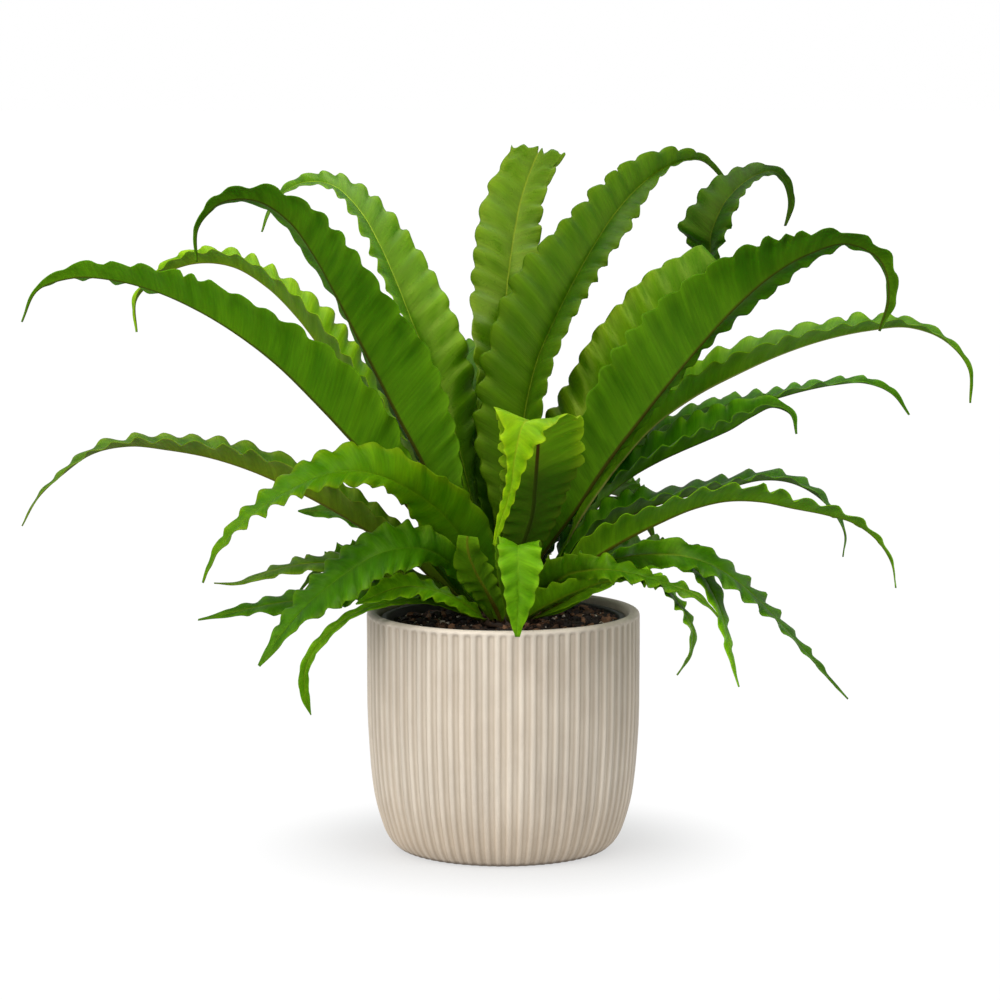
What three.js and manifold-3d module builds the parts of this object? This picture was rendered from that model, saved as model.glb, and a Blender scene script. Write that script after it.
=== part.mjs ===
// A potted crisped-frond fern: long ruffled strap fronds rise from one crown and arch outwards over a ribbed round
// pot. The plant grows in a thin black nursery pot that stands inside the ribbed outer pot.
// Millimetres, +Z up. The origin is the centre of the outer pot's flat base. -Y is the front, +X the right-hand side.
import * as THREE from "three";
import { mergeVertices } from "three/addons/utils/BufferGeometryUtils.js";
import Module from "manifold-3d";

const wasm = await Module();
wasm.setup();

// ---- driving dimensions ----
const POT_HEIGHT = 149.4;
const POT_RADIUS = 85.1; // over the ribs
const POT_WALL = 6.9;
const POT_FLOOR = 7.0; // thickness of the pot's floor
const RIBS = 72;
const RIB_DEPTH = 1.3;
const RIB_TOP = 145.8; // the flutes end here, just under the rounded rim
const GAP = 0.3; // between pieces that rest on each other
const LINER_TOP_RADIUS = 73.6;
const LINER_BASE_RADIUS = 55.0;
const LINER_HEIGHT = 137.9;
const LINER_WALL = 1.3;
const LINER_LIP = 2.6; // how far the rolled lip stands out
const LINER_DRAINS = 8;
const LINER_DRAIN_RADIUS = 4.5;
const SOIL_TOP = 140.0;
const CROWN_RADIUS = 18.6;
const CROWN_HEIGHT = 22.0;
const CROWN_CENTRE = [3, 2];
const FROND_THICKNESS = 1.3;

// Outer radius of the pot at a height, over the ribs: a straight side that rounds in to the foot.
const POT_PROFILE = [
  [0, 63.6], [1.2, 66.4], [3.4, 69.2], [6.6, 71.8], [11, 74.2], [16, 76.0], [21, 77.6], [26, 79.0],
  [33, 80.6], [41, 81.8], [51, 82.9], [63, 83.8], [77, 84.6], [91, 85.0], [112, 85.1], [POT_HEIGHT, 85.1],
];

function along(profile, z) {
  for (let i = 1; i < profile.length; i++) {
    const [z0, r0] = profile[i - 1], [z1, r1] = profile[i];
    if (z <= z1) return r0 + ((r1 - r0) * (z - z0)) / (z1 - z0);
  }
  return profile[profile.length - 1][1];
}

// A closed body from rings of points that share one count, capped at both ends with a fan about a centre point.
function ringBody(rings, bottomCentre, topCentre) {
  const n = rings[0].length, position = [], index = [];
  rings.forEach((ring) => ring.forEach((p) => position.push(...p)));
  for (let k = 0; k + 1 < rings.length; k++)
    for (let j = 0; j < n; j++) {
      const a = k * n + j, b = k * n + ((j + 1) % n), c = a + n, d = b + n;
      index.push(a, b, d, a, d, c);
    }
  const low = rings.length * n, high = low + 1, last = (rings.length - 1) * n;
  position.push(...bottomCentre, ...topCentre);
  for (let j = 0; j < n; j++) {
    index.push(low, (j + 1) % n, j);
    index.push(high, last + j, last + ((j + 1) % n));
  }
  return new THREE.BufferGeometry()
    .setAttribute("position", new THREE.Float32BufferAttribute(position, 3))
    .setIndex(index);
}

function circle(radius, z, count, turn = 0, centre = [0, 0]) {
  return Array.from({ length: count }, (_, j) => {
    const t = turn + (2 * Math.PI * j) / count,
      r = typeof radius === "function" ? radius(t, j) : radius;
    return [centre[0] + r * Math.cos(t), centre[1] + r * Math.sin(t), typeof z === "function" ? z(t, j) : z];
  });
}

function solidOf(geometry) {
  const g = geometry.clone();
  g.deleteAttribute("normal");
  g.deleteAttribute("uv");
  const merged = mergeVertices(g, 1e-4);
  return new wasm.Manifold(new wasm.Mesh({
    numProp: 3,
    vertProperties: new Float32Array(merged.attributes.position.array),
    triVerts: new Uint32Array(merged.index.array),
  }));
}

function geometryOf(solid) {
  const m = solid.getMesh(), n = m.numProp, p = new Float32Array((m.vertProperties.length / n) * 3);
  for (let i = 0; i < p.length / 3; i++) p.set(m.vertProperties.subarray(i * n, i * n + 3), i * 3);
  return new THREE.BufferGeometry()
    .setAttribute("position", new THREE.BufferAttribute(p, 3))
    .setIndex(new THREE.BufferAttribute(new Uint32Array(m.triVerts), 1));
}

function piece(name, geometry, colour, roughness, metalness = 0) {
  geometry.computeVertexNormals();
  const mesh = new THREE.Mesh(geometry, new THREE.MeshStandardMaterial({ color: colour, roughness, metalness, flatShading: true }));
  mesh.name = name;
  return mesh;
}

// ---- the ribbed outer pot: one thrown wall, from the foot up the outside, over the rim and down the inside ----
function pot() {
  const count = 2 * RIBS, turn = -Math.PI / 2; // a flute faces the front
  const ribbed = (z) => {
    const fade = Math.min(1, Math.max(0, (RIB_TOP - z) / 2.4));
    return (t, j) => along(POT_PROFILE, z) - (j % 2 ? 0 : RIB_DEPTH * fade);
  };
  const rings = [];
  for (const z of [0, 2, 6.6, 14, 26, 46, 85, RIB_TOP - 2.4, RIB_TOP]) rings.push(circle(ribbed(z), z, count, turn));
  rings.push(circle(POT_RADIUS - 0.9, POT_HEIGHT - 1.2, count, turn));
  rings.push(circle(POT_RADIUS - 3.0, POT_HEIGHT, count, turn));
  rings.push(circle(POT_RADIUS - POT_WALL + 1.6, POT_HEIGHT - 0.5, count, turn));
  for (const z of [POT_HEIGHT - 4.5, 40, 13]) rings.push(circle(along(POT_PROFILE, z) - POT_WALL, z, count, turn));
  rings.push(circle(along(POT_PROFILE, POT_FLOOR) - POT_WALL - 3, POT_FLOOR, count, turn));
  return piece("outer_pot", ringBody(rings, [0, 0, 0], [0, 0, POT_FLOOR]), 0xcfc2b0, 0.55);
}

// ---- the thin nursery pot that the plant grows in, with a lip and drain holes, standing on the outer pot's floor ----
const LINER_Z = POT_FLOOR + GAP;
function linerRadius(z) {
  return LINER_BASE_RADIUS + ((LINER_TOP_RADIUS - LINER_BASE_RADIUS) * (z - LINER_Z)) / LINER_HEIGHT;
}
function nurseryPot() {
  const count = 48, top = LINER_Z + LINER_HEIGHT, rings = [];
  rings.push(circle(LINER_BASE_RADIUS - 1.5, LINER_Z, count));
  rings.push(circle(linerRadius(LINER_Z + 1.5), LINER_Z + 1.5, count));
  rings.push(circle(linerRadius(top - 8), top - 8, count));
  rings.push(circle(LINER_TOP_RADIUS + LINER_LIP, top - 7.2, count));
  rings.push(circle(LINER_TOP_RADIUS + LINER_LIP + 0.3, top - 0.6, count));
  rings.push(circle(LINER_TOP_RADIUS + LINER_LIP - 0.4, top, count));
  rings.push(circle(LINER_TOP_RADIUS - LINER_WALL + 0.5, top, count));
  rings.push(circle(LINER_TOP_RADIUS - LINER_WALL, top - 0.6, count));
  rings.push(circle(linerRadius(LINER_Z + 2.5) - LINER_WALL, LINER_Z + 2.5, count));
  rings.push(circle(LINER_BASE_RADIUS - LINER_WALL - 1.5, LINER_Z + LINER_WALL, count));
  let solid = solidOf(ringBody(rings, [0, 0, LINER_Z], [0, 0, LINER_Z + LINER_WALL]));
  for (let i = 0; i < LINER_DRAINS; i++) {
    const t = (2 * Math.PI * i) / LINER_DRAINS,
      drill = new THREE.CylinderGeometry(LINER_DRAIN_RADIUS, LINER_DRAIN_RADIUS, 8, 12).rotateX(Math.PI / 2);
    drill.translate(38 * Math.cos(t), 38 * Math.sin(t), LINER_Z + 1);
    solid = solid.subtract(solidOf(drill));
  }
  return piece("nursery_pot", geometryOf(solid), 0x2b2b2d, 0.6);
}

// ---- the potting mix: a plug of bark and peat with an uneven top that rises a little to the crown ----
function uneven(t, r) {
  const far = Math.min(1, Math.max(0, (r - 26) / 14));
  return far * (0.8 * Math.sin(3 * t + 0.7) + 0.6 * Math.sin(7 * t + r * 0.21) + 0.5 * Math.sin(11 * t - r * 0.33)) - Math.max(0, r - 60) * 0.06;
}
function soil() {
  const count = 48, rings = [], low = LINER_Z + LINER_WALL + GAP;
  rings.push(circle(LINER_BASE_RADIUS - LINER_WALL - 3.2, low, count));
  rings.push(circle(linerRadius(low + 3) - LINER_WALL - GAP - 0.3, low + 3, count));
  const edge = linerRadius(SOIL_TOP) - LINER_WALL - GAP - 0.5;
  for (const r of [edge, 62, 52, 42, 33, 26]) rings.push(circle(r, (t) => SOIL_TOP + uneven(t, r) - (r === edge ? 1.2 : 0), count));
  return piece("potting_mix", ringBody(rings, [0, 0, low], [0, 0, SOIL_TOP]), 0x33231a, 0.95);
}

// ---- the crown: the short scaly rootstock that every frond grows from, seated on the mix ----
function crown() {
  const count = 26, z0 = SOIL_TOP + GAP, rings = [];
  const profile = [[0, CROWN_RADIUS - 1.2], [2.2, CROWN_RADIUS], [4.6, 17.4], [8.4, 13.2], [11.5, 10.9], [15.6, 7.4], [18.6, 4.6], [21.2, 2.4]];
  for (const [h, r] of profile) rings.push(circle((t, j) => r - (j % 2 ? 0 : 0.045 * r), z0 + h, count, 0.11 * h, CROWN_CENTRE));
  return piece("rootstock_crown", ringBody(rings, [...CROWN_CENTRE, z0], [...CROWN_CENTRE, z0 + CROWN_HEIGHT]), 0x4a3420, 0.9);
}

// ---- the fronds ----
// Each frond is a strap folded along its midrib. A station holds the midrib point, then the point on one margin and
// the point on the other, from the crown to the drip tip. Crisping of the margins is finer than this body.
const FRONDS = {
  frond_left_long: { colour: 0x3f7a12, stations: [
    [-10.4, 0.2, 152.4, -10.7, 2.3, 152.9, -10.1, -1.8, 152.9],
    [-32.7, -0.5, 177.6, -28.7, 8.1, 180, -27.5, -8, 183.3],
    [-51.7, -0.9, 204.8, -44.2, 14.3, 208.7, -41.9, -14.2, 214],
    [-72.9, -2, 231.9, -61.1, 13.9, 240.6, -57.5, -12.3, 246.4],
    [-95, -3.1, 257, -77.8, 9.6, 271.8, -72.7, -16.8, 278.8],
    [-117, -4.3, 280.8, -99.8, 9.6, 296.4, -94.3, -18.3, 303.4],
    [-139.2, -5.5, 302.9, -126.9, 15, 316.4, -121.3, -17.6, 324.1],
    [-163, -6.7, 321.6, -157.1, 17.8, 329.6, -149.2, -23.5, 340.7],
    [-187.7, -8, 337, -187.3, 15.7, 339, -178, -23, 355.1],
    [-213.2, -9.3, 348.8, -215.2, 10.4, 346.4, -206.8, -22.9, 363.3],
    [-239.1, -10.7, 356, -240.5, 3, 354.1, -236.6, -19.6, 366.9],
    [-264.8, -12, 357.5, -265.6, -4, 356.2, -264.8, -15.8, 366],
    [-286.2, -13.2, 349.9, -286.4, -9.7, 349.4, -288.4, -14.8, 352.6],
    [-295.9, -13.7, 330.6, -295.9, -12.8, 330.5, -296.7, -14.1, 330.8],
  ] },
  frond_left_rear: { colour: 0x74a52c, stations: [
    [-10, 5.8, 152.4, -10.5, 3.8, 152.9, -9.4, 7.8, 152.9],
    [-27.6, 15.1, 181.1, -25.6, 6.3, 183.7, -24.3, 23.2, 182.3],
    [-43, 23.5, 211, -39.7, 10.2, 214.4, -37.7, 35.9, 212.3],
    [-57.6, 30.1, 237.9, -52.9, 10.4, 242.9, -50, 48.1, 240.4],
    [-75, 37.1, 262.1, -69.8, 13.6, 268.5, -67.1, 58.7, 266.6],
    [-94.4, 45.4, 283.8, -87.2, 21.6, 291.7, -82.7, 64.8, 292.2],
    [-112.8, 53.5, 305.4, -104.3, 29.6, 313.6, -98.5, 71.2, 315.4],
    [-130.1, 61.3, 326.9, -122.2, 38.3, 334.6, -117.9, 79.2, 336.2],
    [-149.5, 69.9, 345.3, -143.8, 49.5, 352.7, -143.4, 88.4, 352.7],
    [-172.3, 80.1, 357.7, -168.8, 63.9, 365.7, -170, 95, 365.6],
    [-197.4, 91.2, 358.8, -197.8, 81.2, 366.5, -199.5, 99.5, 367.1],
    [-220.6, 101.5, 349.3, -222, 95.4, 353, -223.7, 106.4, 353.4],
    [-236.4, 108.6, 333.1, -236.9, 105.6, 333.6, -238.7, 110.7, 333.7],
    [-235.9, 108.3, 313.3, -235.8, 107.6, 313.4, -236.5, 108.9, 313.1],
  ] },
  frond_left_arching: { colour: 0x2f6410, stations: [
    [-1.9, -3, 159.4, -3.2, -1.8, 159.8, -0.6, -4.3, 159.8],
    [-21.4, -7.7, 187, -22.1, 1.5, 185.3, -14.8, -13.3, 191.1],
    [-37.4, -11, 215.2, -38.8, 6.3, 212.4, -24.7, -21.4, 222.3],
    [-50.3, -15.5, 244.5, -52.2, 8.6, 240.8, -27.9, -15.5, 255.7],
    [-64.5, -18, 271.8, -67, 10.8, 267.6, -35.9, -18, 286.9],
    [-77.7, -21.1, 298.5, -80.3, 8.9, 294.6, -46.4, -21.1, 314.1],
    [-90.6, -24.9, 324.4, -93.2, 5.9, 320.8, -63.8, -29.9, 339.2],
    [-102.9, -28.4, 349.4, -106.1, 0.9, 346, -79.9, -43.4, 361.8],
    [-115.6, -32, 373.1, -121.1, -6.7, 368.5, -97.5, -47.6, 385],
    [-130.4, -36.2, 393.9, -134.8, -15.6, 389.4, -118.5, -50.6, 405.5],
    [-150, -41.9, 406.8, -151.7, -27.6, 402.8, -146.9, -53.2, 416.4],
    [-171.5, -48, 405.5, -171.3, -39.7, 403.3, -173.3, -54.7, 410.8],
    [-184.3, -51.7, 390.8, -183.8, -48.1, 390.3, -186.3, -54.6, 391.6],
    [-185.2, -52, 370.4, -185.4, -51, 370.3, -185.7, -52.7, 370.4],
  ] },
  frond_left_inner: { colour: 0x5a9420, stations: [
    [-3.9, 0.7, 159.4, -3.6, -0.9, 159.8, -4.2, 2.4, 159.8],
    [-12.5, 9.7, 189.5, -13.6, 2.1, 190.3, -8.5, 16.2, 189.6],
    [-20.9, 19.4, 219.2, -22.7, 6.5, 220.4, -17, 31.7, 218.6],
    [-28.1, 28.1, 247.2, -30.9, 7.3, 248.8, -18.5, 46.6, 247.6],
    [-36.8, 38.4, 273.8, -38.5, 13.4, 275.8, -17.9, 53.4, 278.9],
    [-46.9, 48.6, 299.3, -48.4, 22.5, 301.1, -23.2, 53.8, 308.5],
    [-57.7, 58.6, 323.8, -61, 32.1, 324.6, -33.4, 63.5, 333.4],
    [-67.7, 68, 347.9, -73.4, 43.3, 347.4, -45.8, 77.4, 356],
    [-78.4, 77.9, 370.9, -83.6, 56.4, 369.5, -61.6, 89.9, 378.5],
    [-91.1, 89.8, 391.8, -94.7, 72.1, 389.9, -80.5, 102.3, 398.9],
    [-108.5, 106, 407, -109.2, 93.5, 405.4, -105.1, 115.7, 413.8],
    [-130.7, 126.7, 407.5, -129.9, 119.4, 406.5, -132.4, 132.4, 411.8],
    [-148.9, 143.6, 394.3, -148.2, 140.5, 394.1, -150.7, 146.1, 395.4],
    [-157.3, 151.5, 374.9, -157.1, 150.7, 374.9, -157.9, 152.1, 374.9],
  ] },
  frond_centre_upright: { colour: 0x74a52c, stations: [
    [-0.4, 8.1, 159.4, -1.2, 7.7, 159.6, 0.3, 8.5, 159.6],
    [-0.4, 13.1, 185.4, -2.3, 9.5, 185.9, 2.4, 10.1, 185.9],
    [-0.7, 21.5, 211.3, -5.6, 12.3, 212.5, 5.2, 12.9, 212.6],
    [-0.7, 28.4, 235.6, -10.8, 10.8, 237.8, 10.4, 11.5, 237.7],
    [-0.6, 35.6, 258.4, -13, 15.9, 260.8, 12, 16, 260.4],
    [-0.1, 43.1, 280.6, -15, 23.1, 283, 14.5, 23, 282.4],
    [0.3, 51.9, 302.1, -17.7, 34.7, 304.2, 17.1, 33.5, 303.5],
    [1.1, 62.5, 322.8, -19.7, 51.1, 324.9, 19.5, 47.6, 323.2],
    [2.4, 72.7, 343, -19.5, 72.7, 344.8, 21.4, 62.7, 342.2],
    [4.7, 82.5, 362.5, -18.2, 82.5, 365.6, 22.7, 77.9, 360.3],
    [7.7, 93.5, 381.2, -15.8, 93.5, 385.1, 23.8, 93.5, 378.5],
    [11.5, 104.2, 399, -10.1, 104.2, 404.6, 25.2, 104.2, 395.4],
    [17.1, 113.6, 415.6, -0.6, 113.6, 422.4, 30.7, 113.6, 410.4],
    [23.8, 122, 430.9, 8.2, 122, 437.7, 38.5, 122, 424.5],
  ] },
  frond_centre_right: { colour: 0x5a9420, stations: [
    [7.7, 7.2, 159.4, 6.9, 7.9, 159.6, 8.4, 6.6, 159.6],
    [7.9, 3.1, 190.4, 1.6, 3.1, 190.7, 11.6, 0.3, 190.6],
    [7.8, 2.9, 219.7, -6, 2.9, 220.8, 14.2, -7.1, 220.5],
    [10.5, 7.9, 248.7, -16.7, 7.9, 251.7, 20.1, -12.5, 250.1],
    [14.7, 13.8, 276.8, -15.1, 13.8, 282.2, 24.3, -11.3, 277.7],
    [21.5, 21.8, 303.2, -9.2, 21.8, 314.2, 30.5, -4.5, 302.4],
    [32.3, 33.4, 327.3, 0.8, 33.4, 342.3, 40.6, 6.4, 325.6],
    [44.3, 46.3, 350.2, 15.5, 46.3, 365.3, 53.4, 21.1, 347.1],
    [57.1, 60, 371.8, 35.3, 60, 384.6, 66.8, 39, 367.3],
    [71.1, 75.1, 391.8, 54.9, 75.1, 403.8, 80.7, 59.8, 385.3],
    [87.8, 92.9, 408.6, 76.2, 92.9, 421.5, 92.5, 81.5, 403.6],
    [107.7, 114.3, 420.3, 103.1, 114.3, 430.4, 108, 106.4, 419.3],
    [129.1, 137.2, 421.9, 130.6, 137.2, 427.2, 128.9, 133.7, 422.1],
    [144, 153.2, 408.6, 147.1, 153.2, 410.7, 144, 152.4, 408.7],
  ] },
  frond_right_curled: { colour: 0x2f6410, stations: [
    [9.8, 3.6, 159.4, 9.5, 5, 159.7, 10.1, 2.1, 159.7],
    [25.2, 19.2, 189.7, 22.3, 23.9, 190.3, 28.1, 14.6, 189.1],
    [45.3, 37.5, 226.2, 38.5, 48.5, 228, 52, 26.5, 224.4],
    [64.5, 53.6, 259.2, 56.5, 67.6, 262.1, 72.3, 39.6, 256.4],
    [87.1, 72.6, 295.5, 79.3, 88.6, 299.1, 94.8, 56.6, 292],
    [108, 90.1, 323.9, 101, 107.1, 328.3, 115, 74.1, 319.6],
    [125.2, 104.5, 343.9, 119.4, 119.5, 346.6, 130.9, 90.5, 341.9],
    [132.5, 110.7, 357.6, 126, 123.7, 359.3, 136.9, 97.7, 358.6],
    [133.8, 111.7, 365.9, 121.4, 122.7, 368.4, 138.9, 99.7, 366.8],
    [133.7, 111.7, 374.3, 114.1, 120.7, 378.2, 142.1, 99.7, 374.5],
    [137, 114.4, 384.4, 118, 122.4, 388.4, 146.1, 103.4, 383.9],
    [141.6, 118.3, 393.8, 124.6, 126.3, 396.6, 149.5, 108.3, 393.2],
    [148.3, 124, 401.9, 131.2, 130.9, 406, 154.3, 116, 401.1],
    [157.1, 131.3, 408.9, 145.7, 137.3, 414.1, 159.9, 124.3, 407],
    [167.3, 139.9, 413.6, 160.3, 143.9, 419.2, 168.3, 134.9, 411.6],
    [175.5, 146.8, 414.5, 174.4, 149.8, 418.6, 175.7, 143.8, 412.4],
    [182.4, 152.6, 410, 184.8, 154.6, 413.1, 180.7, 150.6, 408.8],
    [186.7, 156.1, 402, 189.4, 157.6, 403.2, 184.9, 154.6, 401.4],
    [187.8, 157.1, 391.5, 190.2, 158.1, 391.4, 186.1, 156.1, 391.5],
    [184.1, 154, 378.6, 184.8, 154.3, 378.6, 183.4, 153.7, 378.6],
  ] },
  frond_right_inner: { colour: 0x74a52c, stations: [
    [9.5, -0.7, 159.4, 9.8, 0.2, 159.6, 9.1, -1.6, 159.6],
    [14.8, 7.2, 180.6, 12.4, 10.7, 180.7, 16.9, 3.5, 180.6],
    [20.6, 13.1, 201.6, 16.7, 18.8, 202, 23.9, 7, 201.4],
    [27, 11.7, 222.6, 17.6, 24.9, 224.6, 34.6, -2.9, 221.5],
    [35.3, 16.7, 241.2, 20.5, 31.9, 246.4, 45.1, -2.7, 238.8],
    [45, 22.7, 258.4, 28.7, 36.9, 267.1, 54.8, 1.9, 254.4],
    [56.1, 28.9, 274.1, 39.2, 40.3, 285.4, 65.3, 8.2, 269.3],
    [67.6, 34.9, 288.9, 47.9, 34.9, 303.7, 76.2, 15.2, 284.1],
    [79, 40.7, 303.2, 57.8, 40.7, 319.5, 86.6, 22.8, 298.6],
    [90.2, 46.5, 316.7, 70, 46.5, 333.5, 96.6, 30.8, 312.4],
    [101.7, 52.3, 329.3, 82.5, 52.3, 346.7, 106.4, 40.3, 325.7],
    [113.2, 58.2, 341, 95.6, 58.2, 357.7, 116.4, 49.9, 338.4],
    [124.5, 63.9, 352, 111.2, 63.9, 365.3, 125.9, 59.9, 350.7],
    [135.5, 69.5, 362, 125.3, 69.5, 372.6, 135.7, 68.9, 361.8],
  ] },
  frond_right_arching: { colour: 0x2f6410, stations: [
    [6.7, -4, 159.4, 5.6, -4.6, 159.7, 7.8, -3.3, 159.7],
    [26.6, -7, 188.7, 23, -10, 191, 27.2, -2.1, 187.7],
    [46.5, -19, 217.8, 41.5, -23.9, 221.6, 47.4, -11.4, 216.3],
    [65, -21.9, 245.4, 44.2, -21.9, 261.1, 68.1, 2.1, 240.7],
    [84.3, -23.6, 271.2, 57.8, -23.6, 291.8, 88, 3.6, 266],
    [103.5, -24.4, 295.8, 73.8, -24.4, 319.9, 107.7, 5.5, 290.3],
    [123.2, -14.2, 318, 95.3, -14.2, 342.2, 127.7, 16.3, 312.6],
    [143.1, -10.2, 339.4, 121.2, -10.2, 360.9, 149.8, 18.2, 331.9],
    [164, -12.1, 358.2, 149.4, -23.3, 377.7, 170.9, 12.2, 349.2],
    [187.1, -14.1, 372.3, 180.2, -30.1, 386, 191, 6.3, 365.7],
    [211.5, -16.2, 378.7, 210.6, -28.9, 386.8, 212.7, -1.8, 375.4],
    [231.2, -18, 368.4, 235.9, -23.5, 372.7, 230.7, -9.6, 366.8],
    [236.4, -18.4, 347, 241.5, -18.4, 346.4, 235.6, -14.9, 346.9],
    [230.7, -17.9, 325.4, 231.6, -17.9, 325.1, 230.5, -17, 325.4],
  ] },
  frond_right_long: { colour: 0x5a9420, stations: [
    [15.1, -4, 152.4, 15.6, -3, 152.6, 14.6, -5, 152.6],
    [33.8, 2.3, 183.7, 34.8, 3.3, 183, 34.5, 1.1, 183.5],
    [52.7, 0.6, 214.8, 51.2, 2.2, 215.7, 51.6, -1.5, 215.8],
    [72.6, 12.7, 239.9, 61.5, 25.6, 247.8, 64.4, -4, 248.3],
    [94.6, 25.5, 262.4, 83, 40.9, 273.7, 86, 5.3, 273.1],
    [120, 29.6, 280.2, 111.5, 45.6, 294.6, 113.2, 8.4, 292.6],
    [146.4, 20.2, 295.3, 139.1, 36.9, 310.3, 140.2, -1.9, 307.6],
    [173, 16.9, 307.7, 168.7, 35.5, 319.6, 168.3, -5.2, 317.7],
    [200, 19.2, 316.6, 198.3, 36.7, 326, 196.8, -0.6, 324.4],
    [227, 21.6, 322.1, 226.7, 35.9, 330.1, 224.8, 5.3, 328.4],
    [253.4, 23.9, 323.9, 254.7, 34.3, 328.7, 252.4, 12.4, 327.6],
    [276.2, 25.9, 315.3, 278.8, 31.9, 317.4, 275.9, 19, 316.4],
    [291.2, 27.2, 297.4, 294.6, 28.8, 298.5, 291.1, 24.2, 297.8],
    [292.3, 27.3, 276.1, 293.1, 27.7, 275.9, 292.2, 26.6, 276.1],
  ] },
  frond_right_slender: { colour: 0x2f6410, stations: [
    [15.6, 6.9, 152.4, 15.2, 7.8, 152.6, 16, 5.9, 152.6],
    [31.3, 19.8, 175.8, 33.2, 22.1, 174.2, 32.5, 17, 175.4],
    [47.9, 44.4, 198.5, 49.4, 46.2, 197.2, 48.8, 42.1, 198.1],
    [64.5, 52.9, 218.9, 61.1, 58.9, 221.2, 62.1, 46, 221.7],
    [82.8, 57.3, 235.8, 79.1, 66.1, 240.2, 80, 47, 240.4],
    [103.6, 56.8, 249.1, 98.1, 73.8, 258.6, 99, 37, 258.4],
    [125.4, 62.2, 258.7, 121, 79.6, 269.1, 121.4, 41.8, 268.2],
    [147.4, 67.9, 266.4, 145, 86, 274.4, 144.5, 47.8, 273.8],
    [169.3, 74, 272.5, 168.6, 91.3, 276.7, 167.3, 56, 277.2],
    [190.8, 81.7, 277.8, 190.7, 96, 280.9, 189.3, 66.9, 281.2],
    [212.2, 90.8, 281, 212.3, 100.5, 283.8, 211.2, 80.4, 283],
    [232.9, 99.6, 281.2, 233.7, 104.4, 284.4, 232.4, 93.5, 282],
    [250.7, 107.1, 273.6, 252.8, 108.6, 276, 250.5, 104.5, 274],
    [262.6, 112.2, 259.1, 263.1, 112.5, 259.4, 262.5, 111.5, 259.2],
  ] },
  frond_right_short: { colour: 0x2f6410, stations: [
    [16.5, 1.4, 152.4, 16.5, 2.3, 152.6, 16.4, 0.5, 152.6],
    [28.8, 8, 169.5, 31.3, 10.2, 167.6, 30.1, 4.7, 169.1],
    [40.7, 15.3, 187.6, 38.1, 20, 188.6, 39.2, 10, 189.2],
    [53.3, 28.6, 203.4, 51.8, 31.5, 204.2, 52.5, 25.3, 204.4],
    [66.3, 31.6, 217.6, 58.4, 50.3, 224.3, 62, 9.9, 224.4],
    [80.6, 25.9, 229.9, 74.2, 45.4, 238.3, 77.1, 3.2, 237.1],
    [96, 20.1, 239.6, 89.5, 38, 251.5, 92.5, -3, 247.7],
    [111.8, 18.7, 247.1, 105.4, 33, 261.8, 108.3, -3, 255.7],
    [127.6, 23.1, 253.2, 120.8, 31.6, 268.9, 124, 4.2, 261.5],
    [142.8, 29.8, 259.2, 135.4, 37.4, 273.4, 139.2, 14.5, 266.3],
    [156.5, 35.9, 266.7, 150.3, 41.5, 276.6, 153.7, 25.3, 271.3],
    [170.2, 41.6, 271.8, 169.5, 44.6, 278.1, 169.6, 35.1, 273.8],
    [181.4, 45.6, 266.7, 183.9, 46.9, 268.2, 181.4, 42.7, 267.1],
    [185, 47.1, 254.2, 185.7, 47.5, 254.3, 184.9, 46.4, 254.3],
  ] },
  frond_right_mid_upper: { colour: 0x2f6410, stations: [
    [23.1, 5.9, 144.9, 23, 6.8, 145.1, 23.3, 5, 145.1],
    [33.7, 2.6, 167.4, 30.8, 4.2, 169.2, 32.3, -0.5, 168.8],
    [47.9, -1.9, 187.3, 44.2, 0.8, 191.6, 46, -7.1, 190.3],
    [65, 0.9, 201.5, 60.7, 5.1, 208.9, 62.7, -6.7, 206.3],
    [84.3, 9.8, 209.8, 79.3, 26.5, 220.1, 81.1, -10.6, 218.3],
    [104, 15.8, 216, 102.6, 36.8, 220.5, 102.1, -6.2, 222.2],
    [123.6, 18.9, 220.5, 123.3, 40.5, 225.2, 122, -3.6, 226.7],
    [142.9, 21.7, 224, 142.4, 42.4, 228, 141, 0.1, 229.5],
    [161.5, 24.3, 227.8, 161.9, 42.5, 231.3, 160, 5.3, 232.4],
    [179.6, 26.8, 226.2, 181.9, 41.7, 229.2, 179, 11.2, 229.9],
    [195.6, 29.1, 218.4, 198.3, 39.4, 220, 195.2, 18.2, 220.4],
    [207.8, 30.8, 206.5, 209.9, 36.8, 206.9, 207.4, 24.4, 207.4],
    [215.2, 31.8, 192.4, 216.3, 34.5, 192.2, 215, 29.1, 192.8],
    [214.2, 31.7, 178, 213.7, 32, 178.1, 214.2, 31, 178.1],
  ] },
  frond_right_mid_lower: { colour: 0x5a9420, stations: [
    [23.4, 0.3, 144.9, 23.2, -1.9, 145.4, 23.6, 2.5, 145.4],
    [38.8, -5.1, 166, 34.1, -8.4, 172.2, 35.2, -0.5, 169.8],
    [56.7, -12.6, 183.6, 49.8, -18.9, 196.5, 51.6, -6.1, 191.9],
    [76.5, -18.2, 196.7, 70.2, -28, 209.8, 72.4, -5.2, 203.8],
    [96.8, -23.1, 207.7, 91.8, -39.7, 219.4, 94.3, -5.1, 212.2],
    [117, -28.6, 217, 113.3, -46.9, 227.8, 115.8, -9.2, 220.5],
    [137.6, -34.1, 222.4, 135.6, -52.8, 233.8, 138, -14.2, 226.2],
    [157.9, -39.5, 222.6, 158, -57.3, 233.6, 159.8, -20.2, 224.9],
    [177.3, -44.7, 219.2, 177.4, -60.9, 227.8, 178.9, -27.3, 218.8],
    [196, -49.7, 216.1, 196, -62.9, 223.2, 197.1, -35.4, 214.4],
    [213.4, -54.4, 211.4, 214.1, -63.5, 216.1, 214.2, -44.4, 209.9],
    [227.2, -58.1, 201.6, 228.3, -63.4, 203.9, 227.7, -52.3, 200.7],
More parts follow.
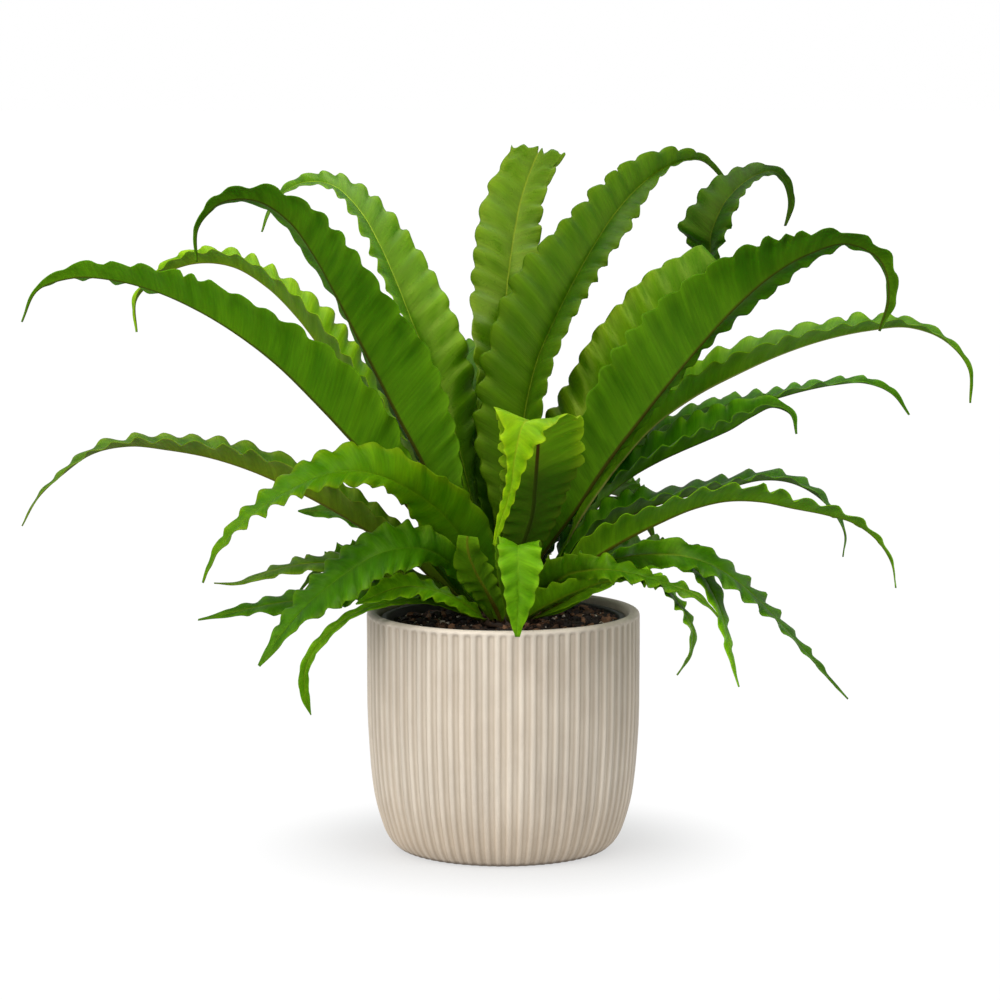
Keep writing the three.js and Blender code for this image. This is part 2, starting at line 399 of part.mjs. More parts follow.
    [236.1, -60.5, 187.8, 236.8, -62.8, 188.5, 236.3, -57.9, 187.4],
    [239, -61.2, 172.4, 238.4, -61.6, 172.5, 239.1, -60.6, 172.4],
  ] },
  frond_right_drooping: { colour: 0x3f7a12, stations: [
    [22.2, -5.1, 144.9, 21.5, -7, 145.4, 22.9, -3.3, 145.4],
    [37.2, -13.4, 162.6, 35.4, -19.1, 165.6, 39, -7.7, 159.5],
    [53.2, -26.4, 178, 51.7, -32.8, 181.7, 54.7, -20, 174.3],
    [71.2, -46.5, 189, 70.4, -53, 193, 72, -40, 185],
    [90.6, -61.4, 193.4, 90.3, -66.8, 202.9, 90.9, -55.8, 184.6],
    [109.6, -72, 193.2, 111.7, -61.4, 201.2, 107.8, -83.4, 187.5],
    [127, -78.8, 188.4, 131.3, -61.5, 192.6, 123.2, -96.5, 185.1],
    [142.3, -79.7, 178.4, 146.1, -62.3, 179.4, 137.5, -96.5, 176.1],
    [155.5, -81.2, 166.7, 158.5, -65.6, 166.4, 151.6, -96.4, 166.1],
    [166.9, -85.2, 154.6, 169.8, -72.5, 154.3, 164.6, -97.9, 155.4],
    [177.4, -90.7, 143, 179.9, -82.1, 143.3, 175.9, -99.7, 143.7],
    [187.6, -96.2, 132, 189.8, -91.5, 132.8, 186.8, -101.4, 132.6],
    [197.2, -101.2, 121.4, 198.1, -99.2, 121.8, 196.8, -103.5, 121.7],
    [206.7, -106.3, 112, 206.9, -105.8, 112.1, 206.6, -106.9, 112.1],
  ] },
  frond_front_right_pale: { colour: 0x74a52c, stations: [
    [15.7, -14.1, 144.9, 14.1, -15.4, 145.4, 17.4, -12.8, 145.4],
    [22.2, -20.6, 157.3, 17.4, -23.1, 160.9, 25.2, -15.3, 154.5],
    [29.5, -29.3, 169, 23.8, -33.1, 176.3, 33.2, -21.3, 163.7],
    [39.5, -43.1, 177.8, 36.3, -43.1, 186.6, 41.2, -35.5, 172.3],
    [50.3, -61, 183.2, 49.6, -62.8, 189.9, 50.7, -58.4, 179.5],
    [61.1, -75, 185.7, 62, -63.9, 192.4, 60.4, -86.7, 181.1],
    [71.6, -85.9, 186, 72.9, -67.8, 188.5, 70.3, -103.9, 183.3],
    [81.5, -96.2, 185.3, 83.1, -78.7, 186.7, 79.8, -113.6, 183.7],
    [90.8, -105.5, 183.7, 92.2, -89.9, 183.7, 89.1, -121, 182.7],
    [99.7, -114.2, 182, 100.9, -101.4, 182.1, 98.2, -126.7, 180.6],
    [108.3, -121.5, 180.1, 109.5, -112.8, 181.1, 106.5, -129.5, 177.6],
    [116, -125.4, 176.8, 117.1, -120.4, 177.3, 114.5, -130.1, 175.6],
    [122.2, -128.4, 171.7, 122.8, -126.2, 171.8, 121.4, -130.4, 171.3],
    [127.1, -130.5, 165.7, 127.3, -130, 165.7, 126.9, -131.1, 165.6],
  ] },
  frond_right_hanging: { colour: 0x5a9420, stations: [
    [19.6, -10.1, 144.9, 18.3, -11.8, 145.4, 20.9, -8.3, 145.4],
    [34.8, -21.1, 155.9, 36.1, -25.2, 153.7, 36.9, -19.1, 151.2],
    [50.4, -31.4, 167.2, 52.1, -38.4, 163.3, 52.2, -24.1, 161.7],
    [65.8, -34.5, 175.9, 66.8, -38.9, 173.4, 66.6, -29.3, 173.1],
    [80.4, -36.6, 181.4, 78.6, -40.7, 187.9, 81.6, -32.2, 177.3],
    [94.6, -45.9, 185.8, 94.2, -37.7, 190.9, 94.7, -54.8, 183.7],
    [108.4, -55.4, 186.5, 110.4, -43, 191.1, 107, -68.9, 185.6],
    [119.5, -65.4, 181.4, 124.5, -53.7, 184, 116.4, -78.2, 180.8],
    [126.3, -76, 171.8, 132, -66, 172.9, 122.3, -87.1, 171.9],
    [131, -84.6, 161.1, 134.6, -75.7, 160.9, 127.7, -93.7, 161.5],
    [134.2, -91.3, 150.2, 136.4, -85, 149.6, 131.1, -97.3, 150.5],
    [136.5, -95, 139, 138.1, -91.4, 138.7, 134, -98, 139],
    [139, -96.8, 128.1, 139.7, -95.2, 128, 137.9, -98.1, 128.1],
    [141.7, -98.8, 118, 141.9, -98.4, 118, 141.4, -99.1, 118],
  ] },
  frond_front_right_hanging: { colour: 0x5a9420, stations: [
    [10.9, -16.9, 144.9, 8.9, -17.8, 145.4, 12.9, -16.1, 145.4],
    [23.8, -31.5, 155.3, 16.9, -31.5, 165.1, 24.7, -26.2, 153.2],
    [38.1, -42, 164.4, 34.1, -41.9, 170.7, 39, -36.9, 162.3],
    [52.2, -46.7, 171, 50.5, -49.2, 175.9, 52.5, -41.3, 169.7],
    [64.4, -59.8, 176.7, 62.7, -64, 184.3, 64.8, -54.9, 174.6],
    [76.1, -74.6, 180.7, 76, -65.6, 185.2, 76, -84.3, 179.5],
    [87.3, -88.9, 181.9, 89.1, -75, 185.2, 86.2, -103.5, 181.4],
    [96.7, -101.1, 178.6, 99.7, -87.5, 179.4, 94.8, -115.2, 179.1],
    [103.7, -111, 171.9, 106.2, -98.8, 171.5, 101.3, -123.3, 172.4],
    [108.9, -122.2, 164.6, 111.3, -112.3, 164.1, 106.5, -132.2, 165.2],
    [111.9, -129.9, 156.3, 114.3, -123.1, 155.5, 110.1, -136.8, 157.2],
    [111.2, -132.5, 147.2, 113.3, -128.8, 146.1, 110.1, -136.5, 148.1],
    [107.8, -131.4, 138.4, 108.6, -129.8, 137.7, 107.3, -133.1, 138.9],
    [103.2, -126.3, 130.1, 103.4, -125.9, 129.9, 103.1, -126.7, 130.2],
  ] },
  frond_front_left_arching: { colour: 0x8fbf1e, stations: [
    [-7.6, -6.3, 152.4, -9, -4.6, 152.9, -6.3, -8.1, 152.9],
    [-15.4, -12.4, 175.5, -23.8, -12.4, 171.8, -3.6, -12.4, 180.7],
    [-25.4, -20.2, 197.2, -40.9, -20.2, 186.9, -9.4, -20.2, 207.9],
    [-39, -30.8, 215.5, -50.6, -21.1, 201.6, -26, -34.3, 230.2],
    [-55.5, -43.7, 229.8, -60.9, -36.3, 220.2, -46.9, -49.6, 244.6],
    [-73.4, -57.7, 240.2, -75.2, -73.4, 235.6, -67.5, -47, 256.4],
    [-91.8, -72.1, 245.6, -91, -95.2, 239.5, -92.4, -53.4, 259.8],
    [-109.5, -85.9, 244, -106.1, -108.3, 239.5, -114.5, -66, 253.7],
    [-125.6, -98.5, 238.2, -122.1, -118.5, 236, -131, -80.1, 244.6],
    [-140.1, -109.8, 230.7, -137.1, -126.4, 229.7, -144.7, -94.2, 234.5],
    [-153, -119.9, 222.1, -150.7, -131.4, 221.7, -157, -109.2, 224.6],
    [-163.6, -128.2, 211.6, -162.1, -135, 211.7, -167, -122.4, 213.2],
    [-171.9, -134.7, 200, -171.2, -137.6, 200.1, -173.5, -132.2, 200.4],
    [-177.1, -138.7, 187.3, -176.9, -139.5, 187.4, -177.6, -138.1, 187.3],
  ] },
  frond_left_low: { colour: 0x5f8433, stations: [
    [-16.7, 7.7, 144.9, -17.1, 6.1, 145.3, -16.3, 9.2, 145.3],
    [-38.9, 3.9, 163.8, -36.6, -1.1, 167.6, -35.8, 7.2, 167.6],
    [-58.9, -1.3, 183.5, -55.3, -9.8, 189.9, -54.2, 4.3, 190.2],
    [-83.6, -4.1, 199.5, -77.3, -18.1, 211, -75.3, 3.6, 212.4],
    [-108.1, -5.8, 214.6, -101.6, -23.6, 227.4, -100, 6.6, 228.4],
    [-132.7, -7.5, 227.7, -126.9, -26.7, 240.4, -126.1, 7.1, 241.3],
    [-157.4, -9.2, 238.7, -152.8, -29.8, 250.4, -153.2, 7.9, 250.9],
    [-182.3, -11, 246.7, -179.1, -31.5, 256, -180.6, 7.3, 256.1],
    [-207, -12.7, 251.4, -204.8, -31.2, 258.5, -207.1, 4.3, 258.2],
    [-231.1, -14.4, 253.9, -229.7, -29.8, 258.6, -232.3, 0.2, 258],
    [-253.3, -15.9, 249.4, -252.6, -26.8, 251.5, -255.9, -5.7, 251.5],
    [-271.7, -17.2, 236.8, -271.1, -23.6, 237.6, -273.7, -11.2, 237.7],
    [-287.2, -18.3, 222.1, -286.9, -21.1, 222.4, -288.2, -15.7, 222.3],
    [-297.2, -19, 204.7, -297.1, -19.7, 204.8, -297.4, -18.3, 204.7],
  ] },
  frond_left_small: { colour: 0x2f6410, stations: [
    [-14.4, 12.8, 144.9, -15.5, 11.1, 145.4, -13.4, 14.5, 145.4],
    [-26.8, 15.5, 154.8, -24.3, 10.2, 158.8, -24, 20.2, 157.8],
    [-39.1, 17.7, 165.6, -40.4, 7.7, 164.9, -35.3, 25.1, 170.7],
    [-51.6, 19.2, 175.8, -53.2, 6.5, 174.8, -49.2, 31.3, 178.4],
    [-63.8, 20.6, 184.8, -65.4, 6.1, 183.6, -61.1, 34.5, 187.8],
    [-75.3, 23, 192, -76.8, 8.5, 190.8, -72.7, 36.8, 195.1],
    [-86.3, 25.9, 198.2, -87.8, 13.2, 196.8, -84.1, 38.1, 200.9],
    [-96.9, 28.8, 204, -98.3, 18.4, 202, -95.2, 38.8, 206.8],
    [-108, 31.8, 207, -108.4, 25.1, 204.1, -107.6, 38.1, 210.3],
    [-119, 34.7, 207, -118.9, 34.7, 203.1, -119.3, 37.5, 209.2],
    [-129.4, 37.5, 206.5, -129.4, 37.5, 206, -129.4, 37.8, 206.7],
  ] },
  frond_front_left_broad: { colour: 0x4f9412, stations: [
    [-6.5, -16.1, 144.9, -7.4, -15.7, 145.1, -5.7, -16.6, 145.1],
    [-16.3, -19.8, 161.4, -18.1, -16.7, 159.8, -13.8, -22, 163.2],
    [-27.5, -20.9, 177.2, -30.1, -15.7, 174, -23.9, -24.7, 181.1],
    [-41.7, -30.8, 189.6, -43.9, -30.3, 184.3, -37.9, -31.1, 198.8],
    [-56.9, -48.7, 195.1, -56.6, -66.5, 184.2, -57.1, -31.9, 207.8],
    [-71.5, -64.5, 195.1, -67, -83.3, 184.6, -76.5, -47.3, 207.9],
    [-84.5, -76.7, 190.6, -77.1, -96.2, 181.6, -91.7, -56.9, 199.3],
    [-96.1, -87.2, 184.2, -86.6, -104.1, 174.3, -103.5, -67.6, 190.7],
    [-106.7, -96.8, 177.2, -97.6, -111.4, 168.7, -113.6, -79.4, 182.3],
    [-116.4, -105.5, 169.7, -109.2, -118.8, 164.9, -123.1, -91.7, 173.9],
    [-124.7, -113, 161.4, -120.2, -123, 159.6, -130.5, -104, 164.5],
    [-132.1, -119.6, 152.8, -129.1, -125.3, 151.6, -136.2, -115.2, 155.2],
    [-139, -125.8, 144.6, -136.9, -127.3, 143.3, -140.8, -123.9, 145.6],
    [-144.9, -131.2, 136.4, -144.4, -131.6, 136.1, -145.4, -130.7, 136.6],
  ] },
  frond_left_pointed: { colour: 0x3f7a12, stations: [
    [-16.8, -3.4, 144.9, -16.3, -5, 145.3, -17.2, -1.8, 145.3],
    [-31.6, -9.7, 152, -30.8, -13.7, 154.8, -30.7, -6.1, 154.1],
    [-45.4, -17.6, 158.5, -44.5, -24.3, 163.4, -44.7, -10.9, 161.4],
    [-59.1, -21.9, 163.1, -59.5, -30.6, 159.9, -58.7, -13.6, 166.8],
    [-73.6, -20, 164.4, -73.6, -30.3, 160.5, -73.6, -10, 168.9],
    [-88.2, -26.9, 165.4, -87.2, -41.5, 159.9, -89.2, -12.7, 171.7],
    [-102.2, -34.1, 165.1, -100.7, -49, 159.6, -103.8, -19.2, 170.7],
    [-115.6, -40.4, 163.7, -113.4, -53.8, 157, -117.6, -25.8, 168.1],
    [-128.6, -45.8, 162, -126.7, -57, 155.2, -130.2, -32.9, 165.9],
    [-141.2, -50.5, 160.7, -139.6, -60.2, 156, -142.5, -39.9, 163.7],
    [-153.1, -54.8, 158.9, -152, -62.1, 156.7, -154.3, -47.6, 161.2],
    [-164.5, -59, 156.9, -163.7, -62.9, 155, -165.4, -55.4, 159.4],
    [-175.3, -62.9, 155.1, -175, -64.6, 154.3, -175.7, -61.4, 156.2],
    [-185.6, -66.6, 153.6, -185.5, -67, 153.4, -185.6, -66.2, 153.9],
  ] },
  frond_left_wavy: { colour: 0x5f8433, stations: [
    [-17.5, 2.1, 144.9, -17.5, 0.5, 145.3, -17.5, 3.8, 145.3],
    [-30.6, -0.4, 154.5, -29.8, -3.9, 156.3, -29.3, 2.3, 156.4],
    [-43.6, -4.9, 163.7, -44.5, -10.6, 162, -42.2, -0.3, 167.3],
    [-56.9, -2.8, 170.7, -57.7, -10.1, 168.5, -56, 4.2, 173.4],
    [-70.5, -4.4, 175.7, -71, -13.5, 172.8, -69.9, 4.5, 179.2],
    [-84.3, -6.8, 178.5, -84.5, -19.1, 174.6, -84, 5.1, 183.3],
    [-98, -9.5, 179.8, -97.8, -22.4, 176.4, -98.1, 2.7, 184.8],
    [-111.2, -11.8, 180.3, -110.6, -24.2, 177.4, -111.8, 0.1, 184.3],
    [-124, -13.6, 180, -123, -24.1, 176.4, -124.9, -2.6, 182.4],
    [-136.2, -15.1, 178, -134.6, -23.4, 174.8, -137.1, -5.7, 178.5],
    [-147.5, -16.5, 174.5, -146, -22.3, 172.4, -148.5, -10.1, 175.4],
    [-158.2, -17.8, 170.7, -157.4, -21.2, 169.4, -158.8, -14.1, 171.2],
    [-168.7, -19.1, 168.6, -168.6, -20.6, 168, -168.9, -17.5, 168.9],
    [-178.8, -20.3, 169.3, -178.8, -20.7, 169.5, -178.8, -19.9, 169.4],
  ] },
  frond_left_hanging: { colour: 0x5f8433, stations: [
    [-14.6, -8.5, 144.9, -13.5, -10.4, 145.4, -15.7, -6.7, 145.4],
    [-27.5, -15.1, 151.5, -28, -16.3, 150.4, -27.1, -13.9, 152.7],
    [-39.6, -22.2, 156.6, -39.8, -24.2, 155.9, -39.3, -20.3, 157.4],
    [-51.7, -30.4, 159.5, -51.8, -32.9, 158.5, -51.6, -27.9, 160.6],
    [-64.2, -38.3, 160.4, -64, -41.3, 159.3, -64.3, -35.3, 161.8],
    [-76.9, -44.3, 159.2, -76.4, -47.4, 158.1, -77.5, -41.2, 160.5],
    [-89, -48.4, 155.8, -88, -52.9, 154.6, -90.2, -44.2, 157.6],
    [-99.4, -51.8, 149.8, -97.8, -55.9, 148.6, -101.3, -48, 151.4],
    [-108.2, -55.1, 142.1, -106.1, -58.2, 140.6, -110.5, -52.3, 143.8],
    [-115.5, -58.4, 133.6, -113.1, -60.4, 132.4, -118.2, -57, 135.2],
    [-120.4, -60.9, 124, -117.9, -60.9, 123.3, -123.6, -60.9, 125],
    [-121.5, -61.4, 113.6, -118.8, -61.4, 113.7, -124.9, -61.4, 113.4],
    [-120.3, -60.8, 103.2, -118, -60.8, 103.8, -122.8, -60.8, 102.6],
    [-117.5, -59.4, 93.6, -117.4, -59.4, 93.7, -117.7, -59.4, 93.6],
  ] },
  frond_front_folded: { colour: 0x8fbf1e, stations: [
    [2.5, -5, 159.4, 0.6, -4.9, 159.9, 4.5, -5.1, 159.9],
    [6.5, -13.5, 178.5, 0.4, -10.8, 177, 13.3, -10.8, 178.1],
    [12.6, -24.1, 195.6, 0.3, -18.4, 191.8, 25.5, -17.5, 194.7],
    [17.6, -34.1, 213.6, -0.2, -26.1, 208.2, 34.9, -25.1, 214.3],
    [19.4, -43, 232.1, -0.8, -34, 226.6, 41, -32, 231.9],
    [20.5, -50, 248.3, -0.8, -41, 244.8, 48.1, -39, 248.8],
    [21.1, -56, 261.3, -1.4, -48, 259.1, 47.4, -46, 262.6],
    [20.4, -62, 270.5, -2, -56, 269.8, 48.4, -54, 272.1],
    [16.7, -70, 275.7, -3.8, -67, 279.6, 42.7, -65, 278.2],
    [12.4, -77, 275.3, -4.4, -77, 284.3, 29.3, -76, 274.5],
    [10, -81, 269.7, -0.8, -83, 271.7, 25, -83, 268.1],
    [8.2, -83, 262, -0.2, -85, 262.3, 19, -85, 260.5],
    [6.4, -84, 252.5, 2.2, -85, 253.2, 14.2, -85, 252],
    [5.2, -84.5, 241.6, 1.6, -85.5, 241.8, 10, -85.5, 241.2],
    [2.8, -84, 229.5, -0.8, -84, 230.1, 5.8, -84, 228.2],
    [-1.4, -83, 217.2, -3.8, -83, 217.8, 1, -83, 216],
    [-5.6, -82, 201.8, -6.2, -82, 202.4, -4.7, -82, 201.2],
  ] },
  frond_front_overhanging: { colour: 0x8fbf1e, stations: [
    [4.3, -18.5, 144.9, 2.1, -18.6, 145.4, 6.5, -18.3, 145.4],
    [4.8, -34.3, 164.9, -1.3, -33.3, 164.1, 11.6, -33.3, 164.1],
    [6.2, -51.1, 179.7, -3.5, -49.1, 178.2, 17.2, -49.1, 178.2],
    [7.7, -66, 191, -4.4, -64, 190.1, 21.1, -64, 190.1],
    [8.2, -80, 199.1, -3.8, -79, 200.2, 22.1, -79, 199],
    [8.8, -90, 202.4, -3.2, -90, 206.6, 22, -90, 203.6],
    [8.8, -97, 199.1, -3.2, -98, 201.7, 22.6, -98, 199.9],
    [8.8, -100, 191.1, -2.6, -102, 192, 23.1, -102, 192],
    [8.8, -101.5, 182.2, -0.2, -104.5, 182.7, 20.7, -104.5, 182.7],
    [8.8, -102, 173.2, 1, -105, 173.7, 18.9, -105, 173.7],
    [8.8, -102.5, 164.8, 2.2, -104.5, 165.2, 15.9, -104.5, 165.2],
    [8.2, -102.5, 156.9, 4.6, -103.5, 157.1, 12.4, -103.5, 157.1],
    [8.2, -103, 149.2, 7, -103, 149.4, 9.7, -103, 149.2],
  ] },
  frond_front_small: { colour: 0x5f8433, stations: [
    [-1.3, -18, 144.9, -2.2, -17.8, 145.1, -0.4, -18.2, 145.1],
    [-4.5, -22.3, 153, -8, -18.3, 151, -0.2, -19.4, 154.3],
    [-8.2, -29.2, 161.4, -12.6, -22.7, 158.5, -3.5, -22.9, 162.6],
    [-12, -36.2, 169.6, -17.3, -28.5, 166.1, -7.1, -28.2, 170.5],
    [-15.8, -41.7, 177.2, -24, -30.3, 172, -8.4, -29.7, 178.6],
    [-18.8, -45.7, 184.4, -27.9, -34.8, 180.1, -10.9, -33.9, 184.9],
    [-21, -48.5, 191.1, -29.1, -41, 189, -13.7, -40.4, 190.8],
    [-22, -50, 197.3, -27.9, -48.7, 197.2, -15.5, -50, 197.3],
    [-21.9, -50.6, 202.8, -26.8, -50.6, 203.4, -15.9, -50.6, 202.1],
  ] },
  frond_front_left_low: { colour: 0x5a9420, stations: [
    [-11.1, -12.9, 144.9, -9.8, -14.1, 145.3, -12.4, -11.7, 145.3],
    [-20, -18.9, 153.5, -22.5, -23.4, 150.4, -18.2, -13.4, 155.4],
    [-28.9, -24.1, 159.9, -30.8, -32.7, 157, -28.4, -14.4, 159.6],
    [-37.8, -29.2, 164.6, -39.4, -42.5, 160.9, -37.3, -14.8, 164.6],
    [-46.9, -34.7, 168.1, -47.9, -48.3, 163.9, -46.3, -20.3, 170.1],
    [-56.4, -41.1, 170.3, -55.9, -53.5, 165.7, -56.9, -29.4, 176.3],
    [-65.9, -48, 170.2, -64.3, -58.6, 166, -67.9, -39.1, 176.9],
    [-74.4, -54.2, 168, -72.5, -61.1, 164.6, -77.1, -49.4, 173.6],
    [-82.3, -60, 165.6, -81.2, -63.5, 163.8, -83.7, -57.5, 168.4],
    [-89.5, -65.2, 163.2, -89.4, -65.6, 163.1, -89.7, -65, 163.5],
  ] },
  frond_back_01: { colour: 0x5a9420, stations: [
    [3.8, 9, 159.4, 2.4, 9.1, 159.7, 5.1, 8.8, 159.7],
    [3.5, 20.4, 184.2, -1.2, 17.6, 185.3, 8.3, 17.6, 185.3],
    [3.1, 30.5, 208, -4.8, 26.1, 210.2, 11, 26.1, 210.2],
    [3, 43, 229.8, -13.7, 34.4, 235.6, 19.7, 34.4, 235.6],
    [3, 57.3, 249.3, -16.2, 48.3, 257.3, 22.2, 48.3, 257.3],
    [3, 73.2, 266.1, -17.1, 65.2, 275.7, 23.1, 65.2, 275.7],
    [3, 91.8, 279.8, -16.7, 85.3, 290.3, 22.7, 85.3, 290.3],
    [3, 111.5, 290.2, -15.3, 107, 300.7, 21.3, 107, 300.7],
    [3, 131.8, 297.2, -11.9, 129.5, 306.2, 17.9, 129.5, 306.2],
    [3, 152.1, 300.9, -7.7, 151.4, 307.6, 13.7, 151.4, 307.6],
    [3, 171.8, 301.5, -3.3, 172.1, 305.4, 9.3, 172.1, 305.4],
    [3, 190.5, 299.2, 0.4, 190.8, 300.8, 5.6, 190.8, 300.8],
    [3, 207.5, 294.5, 2.4, 207.6, 294.8, 3.6, 207.6, 294.8],
  ] },
  frond_back_02: { colour: 0x3f7a12, stations: [
    [-3.3, 5, 159.4, -3.7, 4.2, 159.6, -3, 5.8, 159.6],
    [-5, 25.1, 184.8, -7.6, 22.7, 185.7, -1.5, 24.2, 185.7],
    [-6.2, 42.3, 209, -12.9, 36.5, 211.9, 2.4, 40.3, 211.9],
    [-10.2, 58, 231.1, -24.5, 46.6, 238.1, 7.9, 54.6, 238.1],
    [-14.9, 75, 250.4, -31.7, 62.8, 259.5, 5.6, 72.1, 259.5],
    [-20, 94.3, 266.4, -37.8, 82.9, 276.9, 1.1, 92.6, 276.9],
    [-25.4, 116, 278.7, -43.3, 106.3, 289.9, -5.1, 115.8, 289.9],
    [-31, 138.5, 287.5, -48, 131, 298.4, -12.6, 139.8, 298.4],
    [-36.7, 161.1, 292.6, -50.8, 156.3, 301.9, -21.9, 163.5, 301.9],
    [-42.2, 183.3, 294.2, -52.6, 180.8, 300.9, -31.9, 185.9, 300.9],
    [-47.5, 204.5, 292.6, -53.7, 203.6, 296.5, -41.6, 206.6, 296.5],
    [-52.4, 224.3, 288, -55.1, 224.1, 289.6, -50, 225.4, 289.6],
    [-56.9, 242.1, 281.1, -57.5, 242.1, 281.4, -56.3, 242.4, 281.4],
  ] },
  frond_back_03: { colour: 0x3f7a12, stations: [
    [2.4, 15.5, 152.4, 0.7, 15.4, 152.8, 4.1, 15.6, 152.8],
    [4.1, 30.7, 173.4, -2.2, 28.3, 176, 10, 27.4, 176],
    [6.2, 48.1, 191.7, -4.8, 44.5, 196.8, 16.6, 43, 196.8],
    [7.8, 70, 206.4, -9.2, 65.7, 215.2, 24, 63.4, 215.2],
    [9.3, 92.6, 217.6, -10.2, 89.3, 228.7, 28.2, 86.6, 228.7],
    [10.9, 115.1, 225.3, -9.3, 113.4, 237.5, 30.7, 110.6, 237.5],
    [12.5, 137.7, 229.4, -7.3, 137.9, 241.6, 32.1, 135.2, 241.6],
    [14, 159.9, 229.8, -4.1, 161.9, 241.2, 32.3, 159.4, 241.2],
    [15.5, 181.2, 227, 0.8, 184.2, 236.1, 30.5, 182.1, 236.1],
    [16.9, 200.9, 221.2, 6.4, 204, 227.5, 27.7, 202.6, 227.5],
    [18.2, 218.8, 213, 12, 221.2, 216.4, 24.6, 220.3, 216.4],
    [19.3, 234.5, 202.8, 16.7, 235.7, 204.1, 21.9, 235.3, 204.1],
    [20.2, 247.8, 191.3, 19.6, 248.2, 191.5, 20.8, 248.1, 191.5],
  ] },
  frond_back_04: { colour: 0x5a9420, stations: [
    [-3, 14.1, 152.4, -4.5, 13.4, 152.8, -1.4, 14.9, 152.8],
    [-6.1, 33.4, 169.8, -11.3, 29.7, 172.6, 0.1, 32.4, 172.6],
    [-9.1, 54.2, 184.5, -17.8, 48.7, 189.6, 1.2, 53.1, 189.6],
    [-13.1, 72.9, 196.5, -26.3, 65.9, 204.7, 1.8, 72.4, 204.7],
    [-18, 92.9, 205.1, -35.2, 85.5, 216.1, 0.7, 93.8, 216.1],
    [-22.9, 114.3, 210, -41.3, 108.3, 221.9, -3.8, 117, 221.9],
    [-27.8, 135.4, 211.5, -46.2, 131.3, 223.3, -9.4, 139.8, 223.3],
    [-32.5, 155.9, 209.7, -50, 153.7, 220.5, -15.9, 161.5, 220.5],
    [-37, 175.1, 205.1, -51.5, 174.6, 213.6, -23.7, 181, 213.6],
    [-41, 192.7, 197.8, -51.6, 193.2, 203.6, -31.7, 197.8, 203.6],
    [-44.7, 208.4, 188.5, -51, 209.2, 191.6, -39.3, 211.9, 191.6],
    [-47.8, 222, 177.5, -50.5, 222.5, 178.7, -45.6, 223.6, 178.7],
    [-50.4, 233.3, 165.6, -51, 233.4, 165.8, -49.9, 233.7, 165.8],
  ] },
  frond_back_05: { colour: 0x2f6410, stations: [
    [7.9, 14.6, 152.4, 7.3, 14.8, 152.6, 8.6, 14.3, 152.6],
    [15.9, 25, 169.8, 13.8, 25.1, 170.7, 17.2, 23.4, 170.7],
    [24.5, 28.8, 185.6, 21.4, 29.2, 187.2, 26.8, 26.5, 187.2],
    [33.4, 40.6, 197.2, 28.8, 41.6, 199.9, 37.1, 37.5, 199.9],
    [42.7, 67.5, 203.6, 25.7, 72.6, 214.2, 57.1, 57.2, 214.2],
    [51.9, 83.6, 208.2, 36.5, 89.8, 218.4, 66.1, 75.3, 218.4],
    [61.2, 113.6, 207.6, 45.2, 121.9, 218.9, 77.6, 106.1, 218.9],
    [70.2, 138.6, 204.5, 56, 147.7, 214.8, 86.1, 133, 214.8],
    [78.5, 156.7, 199.3, 67.5, 165.3, 207.4, 92, 153.3, 207.4],
    [86, 172.1, 191.9, 78.5, 179, 197.3, 96, 170.4, 197.3],
    [92.7, 185.8, 182.4, 88.4, 190.2, 185.3, 98.8, 185.2, 185.3],
    [98.4, 197.5, 171.4, 96.7, 199.5, 172.5, 101, 197.4, 172.5],
    [103.1, 207.2, 159.6, 102.7, 207.7, 159.8, 103.7, 207.2, 159.8],
  ] },
  frond_back_06: { colour: 0x2f6410, stations: [
    [-0.8, 22.1, 144.9, -2.4, 21.8, 145.3, 0.8, 22.4, 145.3],
    [-4.5, 39.8, 155, -9, 37.7, 157.8, 0.5, 39.6, 157.8],
    [-8.3, 56.2, 162.7, -16, 53.3, 167.6, -0.2, 56.4, 167.6],
    [-12.2, 69.5, 168, -19.8, 67.4, 172.9, -4.3, 70.4, 172.9],
    [-15.9, 80.7, 170.7, -31.5, 77.7, 180.6, -0.3, 83.8, 180.6],
    [-19.6, 93.3, 170.2, -28, 92.4, 175.5, -11.4, 95.7, 175.5],
    [-23, 111.3, 166.2, -32, 111.2, 171.5, -14.7, 114.6, 171.5],
    [-26.2, 128.3, 159.9, -37.7, 129, 166.2, -15.9, 133.3, 166.2],
    [-29.3, 155.2, 149.9, -42.2, 156.9, 156.4, -17.9, 161.7, 156.4],
    [-31.9, 177.4, 138.7, -41.4, 179.2, 142.9, -23.9, 182.6, 142.9],
    [-34.2, 193.4, 126.8, -39.8, 194.8, 129, -29.6, 196.8, 129],
    [-36, 202.8, 114.9, -38.4, 203.5, 115.7, -34.1, 204.4, 115.7],
    [-37.5, 210.3, 102.7, -38, 210.4, 102.8, -37, 210.6, 102.8],
  ] },
  frond_back_07: { colour: 0x5f8433, stations: [
    [4.8, 22.4, 144.9, 3, 22.6, 145.3, 6.6, 22.3, 145.3],
    [6.5, 42.5, 153.5, 1, 41.8, 156.6, 11.7, 40.9, 156.6],
    [8.2, 63.7, 159.3, -0.8, 63.2, 164.8, 17, 61.6, 164.8],
    [9.9, 84, 162.6, -2, 84.4, 170, 21.7, 82.3, 170],
    [11.6, 102.4, 163.2, -4.3, 104.3, 173.2, 27.6, 101.5, 173.2],
    [13.3, 120.1, 161.2, -3.2, 123.6, 171.4, 30.1, 120.7, 171.4],
    [14.8, 137.2, 156.6, -1.3, 142, 166.3, 31.5, 139.1, 166.3],
    [16.2, 153.3, 149.7, 1.5, 159, 158.2, 31.8, 156.3, 158.2],
    [17.5, 168, 141, 5.6, 173.5, 147.3, 30.3, 171.3, 147.3],
    [18.6, 180.8, 130.8, 10.1, 185.3, 134.8, 27.8, 183.8, 134.8],
